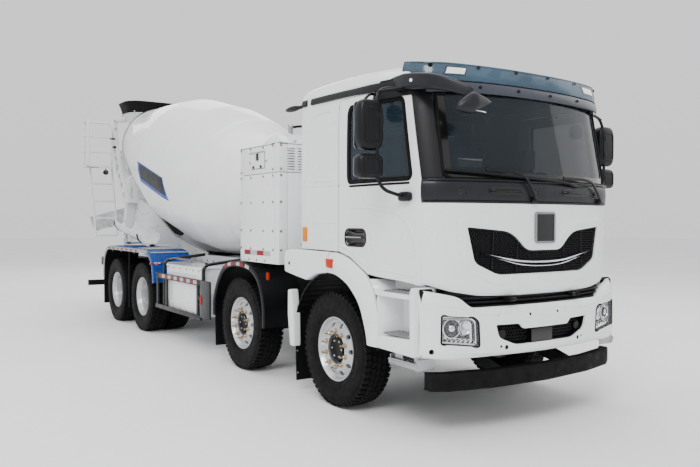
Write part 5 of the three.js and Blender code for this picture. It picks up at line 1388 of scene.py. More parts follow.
def bumper_folds():
    p = Piece("bumper_folds", "chassis", "white_paint")
    for s in (-1, 1):
        e = [(s * x, z) for x, z in ((1.17, 1.085), (1.05, 1.072), (.92, 1.050), (.80, 1.005), (.70, .982), (.60, .975))]
        p.add(sweep([BPt(x, z, 0) for x, z in dense(e, .05)], bead(.020, .0055)), "white")
        p.add(sweep([BPt(s * x, z, 0) for x, z in ((1.08, .696), (1.0, .690), (.80, .680), (.60, .672))], bead(.018, .0045)), "white")
    p.add(sweep([BPt(.60 - 1.2 * k / 24, .975, 0) for k in range(25)], bead(.018, .0040)), "white")
    p.build(angle=60)
    c = Piece("front_underrun_bar", "chassis", "chassis_black")
    bow = [(-1.104, -1.288), (-1.003, -1.354), (-.985, -1.364), (-.60, -1.454), (-.57, -1.459), (0, -1.504), (.57, -1.459), (.60, -1.454), (.985, -1.364), (1.003, -1.354), (1.104, -1.288)]
    n_ = len(bow)
    def face(u, v_):
        s_ = u * (n_ - 1); i = min(int(s_), n_ - 2); t = s_ - i
        x = bow[i][0] + (bow[i + 1][0] - bow[i][0]) * t; y = bow[i][1] + (bow[i + 1][1] - bow[i][1]) * t
        return (x, y - .008 * min(1, 14 * v_, 14 * (1 - v_)), .384 + .142 * v_)
    c.add(slab(face, 60, 8, lambda u, v_: (0, .088, 0)), "seal")
    c.build(angle=40)
bumper_folds()

def headlamp(side):
    m = side == "left"
    c = Piece(f"headlamp_lens_{side}", "chassis", "lens_clear")
    inn = grow(HEAD, -.004 if sum(a[0] * b[1] - b[0] * a[1] for a, b in zip(HEAD, HEAD[1:] + HEAD[:1])) > 0 else .004)
    c.add(patch(inn, BPt, -.004, .002, .05), "clear")
    c.build(mirror=m, angle=50)
    f_ = Piece(f"headlamp_frame_{side}", "chassis", "black_plastic")
    f_.add(sweep([BPt(x, z, -.002) for x, z in HEAD], [(-.009, -.07), (-.009, .003), (-.002, .007), (.007, .004), (.007, -.07)], True), "seal")
    f_.build(mirror=m, angle=40)
    b = Piece(f"headlamp_optics_{side}", "chassis", "bright_chrome")
    b.add(patch(HEAD, BPt, -.085, -.072, .05), "gloss")
    # stepped bright bezel
    for k, (w, h) in enumerate(((-.012, -.030), (-.026, -.045), (-.044, -.058))):
        sgn = -1 if sum(a_[0] * b_[1] - b_[0] * a_[1] for a_, b_ in zip(HEAD, HEAD[1:] + HEAD[:1])) < 0 else 1
        b.add(sweep([BPt(x, z, h) for x, z in grow(HEAD, sgn * w)], [(-.008, -.02), (-.008, 0), (.008, .004), (.008, -.02)], True), "chrome" if k != 1 else "gloss")
    q, n = BPt(-.965, .880, -.075)
    b.add(lathe([(0, 0), (.070, .004), (.078, .020), (.080, .034), (.072, .036), (.066, .020), (.056, .012), (.040, .010)], q, n, 40), "chrome")
    b.add(lathe([(.040, .0), (.046, .040), (.040, .046), (.036, .040)], q, n, 36), "gloss")
    b.add(lathe([(0, .052), (.016, .050), (.030, .042), (.037, .026), (.037, 0)], q, n, 36), "mirror")
    q2, n2 = BPt(-.845, .872, -.075)
    b.add(lathe([(0, 0), (.052, .003), (.060, .020), (.058, .028), (.050, .018), (.012, .008)], q2, n2, 36), "chrome")
    b.add(lathe([(0, .030), (.010, .026), (.014, .010), (.014, 0)], q2, n2, 20), "refl")
    # row of small reflectors below and bright strip along the top
    for i in range(7):
        x = -1.03 + .044 * i
        zz = .790 - (x + 1.068) * .10
        q3, n3 = BPt(x, zz, -.060)
        b.add(lathe([(0, .004), (.010, .006), (.0185, .024), (.0205, .024), (.0205, 0)], q3, n3, 16), "chrome")
    b.add(sweep([BPt(-1.045 + .27 * k / 8, .962 - .018 * k / 8, -.038) for k in range(9)], bead(.018, .008, .01)), "refl")
    b.build(mirror=m, angle=40)
for s_ in ("right", "left"): headlamp(s_)

# ------------------------------------------------------------------ front fender, steps, flap
def tread(p, x0, x1, y0, y1, z, nx, ny, key="tread"):
    p.add(box(x0, x1, y0, y1, z - .012, z), key)
    for i in range(nx):
        for j in range(ny):
            x = x0 + (x1 - x0) * (i + .5 + (.25 if j % 2 else -.25) * .9) / nx; y = y0 + (y1 - y0) * (j + .5) / ny
            p.add(lathe([(.0125, -.001), (.0105, .005), (.0075, .006), (.006, -.002)], (x, y, z), (0, 0, 1), 8), key)
            p.add(lathe([(0, .0006), (.0062, .0006)], (x, y, z), (0, 0, 1), 8), "chassis")
def fender(side):
    m = side == "left"
    p = Piece(f"front_fender_{side}", "chassis", "white_paint")
    A = catmull([(.02, 1.249), (-.114, 1.235), (-.278, 1.174), (-.39, 1.094), (-.483, .998), (-.544, .875), (-.589, .752), (-.606, .668)], 6)
    B = catmull([(.02, 1.436), (-.094, 1.433), (-.24, 1.402), (-.40, 1.334), (-.54, 1.254), (-.66, 1.12), (-.735, .900), (-.755, .668)], 6)
    n = min(len(A), len(B))
    def pick(P, u):
        s = u * (len(P) - 1); i = min(int(s), len(P) - 2); t = s - i
        return (P[i][0] * (1 - t) + P[i + 1][0] * t, P[i][1] * (1 - t) + P[i + 1][1] * t)
    def fn(u, v_):
        a, b = pick(A, u), pick(B, u)
        if v_ < .2:      # returned lip of the arch
            k = v_ / .2
            return (-(1.175 + .062 * math.sin(k * math.pi / 2)), a[0] + .006 * (1 - k), a[1] - .004 * (1 - k))
        k = (v_ - .2) / .8
        y = a[0] + (b[0] - a[0]) * k; z = a[1] + (b[1] - a[1]) * k
        x = 1.237 + .010 * math.sin(min(1, k * 2.2) * math.pi / 2) - .050 * max(0, (k - .45) / .55) ** 2 * (1 - .75 * max(0, (u - .55) / .45))
        return (-x, y, z)
    p.add(slab(fn, 44, 20, lambda u, v_: (.020, 0, 0)), "white")
    p.build(replaces=f"front_fender_{side}", mirror=m, angle=50)
    # boxy rear end of the fender and the step unit
    q = Piece(f"fender_box_{side}", "chassis", "white_paint")
    q.add(px([(.026, 1.247), (.236, 1.221), (.404, 1.152), (.62, 1.178), (.835, 1.21), (.85, 1.37), (.815, 1.425), (.66, 1.444), (.026, 1.438)], -1.246, -1.17), "white")
    q.add(px([(.60, 1.30), (.83, 1.30), (.845, 1.372), (.81, 1.425), (.60, 1.444)], -1.18, -.86), "white")
    q.add(px([(.645, .470), (.725, .470), (.772, .78), (.770, 1.03), (.70, 1.04), (.655, .80)], -1.247, -1.158), "white")
    q.build(mirror=m, bevel=.016, segs=4, angle=50)
    s = Piece(f"step_unit_{side}", "chassis", "white_paint")
    # lower sill, upper ledge, pillar, inner walls
    s.add(px([(-1.232, .655), (-.74, .668), (-.735, .770), (-1.232, .792)], -1.240, -1.0), "white")
    s.add(px([(-1.232, 1.102), (-.735, 1.106), (-.70, 1.128), (-.70, 1.145), (-1.232, 1.142)], -1.238, -1.0), "white")
    s.add(px([(-1.236, .655), (-1.190, .657), (-1.182, 1.16), (-1.200, 1.202), (-1.236, 1.200)], -1.243, -1.02), "white")
    s.build(mirror=m, bevel=.010, segs=3, angle=50)
    w = Piece(f"step_walls_{side}", "chassis", "white_paint")
    w.add(px([(-1.21, .70), (-.76, .70), (-.72, 1.24), (-1.21, 1.205)], -1.02, -.985), "white")
    v = [(-1.232, -.740, .68), (-1.232, -.740, 1.12), (-1.02, -.83, 1.12), (-1.02, -.83, .68), (-1.02, -.70, .68), (-1.02, -.70, 1.12)]
    w.add((v, [(0, 3, 2, 1), (0, 1, 5, 4), (2, 3, 4, 5), (1, 2, 5), (0, 4, 3)]), "white")
    v = [(-1.225, -.70, 1.13), (-1.225, -.62, 1.235), (-1.0, -.74, 1.235), (-1.0, -.80, 1.13), (-1.0, -.62, 1.13)]
    w.add((v, [(0, 1, 2, 3), (0, 4, 1), (1, 4, 2), (2, 4, 3), (0, 3, 4)]), "white")
    w.add(px([(-1.205, 1.150), (-.75, 1.150), (-.75, 1.232), (-.96, 1.226), (-1.205, 1.198)], -1.045, -1.030), "white")
    w.build(mirror=m, bevel=.004, angle=40)
    t = Piece(f"step_treads_{side}", "chassis", "step_aluminium")
    tread(t, -1.205, -1.035, -1.165, -.80, 1.152, 5, 9)
    tread(t, -1.205, -1.035, -1.165, -.80, .802, 5, 9)
    # hanging lower step on two folded brackets
    tread(t, -1.215, -1.05, -1.25, -.92, .600, 4, 8)
    for y in (-1.255, -.925):
        t.add(px([(y, .548), (y + .010, .548), (y + .010, .640), (y, .640)], -1.225, -1.04), "alu")
    t.add(py([(-1.228, .560), (-1.214, .552), (-1.200, .560), (-1.200, .572), (-1.214, .585), (-1.228, .612), (-1.236, .612), (-1.236, .566)], -1.26, -.91), "alu")
    t.add(py([(-1.236, .596), (-1.222, .596), (-1.222, .602), (-1.236, .602)], -1.27, -.90), "alu")
    fr = [(-1.05, .565), (-.955, .565), (-.955, .70), (-1.01, .70)]
    t.add(px([(-1.065, .56), (-.955, .56), (-.945, .72), (-1.03, .72)], -1.200, -1.192), "alu")
    t.add(px([(-1.245, .56), (-1.195, .56), (-1.195, .72), (-1.225, .72)], -1.200, -1.192), "alu")
    t.build(mirror=m, bevel=.0015, segs=1, angle=35)
    k = Piece(f"fender_liner_{side}", "chassis", "black_plastic")
    # ribbed wheel-arch liner
    axis_c = (-1.0, 0, .535)
    def liner(u, v_):
        t_ = R(4 + 168 * u); x = -1.205 + .42 * v_
        r = .704 + .006 * (1 if int(u * 84) % 3 == 0 else 0)
        y, z = r * math.cos(t_), .535 + r * math.sin(t_)
        return (x, y, z)
    k.add(slab(lambda u, v_: liner(u, v_) if True else 0, 84, 3, lambda u, v_: (0, .010 * math.cos(R(4 + 168 * u)), .010 * math.sin(R(4 + 168 * u)))), "black")
    # mudflap with its bolts
    k.add(px([(.655, .125), (.664, .125), (.690, .91), (.681, .91)], -1.205, -.80), "mud")
    for z in (.20, .42, .64, .86):
        for x in (-1.19, -1.0):
            k.add(bolt((x, .655 + .033 * (z - .125), z), (0, -1, 0), .008, .006), "steel")
    # black plates in the gap between steps and bumper: painted shade of the gap
    k.add(px([(-1.262, .66), (-1.238, .66), (-1.236, 1.12), (-1.205, 1.165), (-1.225, 1.20), (-1.262, 1.17)], -1.185, -1.06), "seal")
    k.add(px([(-1.05, .90), (-.90, .90), (-.90, 1.20), (-1.05, 1.20)], -.98, -.90), "chassis")
    k.build(mirror=m, angle=35)
    a = Piece(f"fender_marker_{side}", "chassis", "lens_amber")
    a.add(px([(.018, 1.30), (-.075, 1.292), (-.075, 1.376), (.03, 1.378)], -1.262, -1.235), "orange")
    a.build(mirror=m, bevel=.004, angle=35)
    b = Piece(f"fender_plugs_{side}", "chassis", "black_plastic")
    for y, z in ((.735, 1.30),):
        b.add(lathe([(0, .004), (.017, .003), (.017, -.01)], (-1.246, y, z), (-1, 0, 0), 20), "black")
    b.build(mirror=m, angle=35)
for s_ in ("right", "left"): fender(s_)

# ------------------------------------------------------------------ mirrors
def pod(c, h, e=3.2, n=28, m_=18, taper=0.0):
    """rounded block: superquadric of half sizes h"""
    v, f = [], []
    sp = lambda a, k: math.copysign(abs(a) ** (2 / k), a)
    rows = []
    for j in range(m_ + 1):
        ph = -math.pi / 2 + math.pi * j / m_
        row = []
        for i in range(n):
            th = 2 * math.pi * i / n
            x = sp(math.cos(ph), e) * sp(math.cos(th), e); y = sp(math.cos(ph), e) * sp(math.sin(th), e); z = sp(math.sin(ph), e)
            k = 1 + taper * z
            row.append((c[0] + h[0] * x * k, c[1] + h[1] * y, c[2] + h[2] * z))
        rows.append(row)
    v.append(rows[0][0])
    for row in rows[1:-1]: v += row
    v.append(rows[-1][0])
    for i in range(n): f.append((0, 1 + (i + 1) % n, 1 + i))
    for j in range(m_ - 2):
        for i in range(n):
            a = 1 + j * n
            f.append((a + i, a + (i + 1) % n, a + n + (i + 1) % n, a + n + i))
    a = 1 + (m_ - 2) * n
    for i in range(n): f.append((a + i, a + (i + 1) % n, len(v) - 1))
    return v, f
def mirrors(side):
    m = side == "left"
    p = Piece(f"door_mirror_{side}", f"door_{side}", "black_plastic")
    for cz, hz_, cx, hx_ in ((2.487, .200, -1.472, .116), (2.160, .098, -1.474, .118)):
        p.add(pod((cx, -.955, cz), (hx_, .062, hz_), 4.2, 32, 20), "black")
        # moulded recess on the front face
        o = rounded(cx - hx_ * .62, cx + hx_ * .62, cz - hz_ * .66, cz + hz_ * .66, .03, 5)
        p.add(sweep([(Vector((x, -1.0165, z)), Vector((0, -1, 0))) for x, z in o], bead(.012, .004, .004), True), "black")
    path = [(-1.120, -.955, 2.780), (-1.26, -.965, 2.800), (-1.385, -.970, 2.770), (-1.425, -.985, 2.66), (-1.425, -1.00, 2.30), (-1.42, -.99, 2.07), (-1.36, -1.00, 1.975), (-1.19, -1.035, 1.925)]
    p.add(tube(path, .0145, 12, .09, 6), "black")
    p.add(tube([(-1.12, -1.02, 2.80), (-1.25, -1.0, 2.785), (-1.40, -.975, 2.755)], .012, 10, .05), "black")
    # foot brackets
    p.add(tube([(-1.10, -.955, 2.782), (-1.155, -.955, 2.782)], .026, 14, 0), "black")
    q, n_ = SP(-1.05, 1.925, 0)
    p.add(pod((-1.178, -1.045, 1.925), (.030, .075, .040), 3.5, 20, 12), "black")
    for z in (2.40, 2.56, 2.16):
        p.add(tube([(-1.425, -1.0, z - .02), (-1.425, -1.0, z + .02)], .024, 14, 0), "black")
    # wide-angle head above the door window
    p.add(tube([(-1.13, -.62, 2.80), (-1.25, -.66, 2.80), (-1.33, -.70, 2.74)], .012, 10, .05), "black")
    p.add(pod((-1.335, -.72, 2.655), (.080, .050, .075), 3.0, 26, 16), "black")
    p.build(replaces=f"door_mirror_{side}", mirror=m, angle=40)
    g = Piece(f"mirror_glass_{side}", f"door_{side}", "mirror_glass")
    for cz, hz_, cx, hx_ in ((2.487, .200, -1.472, .116), (2.160, .098, -1.474, .118)):
        g.add(py(rounded(cx - hx_ + .014, cx + hx_ - .014, cz - hz_ + .014, cz + hz_ - .014, .03, 5), -.8955, -.8925), "mirror")
    g.build(mirror=m, angle=30)
for s_ in ("right", "left"): mirrors(s_)
def beam(path, sizes, n=4):
    """loft of rounded upright sections along a path; sizes are (half across, half tall)"""
    P = [Vector(q) for q in path]
    Q, S = [], []
    for i in range(len(P) - 1):
        for k in range(n):
            t = k / n
            a, b, c, d = P[max(0, i - 1)], P[i], P[i + 1], P[min(len(P) - 1, i + 2)]
            Q.append(.5 * ((2 * b) + (c - a) * t + (2 * a - 5 * b + 4 * c - d) * t * t + (3 * b - a - 3 * c + d) * t ** 3))
            S.append((sizes[i][0] + (sizes[i + 1][0] - sizes[i][0]) * t, sizes[i][1] + (sizes[i + 1][1] - sizes[i][1]) * t))
    Q.append(P[-1]); S.append(sizes[-1])
    v, f = [], []
    for i, q in enumerate(Q):
        d = (Q[min(i + 1, len(Q) - 1)] - Q[max(i - 1, 0)]); d.normalize()
        sd = d.cross(Vector((0, 0, 1))).normalized(); up = sd.cross(d).normalized()
        for a, b in rounded(-S[i][0], S[i][0], -S[i][1], S[i][1], min(S[i]) * .7, 4):
            v.append(tuple(q + sd * a + up * b))
    m = len(v) // len(Q)
    for i in range(len(Q) - 1):
        for k in range(m): f.append((i * m + k, i * m + (k + 1) % m, (i + 1) * m + (k + 1) % m, (i + 1) * m + k))
    f += [tuple(range(m - 1, -1, -1)), tuple((len(Q) - 1) * m + k for k in range(m))]
    return v, f
def front_mirror():
    p = Piece("front_mirror", "cab", "black_plastic")
    p.add(beam([(-1.135, -.82, 2.872), (-1.150, -1.00, 2.858), (-1.150, -1.15, 2.838), (-1.135, -1.30, 2.815), (-1.075, -1.44, 2.775), (-1.00, -1.545, 2.725), (-.965, -1.580, 2.700)],
               [(.022, .040), (.028, .062), (.030, .066), (.030, .062), (.028, .052), (.024, .042), (.020, .034)]), "cowl")
    # leaf-shaped head, pointed at its inner end
    v, f = [], []
    K, m = 26, 24
    for i in range(K + 1):
        s_ = i / K
        x = -1.115 + .325 * s_
        h = .090 * min(1, s_ * 2.6 + .02) ** .55 * min(1, (1.004 - s_) * 1.75) ** .85
        zc = 2.578 + .062 * s_ + .012 * math.sin(math.pi * s_)
        w_ = .058 * min(1, s_ * 3 + .02) ** .5 * min(1, (1.004 - s_) * 1.9) ** .7
        for k in range(m):
            t = 2 * math.pi * k / m
            c_, q_ = math.cos(t), math.sin(t)
            v.append((x, -1.600 + w_ * c_ + .10 * (s_ - .5) * -.3, zc + h * (abs(q_) ** .85) * (1 if q_ >= 0 else -.85)))
    for i in range(K):
        for k in range(m): f.append((i * m + k, i * m + (k + 1) % m, (i + 1) * m + (k + 1) % m, (i + 1) * m + k))
    f += [tuple(range(m - 1, -1, -1)), tuple(K * m + k for k in range(m))]
    p.add((v, f), "cowl")
    p.add(beam([(-.975, -1.572, 2.71), (-.955, -1.59, 2.665), (-.945, -1.60, 2.63)], [(.020, .03), (.022, .03), (.024, .03)]), "cowl")
    p.build(angle=50)
    q = Piece("front_mirror_marker", "cab", "lens_clear")
    q.add(pod((-1.183, -1.12, 2.845), (.006, .016, .014), 3.0, 16, 10), "lampwhite")
    q.build(angle=40)
    g = Piece("front_mirror_glass", "cab", "mirror_glass")
    g.add(pz([(-1.07, -1.60), (-1.02, -1.628), (-.95, -1.636), (-.87, -1.622), (-.83, -1.60), (-.87, -1.578), (-.95, -1.566), (-1.02, -1.574)], 2.556, 2.562), "mirror")
    g.build(angle=40)
front_mirror()

# ------------------------------------------------------------------ drum decal: plain dark field with a blue border
drum_patch("drum_decal_blue_right", [(.575, 3.118), (-.66, 3.160), (-.833, 3.456), (.400, 3.396)], "decal_blue", .0045, "blue_plastic")
drum_patch("drum_decal_dark_right", [(.455, 3.140), (-.645, 3.163), (-.760, 3.398), (.350, 3.345)], "decal_dark", .0070, "black_plastic")
drum_patch("drum_decal_blue_left", [(.575, .0236), (-.66, -.0184), (-.833, -.314), (.400, -.254)], "decal_blue", .0045, "blue_plastic")
drum_patch("drum_decal_dark_left", [(.455, .0016), (-.645, -.0214), (-.760, -.256), (.350, -.203)], "decal_dark", .0070, "black_plastic")

# ------------------------------------------------------------------ cab interior
def interior():
    for sg, nm in ((-1, "right"), (1, "left")):
        x = .56 * sg
        p = Piece(f"seat_{nm}", "cab", "seat_fabric")
        p.add(pod((x, -.27, 1.838), (.255, .325, .068), 4.5, 36, 14), "fabric")
        for s in (-1, 1):
            p.add(pod((x + s * .215, -.27, 1.862), (.050, .31, .062), 3.0, 20, 12), "fabric")
        v, f = pod((0, 0, 0), (.245, .068, .340), 4.2, 36, 18)
        ang = R(-11)
        p.add(([(x + a, .045 + b * math.cos(ang) - c * math.sin(ang), 2.190 + b * math.sin(ang) + c * math.cos(ang)) for a, b, c in v], f), "fabric")
        for s in (-1, 1):
            v, f = pod((0, 0, 0), (.048, .060, .25), 3.0, 20, 14)
            p.add(([(x + s * .205 + a, .000 + b * math.cos(ang) - c * math.sin(ang), 2.16 + b * math.sin(ang) + c * math.cos(ang)) for a, b, c in v], f), "fabric")
        v, f = pod((0, 0, 0), (.130, .048, .085), 3.4, 24, 14)
        p.add(([(x + a, .125 + b * math.cos(ang) - c * math.sin(ang), 2.585 + b * math.sin(ang) + c * math.cos(ang)) for a, b, c in v], f), "fabric")
        o = p.build(replaces="seats", angle=60)
        b = Piece(f"seat_base_{nm}", "cab", "black_plastic")
        b.add(box(x - .21, x + .21, -.50, -.02, 1.525, 1.60), "interior")
        b.add(box(x - .17, x + .17, -.46, -.06, 1.60, 1.74), "interior")
        for k in range(5): b.add(box(x - .19 + .002 * k, x + .19 - .002 * k, -.48 + .002 * k, -.04 - .002 * k, 1.612 + .027 * k, 1.628 + .027 * k), "seal")
        b.add(box(x - .25, x + .25, -.56, .03, 1.742, 1.774), "black")
        for s in (-1, 1): b.add(tube([(x + s * .06, .13, 2.46), (x + s * .06, .125, 2.54)], .008, 8, 0), "chrome")
        # belt buckle stalk
        b.add(tube([(x - sg * .27, -.02, 1.76), (x - sg * .275, -.10, 1.96)], .012, 8, 0), "black")
        b.build(bevel=.006, angle=40)
    p = Piece("seat_plinth", "cab", "black_plastic")
    p.add(box(-.80, .80, -.49, -.01, 1.521, 1.556), "interior")
    p.add(box(-.20, .20, -.48, .02, 1.556, 1.80), "interior")
    p.build(bevel=.012, segs=3, angle=40)
    d = Piece("dashboard", "cab", "black_plastic")
    prof = round_poly([(-1.245, 1.75), (-1.10, 1.70), (-1.012, 1.80), (-1.010, 1.955), (-1.08, 2.028), (-1.245, 2.026)], .035, 5)
    d.add(px(prof, -1.02, 1.02), "interior")
    # instrument hood, centre stack, vents
    d.add(pod((.56, -1.07, 2.055), (.215, .105, .062), 3.2, 28, 14), "interior")
    d.add(px(round_poly([(-1.10, 1.62), (-.97, 1.60), (-.93, 1.78), (-.985, 1.98), (-1.10, 2.0)], .03, 4), -.17, .19), "interior")
    for x0 in (-.92, -.40, .24, .86):
        for k in range(5): d.add(box(x0 - .07, x0 + .07, -1.018, -1.006, 1.86 + .016 * k, 1.868 + .016 * k), "gloss")
    for i in range(3):
        for j in range(4): d.add(box(-.10 + .055 * j, -.058 + .055 * j, -.955, -.934, 1.70 + .05 * i, 1.735 + .05 * i), "gloss")
    d.build(replaces="dashboard", angle=35)
    w = Piece("steering_wheel", "cab", "black_plastic")
    a = Vector((0, -math.cos(R(38)), -math.sin(R(38))))
    c = Vector((.56, -.80, 2.01))
    rings = [(.218 + .015 * math.cos(2 * math.pi * k / 12), .015 * math.sin(2 * math.pi * k / 12)) for k in range(12)]
    nrm = Vector((0, -.783, -.622))
    w.add(lathe(rings, c, nrm, 56, closed=True), "black")
    w.add(lathe([(0, -.02), (.060, -.018), (.072, .0), (.062, .030), (0, .035)], c, nrm, 36), "black")
    dd, uu, ww = basis(nrm)
    for t in (0.0, math.pi, -math.pi / 2):
        e = uu * math.cos(t) + ww * math.sin(t)
        w.add(tube([c + e * .05 + dd * .008, c + e * .21], .013, 8, 0, section=rounded(-.020, .020, -.008, .008, .006, 3)), "black")
    w.add(tube([c + nrm * .03, (.56, -1.05, 1.88)], .030, 14, 0), "black")
    w.build(angle=45)
    f = Piece("cab_floor", "cab", "black_plastic")
    f.add(pz(round_poly([(-1.105, .57), (-1.105, -1.10), (-1.02, -1.22), (1.02, -1.22), (1.105, -1.10), (1.105, .57)], .04, 3), 1.475, 1.515), "interior")
    f.add(slab(lambda u, v_: (-1.04 + 2.08 * u, front_y(-1.04 + 2.08 * u, 1.5) + .125, 1.13 + .74 * v_), 40, 6, lambda u, v_: (0, .03, 0)), "chassis")
    f.add(px(round_poly([(-1.25, 1.50), (-1.12, 1.50), (-.96, 1.52), (-.96, 1.535), (-1.12, 1.58), (-1.25, 1.72)], .02, 3), -1.0, 1.0), "interior")
    # inner trim of the rear wall with bunk
    f.add(box(-1.09, 1.09, .565, .595, 1.53, 2.86), "interior")
    f.add(box(-1.05, 1.05, .20, .56, 1.70, 1.86), "fabric")
    # tilt lugs below
    for sg in (-1, 1):
        f.add(px([(-1.468, 1.102), (-1.38, 1.104), (-1.33, 1.23), (-1.28, 1.23), (-1.28, 1.16), (-1.36, 1.076), (-1.468, 1.074)], sg * .423 - .016, sg * .423 + .016), "chassis")
        f.add(lathe([(.0105, -.017), (.020, -.017), (.020, .017), (.0105, .017)], (sg * .423, -1.470, 1.088), (1, 0, 0), 24, closed=True), "seal")
        # longitudinal members of the floor
        f.add(box(sg * .43 - .05, sg * .43 + .05, -1.18, .52, 1.38, 1.475), "chassis")
    for y in (-.9, -.3, .35): f.add(box(-1.0, 1.0, y - .04, y + .04, 1.40, 1.475), "chassis")
    f.build(replaces="cab_floor", angle=35)
    h = Piece("headliner", "cab", "seat_fabric")
    h.add(slab(lambda u, v_: (-1.06 + 2.12 * u, -1.02 + 1.54 * v_, 2.90 + .06 * math.sin(math.pi * u) ** .5 * math.sin(math.pi * v_) ** .5), 20, 14, lambda u, v_: (0, 0, .01)), "interior")
    h.build(angle=50)
interior()

# ------------------------------------------------------------------ battery and cooling cabinet with the water tank
def stripes(p, quad_fn, n, a="red", b="refl", gap=.006):
    """n alternating reflector tiles along u from 0 to 1; quad_fn(u, v, h) gives a point"""
    for i in range(n):
        u0, u1 = (i + gap) / n, (i + 1 - gap) / n
        v, f = slab(lambda u, v_: quad_fn(u0 + (u1 - u0) * u, v_, .003), 4, 1, lambda u, v_: tuple(Vector(quad_fn(u0 + (u1 - u0) * u, v_, 0.0)) - Vector(quad_fn(u0 + (u1 - u0) * u, v_, .003))))
        p.add((v, f), a if i % 2 == 0 else b)
def cabinet():
    p = Piece("battery_cabinet", "chassis", "white_paint")
    # folded corner posts and panels with a shadow gap between them
    for sg in (-1, 1):
        for z0, z1 in ((1.264, 2.234), (2.240, 2.545)):
            p.add(box(sg * 1.198 if sg < 0 else 1.150, -1.150 if sg < 0 else 1.198, 1.150, 1.968, z0, z1), "white")
            p.add(pz(round_poly([(sg * 1.199, 1.146), (sg * 1.199, 1.047), (sg * 1.09, 1.047), (sg * 1.09, 1.060), (sg * 1.16, 1.080), (sg * 1.16, 1.146)], .008, 3), z0, z1), "white")
        p.add(box(*sorted((sg * 1.15, sg * 1.12)), 1.06, 1.96, 1.27, 2.54), "chassis")
    for x0, x1 in ((-1.088, -.004), (.004, 1.088)):
        for z0, z1 in ((1.264, 2.234), (2.240, 2.545)): p.add(box(x0, x1, 1.047, 1.075, z0, z1), "white")
    p.add(box(-1.15, 1.15, 1.94, 1.968, 1.264, 2.545), "white")
    p.add(box(-1.15, 1.15, 1.06, 1.95, 1.262, 1.285), "white")
    # roof strips each side of the tank
    p.add(box(-1.198, 1.198, 1.047, 1.215, 2.530, 2.550), "white"); p.add(box(-1.198, 1.198, 1.930, 1.968, 2.530, 2.550), "white")
    p.add(box(-1.198, -1.085, 1.047, 1.968, 2.530, 2.550), "white"); p.add(box(1.085, 1.198, 1.047, 1.968, 2.530, 2.550), "white")
    p.add(box(-.425, .425, 1.05, 1.31, 1.10, 1.27), "chassis"); p.add(box(-.425, .425, 1.50, 1.90, 1.045, 1.27), "chassis")
    p.build(replaces="battery_cabinet", bevel=.004, angle=35)
    q = Piece("cabinet_hardware", "chassis", "stud_steel")
    for sg in (-1, 1):
        X = sg * 1.198
        for z in (2.52, 2.272, 2.205, 1.925, 1.615, 1.415):
            for y in (1.948, 1.70, 1.40, 1.175):
                if z in (2.52,) or z < 2.25 or y in (1.948, 1.175): q.add(bolt((X, y, z), (sg, 0, 0), .0105, .008), "bolt")
        for y in (1.75, 1.56, 1.36): q.add(bolt((X, y, 1.292), (sg, 0, 0), .0095, .008), "bolt")
        for y in (1.72, 1.33): q.add(bolt((X, y, 2.37), (sg, 0, 0), .0095, .008), "bolt")
    for z in (2.52, 2.272, 2.205, 1.925, 1.615, 1.415):
        for x in (-1.17, -.60, -.05, .05, .60, 1.17): q.add(bolt((x, 1.047, z), (0, -1, 0), .0105, .008), "bolt")
    q.build(angle=35)
    h = Piece("cabinet_hatch", "chassis", "white_paint")
    k = Piece("cabinet_seams", "chassis", "black_plastic")
    for sg in (-1, 1):
        X = sg * 1.198
        h.add(pxs(rounded(1.365, 1.685, 2.300, 2.468, .01, 3), X, X + sg * .006), "white")
        k.add(pxs(rounded(1.358, 1.692, 2.293, 2.475, .012, 3), X, X + sg * .0012), "seal")
        # hinge rod across the top and the T latch
        h.add(tube([(X + sg * .010, 1.36, 2.474), (X + sg * .010, 1.72, 2.474)], .007, 8, 0), "steel")
        k.add(pxs(rounded(1.500, 1.540, 2.385, 2.462, .008, 3), X + sg * .006, X + sg * .020), "gloss")
        for y in (1.44, 1.62): k.add(lathe([(0, .014), (.015, .012), (.017, .004), (.017, 0)], (X + sg * .006, y, 2.316), (sg, 0, 0), 16), "gloss")
        # red and white marking
        stripes(h, lambda u, v_, hh, X=X, sg=sg: (X + sg * hh, 1.862 - .63 * u, 1.345 + .052 * v_), 4)
    for c in range(3):
        for x0 in (-1.10, .74):
            for r_i in range(9):
                z = 2.275 + .0275 * r_i; xa = x0 + .125 * c
                v, f = px([(0, 0)], 0, 1) if False else slab(lambda u, v_: (xa + .10 * u, 1.047 - .014 * math.sin(math.pi * u) ** .6 * (1 - v_), z + .013 * v_), 8, 2, lambda u, v_: (0, .004, 0))
                h.add((v, f), "white")
                k.add(box(xa + .006, xa + .094, 1.0455, 1.047, z - .007, z + .001), "seal")
    h.build(angle=40); k.build(angle=35)
    t = Piece("water_tank", "chassis", "white_paint")
    prof = [(0, -1.062)] + [(.372 * math.sin(math.pi / 2 * k / 12), -.955 - .107 * math.cos(math.pi / 2 * k / 12)) for k in range(1, 13)]
    prof += [(.372, -.93), (.3745, -.926), (.3745, -.914), (.372, -.910), (.372, -.30), (.3745, -.296), (.3745, -.284), (.372, -.280)]
    prof = prof + [(r, -x) for r, x in reversed(prof)]
    t.add(lathe(prof, (0, 1.59, 2.33), (1, 0, 0), 96), "white")
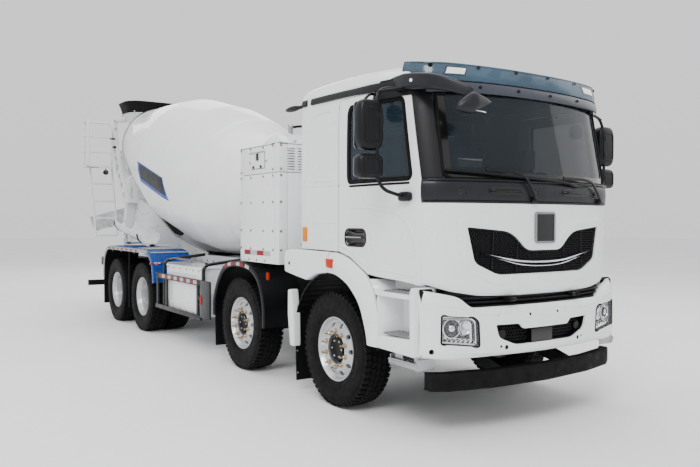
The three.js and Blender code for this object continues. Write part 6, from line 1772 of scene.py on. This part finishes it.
    # raised filler hood on the crown
    t.add(px(round_poly([(1.30, 2.60), (1.34, 2.665), (1.47, 2.712), (1.71, 2.712), (1.84, 2.665), (1.88, 2.60)], .03, 3), -.86, -.835), "white")
    t.add(px(round_poly([(1.30, 2.60), (1.34, 2.665), (1.47, 2.712), (1.71, 2.712), (1.84, 2.665), (1.88, 2.60)], .03, 3), .835, .86), "white")
    t.add(lathe([(0, .15), (.030, .148), (.034, .13), (.028, .12), (.028, 0)], (-.80, 1.50, 2.66), (0, 0, 1), 24), "alu")
    t.build(replaces="water_tank", angle=35)
    v = Piece("tank_hose", "chassis", "black_plastic")
    v.add(tube([(-.80, 1.50, 2.775), (-.74, 1.38, 2.785), (-.66, 1.16, 2.73), (-.60, 1.02, 2.62), (-.56, .97, 2.40), (-.56, .96, 1.5)], .014, 10, .10, 6), "seal")
    v.add(tube([(-.80, 1.46, 2.775), (-.80, 1.53, 2.775)], .018, 10, 0), "steel")
    v.add(box(-.61, -.51, .95, .975, 1.2, 1.55), "black")
    v.build(angle=40)
def pxs(pts, a, b): return px(pts, min(a, b), max(a, b))
cabinet()

# ------------------------------------------------------------------ second axle's mudguards
AO = catmull([(1.325, .56), (1.340, .83), (1.44, 1.06), (1.62, 1.20), (1.85, 1.25), (2.15, 1.25), (2.38, 1.19), (2.56, 1.04), (2.70, .80), (2.72, .56)], 7)
def along(P, u):
    L = [0]
    for a, b in zip(P, P[1:]): L.append(L[-1] + math.dist(a, b))
    s = u * L[-1]
    for i in range(len(P) - 1):
        if L[i] <= s <= L[i + 1] + 1e-9:
            t = (s - L[i]) / max(1e-9, L[i + 1] - L[i])
            d_ = Vector((P[i + 1][0] - P[i][0], P[i + 1][1] - P[i][1])).normalized()
            return (P[i][0] + (P[i + 1][0] - P[i][0]) * t, P[i][1] + (P[i + 1][1] - P[i][1]) * t), d_
    return P[-1], d_
def wing2(side):
    m = side == "left"
    p = Piece(f"axle_2_mudguard_{side}", "chassis", "black_plastic")
    def off(u, v_):
        c, d_ = along(AO, u); return (0, d_.y * .012, -d_.x * .012)
    p.add(slab(lambda u, v_: (-1.215 + .465 * v_, along(AO, u)[0][0], along(AO, u)[0][1]), 60, 6, off), "black")
    # thick rounded edge band facing outward
    def lip(u, v_):
        c, d_ = along(AO, u); k = .062 * v_
        return (-1.2195 - .010 * math.sin(math.pi * v_), c[0] + d_.y * k, c[1] - d_.x * k)
    p.add(slab(lip, 72, 8, lambda u, v_: (.022, 0, 0)), "black")
    # flap behind, bracket in front
    p.add(px([(2.668, .18), (2.682, .18), (2.70, .60), (2.686, .60)], -1.20, -.80), "mud")
    p.add(box(-.78, -.431, 1.328, 1.350, .77, .83), "chassis"); p.add(box(-.78, -.431, 2.656, 2.690, .82, .88), "chassis")
    p.build(replaces=f"axle_2_mudguard_{side}", mirror=m, angle=45)
    r = Piece(f"axle_2_reflectors_{side}", "chassis", "lens_red")
    for i, (a, b, c_) in enumerate(((.36, .405, "refl"), (.425, .465, "red"), (.47, .51, "refl"), (.52, .565, "red"), (.575, .615, "refl"), (.62, .66, "red"))):
        def tile(u, v_, a=a, b=b):
            c, d_ = along(AO, a + (b - a) * u); k = .012 + .036 * v_
            return (-1.2315, c[0] + d_.y * k, c[1] - d_.x * k)
        r.add(slab(tile, 6, 2, lambda u, v_: (.005, 0, 0)), c_)
    r.build(mirror=m, angle=40)
    a = Piece(f"axle_2_marker_{side}", "chassis", "lens_amber")
    c, d_ = along(AO, .250)
    a.add(pod((-1.11, c[0] - .010, c[1] + .010), (.022, .018, .050), 2.6, 24, 14), "orange")
    a.build(mirror=m, angle=40)
    b = Piece(f"axle_2_marker_base_{side}", "chassis", "black_plastic")
    b.add(pod((-1.11, c[0] - .003, c[1] + .003), (.030, .016, .062), 3.0, 24, 14), "black")
    b.add(tube([(-1.11, c[0] - .01, c[1] - .05), (-1.08, c[0] - .05, c[1] - .20), (-1.04, c[0] - .09, c[1] - .30)], .007, 8, .05), "seal")
    b.build(mirror=m, angle=40)
for s_ in ("right", "left"): wing2(s_)

# ------------------------------------------------------------------ side boxes, guards, hoops
def side_box(side):
    m = side == "left"
    p = Piece(f"side_box_{side}", "chassis", "white_paint")
    p.add(box(-1.198, -.562, 3.155, 4.418, .462, 1.098), "white")
    # lid with an overlapping edge, and a raised bar along the face
    p.add(box(-1.206, -.556, 3.148, 4.425, 1.080, 1.102), "white")
    p.add(px(round_poly([(3.30, 1.000), (4.28, 1.000), (4.28, 1.018), (3.30, 1.018)], .006, 3), -1.212, -1.19), "white")
    p.add(px(round_poly([(3.24, .56), (4.33, .56), (4.33, .575), (3.24, .575)], .005, 3), -1.205, -1.19), "white")
    p.build(replaces=f"side_box_{side}", mirror=m, bevel=.008, segs=3, angle=40)
    q = Piece(f"side_box_bolts_{side}", "chassis", "stud_steel")
    for y in (3.22, 3.42, 3.66, 3.90, 4.14, 4.36):
        q.add(bolt((-1.199, y, 1.060), (-1, 0, 0), .009, .007), "bolt"); q.add(bolt((-1.199, y, .500), (-1, 0, 0), .009, .007), "bolt")
        q.add(bolt((y * 0 - 1.05, y, 1.102), (0, 0, 1), .009, .007), "bolt")
    q.build(mirror=m, angle=35)
    g = Piece(f"side_guard_{side}", "chassis", "chassis_black")
    # hollow-faced rails: two flanges with the marking between them
    for z0, z1 in ((.882, .892), (.947, .957)): g.add(box(-1.240, -1.212, 3.082, 4.798, z0, z1), "darkgrey")
    g.add(box(-1.229, -1.214, 3.082, 4.798, .890, .949), "darkgrey")
    g.add(box(-1.240, -1.212, 3.082, 4.798, .440, .500), "darkgrey")
    for y in (3.21, 4.37, 4.745): g.add(px([(y - .028, .442), (y + .028, .442), (y + .028, .955), (y - .028, .955)], -1.232, -1.206), "darkgrey")
    g.add(pxs(round_poly([(2.782, .482), (3.083, .482), (3.083, .958), (2.782, .958)], .012, 3), -1.240, -1.216), "darkgrey")
    for y in (3.10, 4.48): g.add(box(-1.215, -1.165, y - .02, y + .06, .890, .930), "chassis")
    g.add(box(-1.236, -1.190, 3.042, 3.198, .702, .758), "chassis")
    for y in (3.34, 4.23): g.add(box(-.60, -.431, y - .04, y + .04, .90, 1.0), "chassis")
    g.build(mirror=m, bevel=.003, angle=35)
    r = Piece(f"side_guard_marking_{side}", "chassis", "lens_red")
    stripes(r, lambda u, v_, h: (-1.2292 - h, 4.66 - 1.44 * u, .894 + .051 * v_), 12)
    r.build(mirror=m, angle=35)
    a = Piece(f"side_lamps_{side}", "chassis", "lens_amber")
    a.add(pod((-1.243, 3.055, .70), (.010, .016, .055), 3.0, 18, 10), "orange")
    a.add(pod((-1.22, 4.80, 1.075), (.020, .040, .014), 3.0, 18, 10), "orange")
    a.build(mirror=m, angle=40)
    h = Piece(f"side_hoops_{side}", "chassis", "black_plastic")
    for y, z0 in ((3.105, .62), (4.56, .47)):
        h.add(tube([(-1.185, y, z0), (-1.185, y, 1.10), (-1.13, y, 1.150), (-.56, y, 1.212)], .0225, 14, .10, 7), "gloss")
    # long hand tube over the box
    h.add(tube([(-1.145, 3.10, 1.165), (-1.10, 3.4, 1.178), (-1.10, 4.4, 1.178), (-1.15, 4.80, 1.085)], .016, 12, .15, 6), "gloss")
    h.build(mirror=m, angle=45)
for s_ in ("right", "left"): side_box(s_)

# ------------------------------------------------------------------ rear mudguards
RO = [(4.865, .79), (4.885, .93), (4.915, 1.05), (4.975, 1.15), (5.08, 1.225), (5.23, 1.262), (5.6, 1.266), (6.2, 1.266), (6.8, 1.266), (7.22, 1.264), (7.36, 1.243), (7.47, 1.18), (7.55, 1.08), (7.59, .95), (7.605, .82), (7.61, .70)]
RO = catmull(RO, 4)
def rear_guard(side):
    m = side == "left"
    p = Piece(f"rear_mudguard_{side}", "chassis", "blue_plastic")
    # pressed ribs run across the guard
    RIBS = [.085, .145, .205, .262, .32, .38, .44, .50, .56, .62, .68, .74, .80]
    def sk(u, v_):
        c, d_ = along(RO, u)
        k = sum(math.exp(-((u - r) / .0062) ** 2) for r in RIBS) * .017 * (1 if .05 < v_ < .95 else .4)
        return (-1.240 + .615 * v_, c[0] - d_.y * k, c[1] + d_.x * k)
    p.add(slab(sk, 260, 10, lambda u, v_: (0, along(RO, u)[1].y * .016, -along(RO, u)[1].x * .016)), "blue")
    p.build(replaces=f"rear_mudguard_{side}", mirror=m, angle=45)
    li = Piece(f"rear_guard_liner_{side}", "chassis", "black_plastic")
    def inner(u, v_):
        c, d_ = along(RO, .012 + .976 * u)
        return (-1.236 + .606 * v_, c[0] + d_.y * .019, c[1] - d_.x * .019)
    li.add(slab(inner, 70, 3, lambda u, v_: (0, along(RO, u)[1].y * .004, -along(RO, u)[1].x * .004)), "seal")
    li.build(mirror=m, angle=45)
    # light strips along the crests of the first five ribs: painted highlights
    rb = Piece(f"rear_guard_rib_highlights_{side}", "chassis", "chute_grey")
    for r_ in RIBS[:5]:
        pth = []
        for k in range(13):
            v_ = .03 + .94 * k / 12
            c, d_ = along(RO, r_)
            pth.append((Vector((-1.240 + .615 * v_, c[0] - d_.y * .018, c[1] + d_.x * .018)), Vector((0, -d_.y, d_.x))))
        rb.add(sweep(pth, bead(.022, .0060)), "refl")
    rb.build(mirror=m, angle=45)
    p = Piece(f"rear_guard_front_edge_{side}", "chassis", "blue_plastic")
    def lip0(u, v_):
        c, d_ = along(RO, u * .20); k = -.004 + .080 * v_ * (1 - .1 * u)
        return (-1.243 - .006 * math.sin(math.pi * v_), c[0] + d_.y * k, c[1] - d_.x * k)
    p.add(slab(lip0, 24, 5, lambda u, v_: (.012, 0, 0)), "blue")
    p.build(mirror=m, angle=45)
    q = Piece(f"rear_guard_edge_{side}", "chassis", "chute_grey")
    def lip(u, v_):
        c, d_ = along(RO, .17 + .83 * u); k = -.006 + .056 * v_
        return (-1.2435 - .008 * math.sin(math.pi * v_), c[0] + d_.y * k, c[1] - d_.x * k)
    q.add(slab(lip, 90, 6, lambda u, v_: (.014, 0, 0)), "alu")
    for i in range(7):
        def tile(u, v_, i=i):
            c, d_ = along(RO, .315 + .072 * i + .030 * u); k = .008 + .034 * v_
            return (-1.2515, c[0] + d_.y * k, c[1] - d_.x * k)
        q.add(slab(tile, 4, 2, lambda u, v_: (.004, 0, 0)), "red" if i != 4 else "orange")
    q.build(mirror=m, angle=40)
    k = Piece(f"rear_guard_stays_{side}", "chassis", "chassis_black")
    k.add(box(-.70, -.431, 4.872, 4.894, .90, .96), "chassis"); k.add(box(-.76, -.431, 6.125, 6.165, .96, 1.0), "chassis")
    k.add(box(-.90, -.72, 6.125, 6.165, .96, 1.245), "chassis"); k.add(box(-.70, -.431, 7.58, 7.604, .82, .88), "chassis")
    k.add(tube([(-1.215, 6.145, 1.245), (-1.215, 6.145, .62), (-1.215, 6.145, .30)], .013, 10, 0), "chassis")
    k.add(tube([(-1.215, 6.145, .98), (-.74, 6.145, .98)], .013, 10, 0), "chassis")
    k.add(px([(7.586, .23), (7.598, .23), (7.604, .80), (7.592, .80)], -1.235, -.64), "mud")
    for y in (5.3, 5.8, 6.5, 7.0): k.add(bolt((-1.244, y, 1.205), (-1, 0, 0), .009, .007), "steel")
    k.build(mirror=m, angle=40)
    a = Piece(f"rear_guard_lamp_{side}", "chassis", "lens_amber")
    a.add(pod((-1.262, 4.93, 1.075), (.018, .030, .016), 3.0, 16, 10), "orange")
    a.build(mirror=m, angle=40)
    # rear lamp cluster on its arm
    t = Piece(f"tail_lamp_{side}", "chassis", "lens_red")
    t.add(box(-1.205, -.86, 7.86, 7.875, .905, 1.055), "darkgrey")
    t.add(px(round_poly([(7.735, .92), (7.86, .905), (7.86, 1.055), (7.735, 1.04)], .012, 3), -1.212, -.85), "darkgrey")
    for i, c_ in enumerate(("orange", "red", "refl")):
        x0 = -1.200 + .115 * i
        t.add(py(rounded(x0, x0 + .105, .918, 1.042, .014, 4), 7.872, 7.895), c_)
    t.add(box(-.86, -.431, 7.78, 7.83, .94, .99), "chassis")
    t.build(mirror=m, bevel=.002, angle=35)
for s_ in ("right", "left"): rear_guard(s_)

# ------------------------------------------------------------------ dressings of the mixer's frame
def frame_dress():
    p = Piece("frame_ridges", "chassis", "white_paint")
    for sg in (-1, 1):
        X = sg * .4265
        for a, b in (((7.05, 1.62), (7.50, 1.60)), ((7.0, 1.42), (7.45, 1.40)), ((7.60, 1.86), (8.02, 1.84)), ((6.3, 1.28), (7.3, 1.26))):
            p.add(sweep([(Vector((X, a[0] + (b[0] - a[0]) * k / 6, a[1] + (b[1] - a[1]) * k / 6)), Vector((sg, 0, 0))) for k in range(7)], bead(.038, .012)), "framewhite")
        # folded flange on the sloping edge
        e = [(4.83, 1.225), (6.12, 1.443), (7.41, 1.972), (7.96, 2.104), (8.42, 2.104)]
        p.add(tube([(sg * .418, y, z) for y, z in e], .02, 4, 0, section=[(-.030, -.004), (.030, -.004), (.030, .006), (-.030, .006)]), "framewhite")
        # black plate between the slope and the drum: painted shade of the frame's far side
        p.add(pxs([(7.44, 1.935), (7.10, 1.800), (6.633, 1.606), (6.19, 1.490), (5.90, 1.47), (5.80, 1.515), (5.87, 1.560), (6.617, 1.742), (7.2, 1.868)], sg * .402, sg * .414), "seal")
        # hatch ring on the upright
        p.add(pxs(rounded(8.20, 8.36, 1.55, 1.86, .03, 4), sg * .4265, sg * .434), "framewhite")
        # flanges of the rear arms
        arm = [(8.20, 2.08), (8.64, 2.64), (8.90, 3.14), (8.96, 3.44), (9.04, 3.56)]
        p.add(sweep([(Vector((sg * .615, y, z)), Vector((0, -.85, .5)).normalized()) for y, z in dense(arm, .1)], flatbar(.075, .006, .003)), "framewhite")
        arm = [(8.39, 2.08), (8.765, 2.52), (9.066, 3.06), (9.156, 3.44), (9.05, 3.565)]
        p.add(sweep([(Vector((sg * .615, y, z)), Vector((0, .85, -.5)).normalized()) for y, z in dense(arm, .1)], flatbar(.075, .006, .003)), "framewhite")
    p.build(angle=40)
    b = Piece("frame_bolts", "chassis", "stud_steel")
    for sg in (-1, 1):
        for i in range(26):
            y = 2.2 + .235 * i
            b.add(bolt((sg * .4255, y, 1.105), (sg, 0, 0), .011, .010), "bolt" if i < 14 else "steel")
        for y, z in ((8.22, 1.95), (8.36, 1.95), (8.22, 1.30), (8.36, 1.30), (9.0, 3.46), (9.06, 3.38), (8.50, 2.40), (8.58, 2.50)):
            b.add(bolt((sg * (.4255 if z < 2 else .6405), y, z), (sg, 0, 0), .013, .011), "steel")
    b.build(angle=35)
    r = Piece("frame_reflectors", "chassis", "lens_red")
    for sg in (-1, 1):
        for (y, z), c_ in (((8.36, 2.22), "orange"), ((8.52, 2.42), "red"), ((8.66, 2.60), "orange"), ((8.78, 2.78), "red"), ((8.88, 2.96), "orange"), ((8.96, 3.12), "red")):
            d_ = Vector((.55, .83))
            pts = [(y - .012, z - .045), (y + .020, z - .050), (y + .050, z + .040), (y + .018, z + .045)]
            r.add(pxs(pts, sg * .640, sg * .645), c_)
        for (y, z), c_ in (((8.46, 1.70), "orange"), ((8.42, 1.58), "red"), ((8.48, 1.46), "red"), ((8.50, 1.35), "orange")):
            r.add(pxs(rounded(y - .022, y + .022, z - .014, z + .014, .005, 3), sg * .600, sg * .606), c_)
    r.build(angle=35)
    # hydraulic lines along the frame and the drum's gearbox details
    h = Piece("frame_hoses", "chassis", "black_plastic")
    for sg in (-1, 1):
        for k in range(3):
            h.add(tube([(sg * .20, 2.35, 1.55 - .05 * k), (sg * .25, 2.6, 1.30), (sg * (.30 - .03 * k), 3.2, 1.13 + .02 * k), (sg * (.30 - .03 * k), 8.0, 1.13 + .02 * k)], .011, 8, .12), "seal")
    gx = drum_pt(-3.18, 0)
    h.add(lathe([(0, 0), (.16, 0), (.17, .03), (.17, .20), (.215, .24), (.215, .30), (.19, .32), (.19, .40), (0, .41)], gx, (0, DC, DS), 40), "motor")
    for k in range(10):
        t = 2 * math.pi * k / 10
        q = drum_pt(-2.885, .20 * math.sin(t), .20 * math.cos(t))
        h.add(bolt(q, (0, -DC, -DS), .012, .012), "steel")
    h.build(angle=35)
frame_dress()

# ------------------------------------------------------------------ hopper and funnel
def loft_rings(rings, close=True):
    v, f = [], []
    n = len(rings[0])
    for r_ in rings: v += r_
    for k in range(len(rings) - 1):
        for i in range(n):
            f.append((k * n + i, k * n + (i + 1) % n, (k + 1) * n + (i + 1) % n, (k + 1) * n + i))
    if close:
        k = len(rings) - 1
        for i in range(n): f.append((k * n + i, k * n + (i + 1) % n, (i + 1) % n, i))
    return v, f
def rr(w_, l, cy, z, r=.05):
    return [(x, cy + y, z) for x, y in rounded(-w_, w_, -l, l, r, 5)]
def hopper():
    p = Piece("charging_hopper", "chassis", "white_paint")
    t = .012
    out = [(.232, .162, 8.44, 3.24, .10), (.262, .192, 8.50, 3.38, .14), (.34, .25, 8.515, 3.50, .17), (.46, .335, 8.54, 3.66, .22), (.56, .40, 8.56, 3.80, .26)]
    rings = [rr(a, b, c, z, r) for a, b, c, z, r in out] + [rr(a - t, b - t, c, z, r - t) for a, b, c, z, r in reversed(out)]
    p.add(loft_rings(rings), "framewhite")
    # rolled joint and stiffening flange under the skirt
    p.add(loft_rings([rr(.572, .412, 8.56, 3.792, .27), rr(.585, .425, 8.56, 3.800, .28), rr(.572, .412, 8.56, 3.808, .27), rr(.545, .385, 8.56, 3.800, .25)]), "framewhite")
    for sg in (-1, 1):
        p.add(pxs(round_poly([(8.965, 3.565), (9.045, 3.565), (9.045, 3.69), (9.045, 3.732), (8.965, 3.732)], .01, 2), sg * .638, sg * .592), "framewhite")
        p.add(pz(rounded(min(sg * .44, sg * .638), max(sg * .44, sg * .638), 8.80, 9.048, .02, 3), 3.692, 3.733), "framewhite")
        p.add(pxs([(8.62, 3.42), (8.96, 3.70), (8.90, 3.73), (8.60, 3.50)], sg * .30, sg * .33), "framewhite")
        for y in (8.98, 9.03): p.add(bolt((sg * .615, y, 3.733), (0, 0, 1), .014, .012), "steel")
    p.build(replaces="charging_hopper", angle=40)
    s = Piece("hopper_skirt", "chassis", "skirt_rubber")
    prof = [(.560, .400, 3.795, .27), (.575, .415, 3.88, .28), (.600, .435, 3.96, .29), (.626, .455, 4.018, .30), (.622, .451, 4.026, .30), (.612, .441, 4.026, .29), (.588, .423, 3.96, .28), (.563, .403, 3.88, .27), (.548, .388, 3.795, .26)]
    s.add(loft_rings([rr(a, b, 8.56 + .01 * (z - 3.8) / .24, z, r) for a, b, z, r in prof]), "mud")
    for x in (-.5, -.25, 0, .25, .5):
        for sg in (-1, 1): s.add(bolt((x, 8.56 + sg * .405, 3.82), (0, sg, .2), .011, .008), "steel")
    s.build(angle=40)
    # funnel: two folded wings and a sloping floor
    f = Piece("discharge_funnel", "chassis", "white_paint")
    def plate(pts, th=.010, key="framewhite"):
        P = [Vector(q) for q in pts]
        n = (P[1] - P[0]).cross(P[2] - P[0]).normalized() * th
        k = len(P)
        v = [tuple(q) for q in P] + [tuple(q + n) for q in P]
        f.add((v, [tuple(range(k - 1, -1, -1)), tuple(range(k, 2 * k))] + [(i, (i + 1) % k, k + (i + 1) % k, k + i) for i in range(k)]), key)
    for sg in (-1, 1):
        a = [(sg * .49, 8.70, 3.12), (sg * .49, 9.30, 3.12), (sg * .49, 9.395, 2.705), (sg * .49, 8.62, 2.72)]
        plate(a if sg > 0 else a[::-1], .012)
        b = [(sg * .49, 8.62, 2.72), (sg * .49, 9.395, 2.705), (sg * .195, 9.395, 2.178), (sg * .195, 9.09, 2.178)]
        plate(b if sg > 0 else b[::-1], .012)
        f.add(tube([(sg * .49, 8.68, 3.12), (sg * .49, 9.31, 3.12)], .014, 10, 0), "framewhite")
        f.add(pxs(rounded(8.93, 8.99, 2.99, 3.05, .01, 3), sg * .589, sg * .49), "framewhite")
    plate([(-.49, 9.30, 3.12), (-.49, 9.395, 2.705), (-.195, 9.395, 2.178), (.195, 9.395, 2.178), (.49, 9.395, 2.705), (.49, 9.30, 3.12)], .012)
    plate([(-.485, 8.60, 2.76), (.485, 8.60, 2.76), (.195, 9.09, 2.176), (-.195, 9.09, 2.176)], .012)
    f.add(tube([(-.49, 9.302, 3.12), (.49, 9.302, 3.12)], .014, 10, 0), "framewhite")
    f.add(tube([(-.195, 9.09, 2.178), (-.195, 9.395, 2.178), (.195, 9.395, 2.178), (.195, 9.09, 2.178)], .010, 8, .02), "mud")
    f.build(replaces="discharge_funnel", angle=40)
hopper()

# ------------------------------------------------------------------ chutes
REST = R(48)
def chute_pt(a, l, u):
    return (0 - math.sin(REST) * a - math.cos(REST) * l, 9.28 + math.cos(REST) * a - math.sin(REST) * l, u)
def chutes():
    SL = R(14); ca, sa = math.cos(SL), math.sin(SL)
    def place(vf):
        v, f = vf
        out = []
        for a, l, u in v:
            du = u + .260
            out.append(chute_pt(a * ca + du * sa, l, 1.705 - a * sa + du * ca))
        return out, f
    p = Piece("main_chute", "main_chute", "chute_grey")
    def trough(R0, R1, a0, a1, top, na=24):
        n = 28
        rings = []
        sec = [(-R0, top)] + [(R0 * math.cos(math.pi + math.pi * k / n), R0 * math.sin(math.pi + math.pi * k / n)) for k in range(n + 1)] + [(R0, top)]
        sec += [(R1, top)] + [(R1 * math.cos(2 * math.pi - math.pi * k / n), R1 * math.sin(2 * math.pi - math.pi * k / n)) for k in range(n + 1)] + [(-R1, top)]
        v, f = [], []
        for i in range(na + 1):
            a = a0 + (a1 - a0) * i / na
            v += [(a, l, u) for l, u in sec]
        m = len(sec)
        for i in range(na):
            for k in range(m): f.append((i * m + k, i * m + (k + 1) % m, (i + 1) * m + (k + 1) % m, (i + 1) * m + k))
        # end faces as strips between the two skins
        half = m // 2
        for base in (0, na * m):
            for k in range(half - 1): f.append((base + k, base + k + 1, base + m - 2 - k, base + m - 1 - k))
        return v, f
    p.add(place(trough(.212, .198, -.170, 1.02, .060)), "chute")
    # rolled top edges, ribs under the trough, lip at the end, hinge eye
    for s in (-1, 1): p.add(place(tube([(-.17, s * .205, .062), (1.02, s * .205, .062)], .012, 10, 0)), "chute")
    for a in (-.12, .30, .70): 
        v, f = trough(.224, .212, a - .018, a + .018, .030, 1); p.add(place((v, f)), "chute")
    p.add(place(trough(.226, .212, .985, 1.02, .055, 1)), "framewhite")
    p.add(place(box(-.045, .045, -.055, -.030, -.290, -.205)), "chute"); p.add(place(box(-.045, .045, .030, .055, -.290, -.205)), "chute")
    p.add(place(box(-.06, .06, -.055, .055, -.225, -.205)), "chute")
    p.add(place(tube([(.75, -.20, -.02), (.80, -.27, -.02), (.95, -.27, -.02), (.99, -.20, -.02)], .009, 8, .03)), "chute")
    p.build(replaces="main_chute", angle=40)
    w_ = Piece("chute_swivel", "chute_swivel", "white_paint")
    def local(vf): return [chute_pt(*q) for q in vf[0]], vf[1]
    w_.add(local(lathe([(0, 1.150), (.052, 1.150), (.052, 1.203), (.088, 1.206), (.090, 1.212), (.090, 1.236), (.084, 1.242), (.056, 1.246), (.052, 1.27), (.052, 1.56), (.060, 1.575), (.060, 1.592), (0, 1.60)], (0, 0, 0), (0, 0, 1), 40)), "framewhite")
    w_.add(local(pz(rounded(-.06, .06, -.09, .09, .012, 4), 1.592, 1.640)), "framewhite")
    for s in (-1, 1):
        w_.add(local(py(round_poly([(-.04, 1.63), (.04, 1.63), (.04, 1.70), (.02, 1.725), (-.02, 1.725), (-.04, 1.70)], .012, 3), *sorted((s * .090, s * .062)))), "framewhite")
    w_.add(local(cyl((0, -.094, 1.705), (0, .094, 1.705), .012, 16)), "steel")
    w_.add(local(cyl((0, -.104, 1.705), (0, -.092, 1.705), .020, 6)), "steel")
    w_.add(local(tube([(.05, 0, 1.30), (.20, 0, 1.34)], .012, 8, 0)), "steel")
    w_.build(replaces="chute_swivel", angle=40)
    e = Piece("extension_chute", "chassis", "white_paint")
    E0 = R(9)
    def lay(vf): return [(-.945 + l, 5.90 + a * math.cos(E0) - u * math.sin(E0), 1.475 + a * math.sin(E0) + u * math.cos(E0)) for a, l, u in vf[0]], vf[1]
    e.add(lay(trough(.172, .160, 0, 1.40, .002, 28)), "framewhite")
    for s in (-1, 1): e.add(lay(tube([(0, s * .166, .004), (1.40, s * .166, .004)], .010, 10, 0)), "framewhite")
    for a in (.015, .70, 1.385): e.add(lay(trough(.181, .171, a - .012, a + .012, .0, 1)), "framewhite")
    for y in (5.92, 7.22):
        e.add(box(-.96, -.431, y - .02, y + .02, 1.298, 1.330), "framewhite"); e.add(box(-.99, -.87, y - .02, y + .02, 1.298, 1.345), "framewhite")
        dz = (y - 5.90) * .158
        if y > 6.5: e.add(tube([(-.945, y, 1.30), (-.945, y, 1.325 + dz)], .022, 10, 0), "framewhite")
        e.add(lay(trough(.186, .174, y - 5.90 + .10, y - 5.90 + .14, .0, 1)), "mud")
    e.build(replaces="extension_chute", angle=40)
chutes()

# ------------------------------------------------------------------ ladder and platform
def ladder():
    p = Piece("ladder", "chassis", "white_paint")
    r = .0205
    T = lambda *q, rad=.0, rr_=r: p.add(tube(list(q), rr_, 12, rad), "framewhite")
    L0, L1 = (-1.095, 9.12, 2.79), (-.985, 9.10, 1.40); R0, R1 = (-.668, 9.12, 2.79), (-.560, 9.10, 1.40)
    T(L0, L1); T(R0, R1)
    def at(a, b, z):
        t = (a[2] - z) / (a[2] - b[2]); return tuple(a[i] + (b[i] - a[i]) * t for i in range(3))
    for z in (1.415, 1.76, 2.105, 2.45): T(at(L0, L1, z), at(R0, R1, z), rr_=.0185)
    T(at(L0, L1, 1.42), (-.985, 9.02, 1.405)); 
    # rails with rounded corners
    T((-1.200, 8.805, 2.78), (-1.200, 8.805, 3.668), (-1.200, 9.135, 3.668), (-1.200, 9.135, 3.60), rad=.09)
    T((-1.200, 9.135, 2.78), (-1.200, 9.135, 3.668), (-.665, 9.135, 3.668), (-.665, 9.135, 2.78), rad=.10)
    for z in (3.08, 3.38):
        T((-1.200, 8.805, z), (-1.200, 9.135, z), rr_=.0145); T((-1.200, 9.135, z), (-.665, 9.135, z), rr_=.0145)
    # deck: angle frame, grating bars, toe strip
    for a, b in (((-1.215, 8.79), (-.646, 8.79)), ((-1.215, 9.15), (-.646, 9.15)), ((-1.215, 8.79), (-1.215, 9.15)), ((-.646, 8.79), (-.646, 9.15))):
        x0, x1 = sorted((a[0], b[0])); y0, y1 = sorted((a[1], b[1]))
        p.add(box(x0 - .002, x1 + .002, y0 - .002, y1 + .002, 2.765, 2.800) if (x1 - x0 < .01 or y1 - y0 < .01) and False else box(min(x0, x1) - .004, max(x0, x1) + .004, min(y0, y1) - .004, max(y0, y1) + .004, 2.765, 2.800), "framewhite")
    for i in range(22): 
        x = -1.200 + .0255 * i; p.add(box(x - .002, x + .002, 8.792, 9.148, 2.775, 2.798), "alu")
    for j in range(7):
        y = 8.83 + .047 * j; p.add(tube([(-1.213, y, 2.795), (-.648, y, 2.795)], .003, 6, 0), "alu")
    p.add(box(-1.0, -.641, 8.792, 8.848, 2.737, 2.768), "framewhite")
    p.build(replaces="ladder", angle=40)
    # work lamp under the deck
    l = Piece("work_lamp", "chassis", "black_plastic")
    l.add(lathe([(0, -.035), (.035, -.030), (.052, -.005), (.054, .020), (.050, .024), (.044, .018), (0, .012)], (-.853, 8.86, 2.672), (-.35, -.75, -.55), 28), "gloss")
    l.add(tube([(-.853, 8.87, 2.70), (-.853, 8.88, 2.770)], .010, 8, 0), "black")
    l.build(angle=40)
    # bracket beside the arm
    b = Piece("hopper_bracket", "chassis", "black_plastic")
    b.add(box(-.74, -.642, 8.93, 8.99, 3.33, 3.36), "gloss")
    b.add(box(-.70, -.642, 8.88, 8.98, 3.16, 3.20), "gloss")
    b.build(bevel=.004, angle=40)
ladder()
drop(SHELL)

# ------------------------------------------------------------------ finishes of the CAD pieces that stay
FINISH = {"white_paint": "framewhite", "chassis_black": "chassis", "tyre": "tyre", "rim_silver": "rim", "motor_grey": "motor", "window_glass": "glass",
          "visor_tint": "visor", "black_plastic": "black", "seat_fabric": "fabric", "blue_plastic": "blue", "chute_grey": "chute", "bright_chrome": "chrome",
          "lens_clear": "clear", "lens_amber": "amber", "lens_red": "red", "step_aluminium": "alu", "mirror_glass": "mirror", "stud_steel": "steel", "skirt_rubber": "mud"}
node_slot = {}
for m_ in frame["record"].get("subparts", []):
    node_slot[m_["node"]] = m_["material_slot"]
for n_, o_ in frame["nodes"].items():
    k_ = FINISH.get(node_slot.get(n_) or "", "chassis")
    if n_ in ("chassis_frame", "axle_1_beam", "axle_2_beam", "rear_bogie") or "knuckle" in n_: k_ = "chassis"
    o_.data.materials.clear()
    o_.data.materials.append(M[k_])
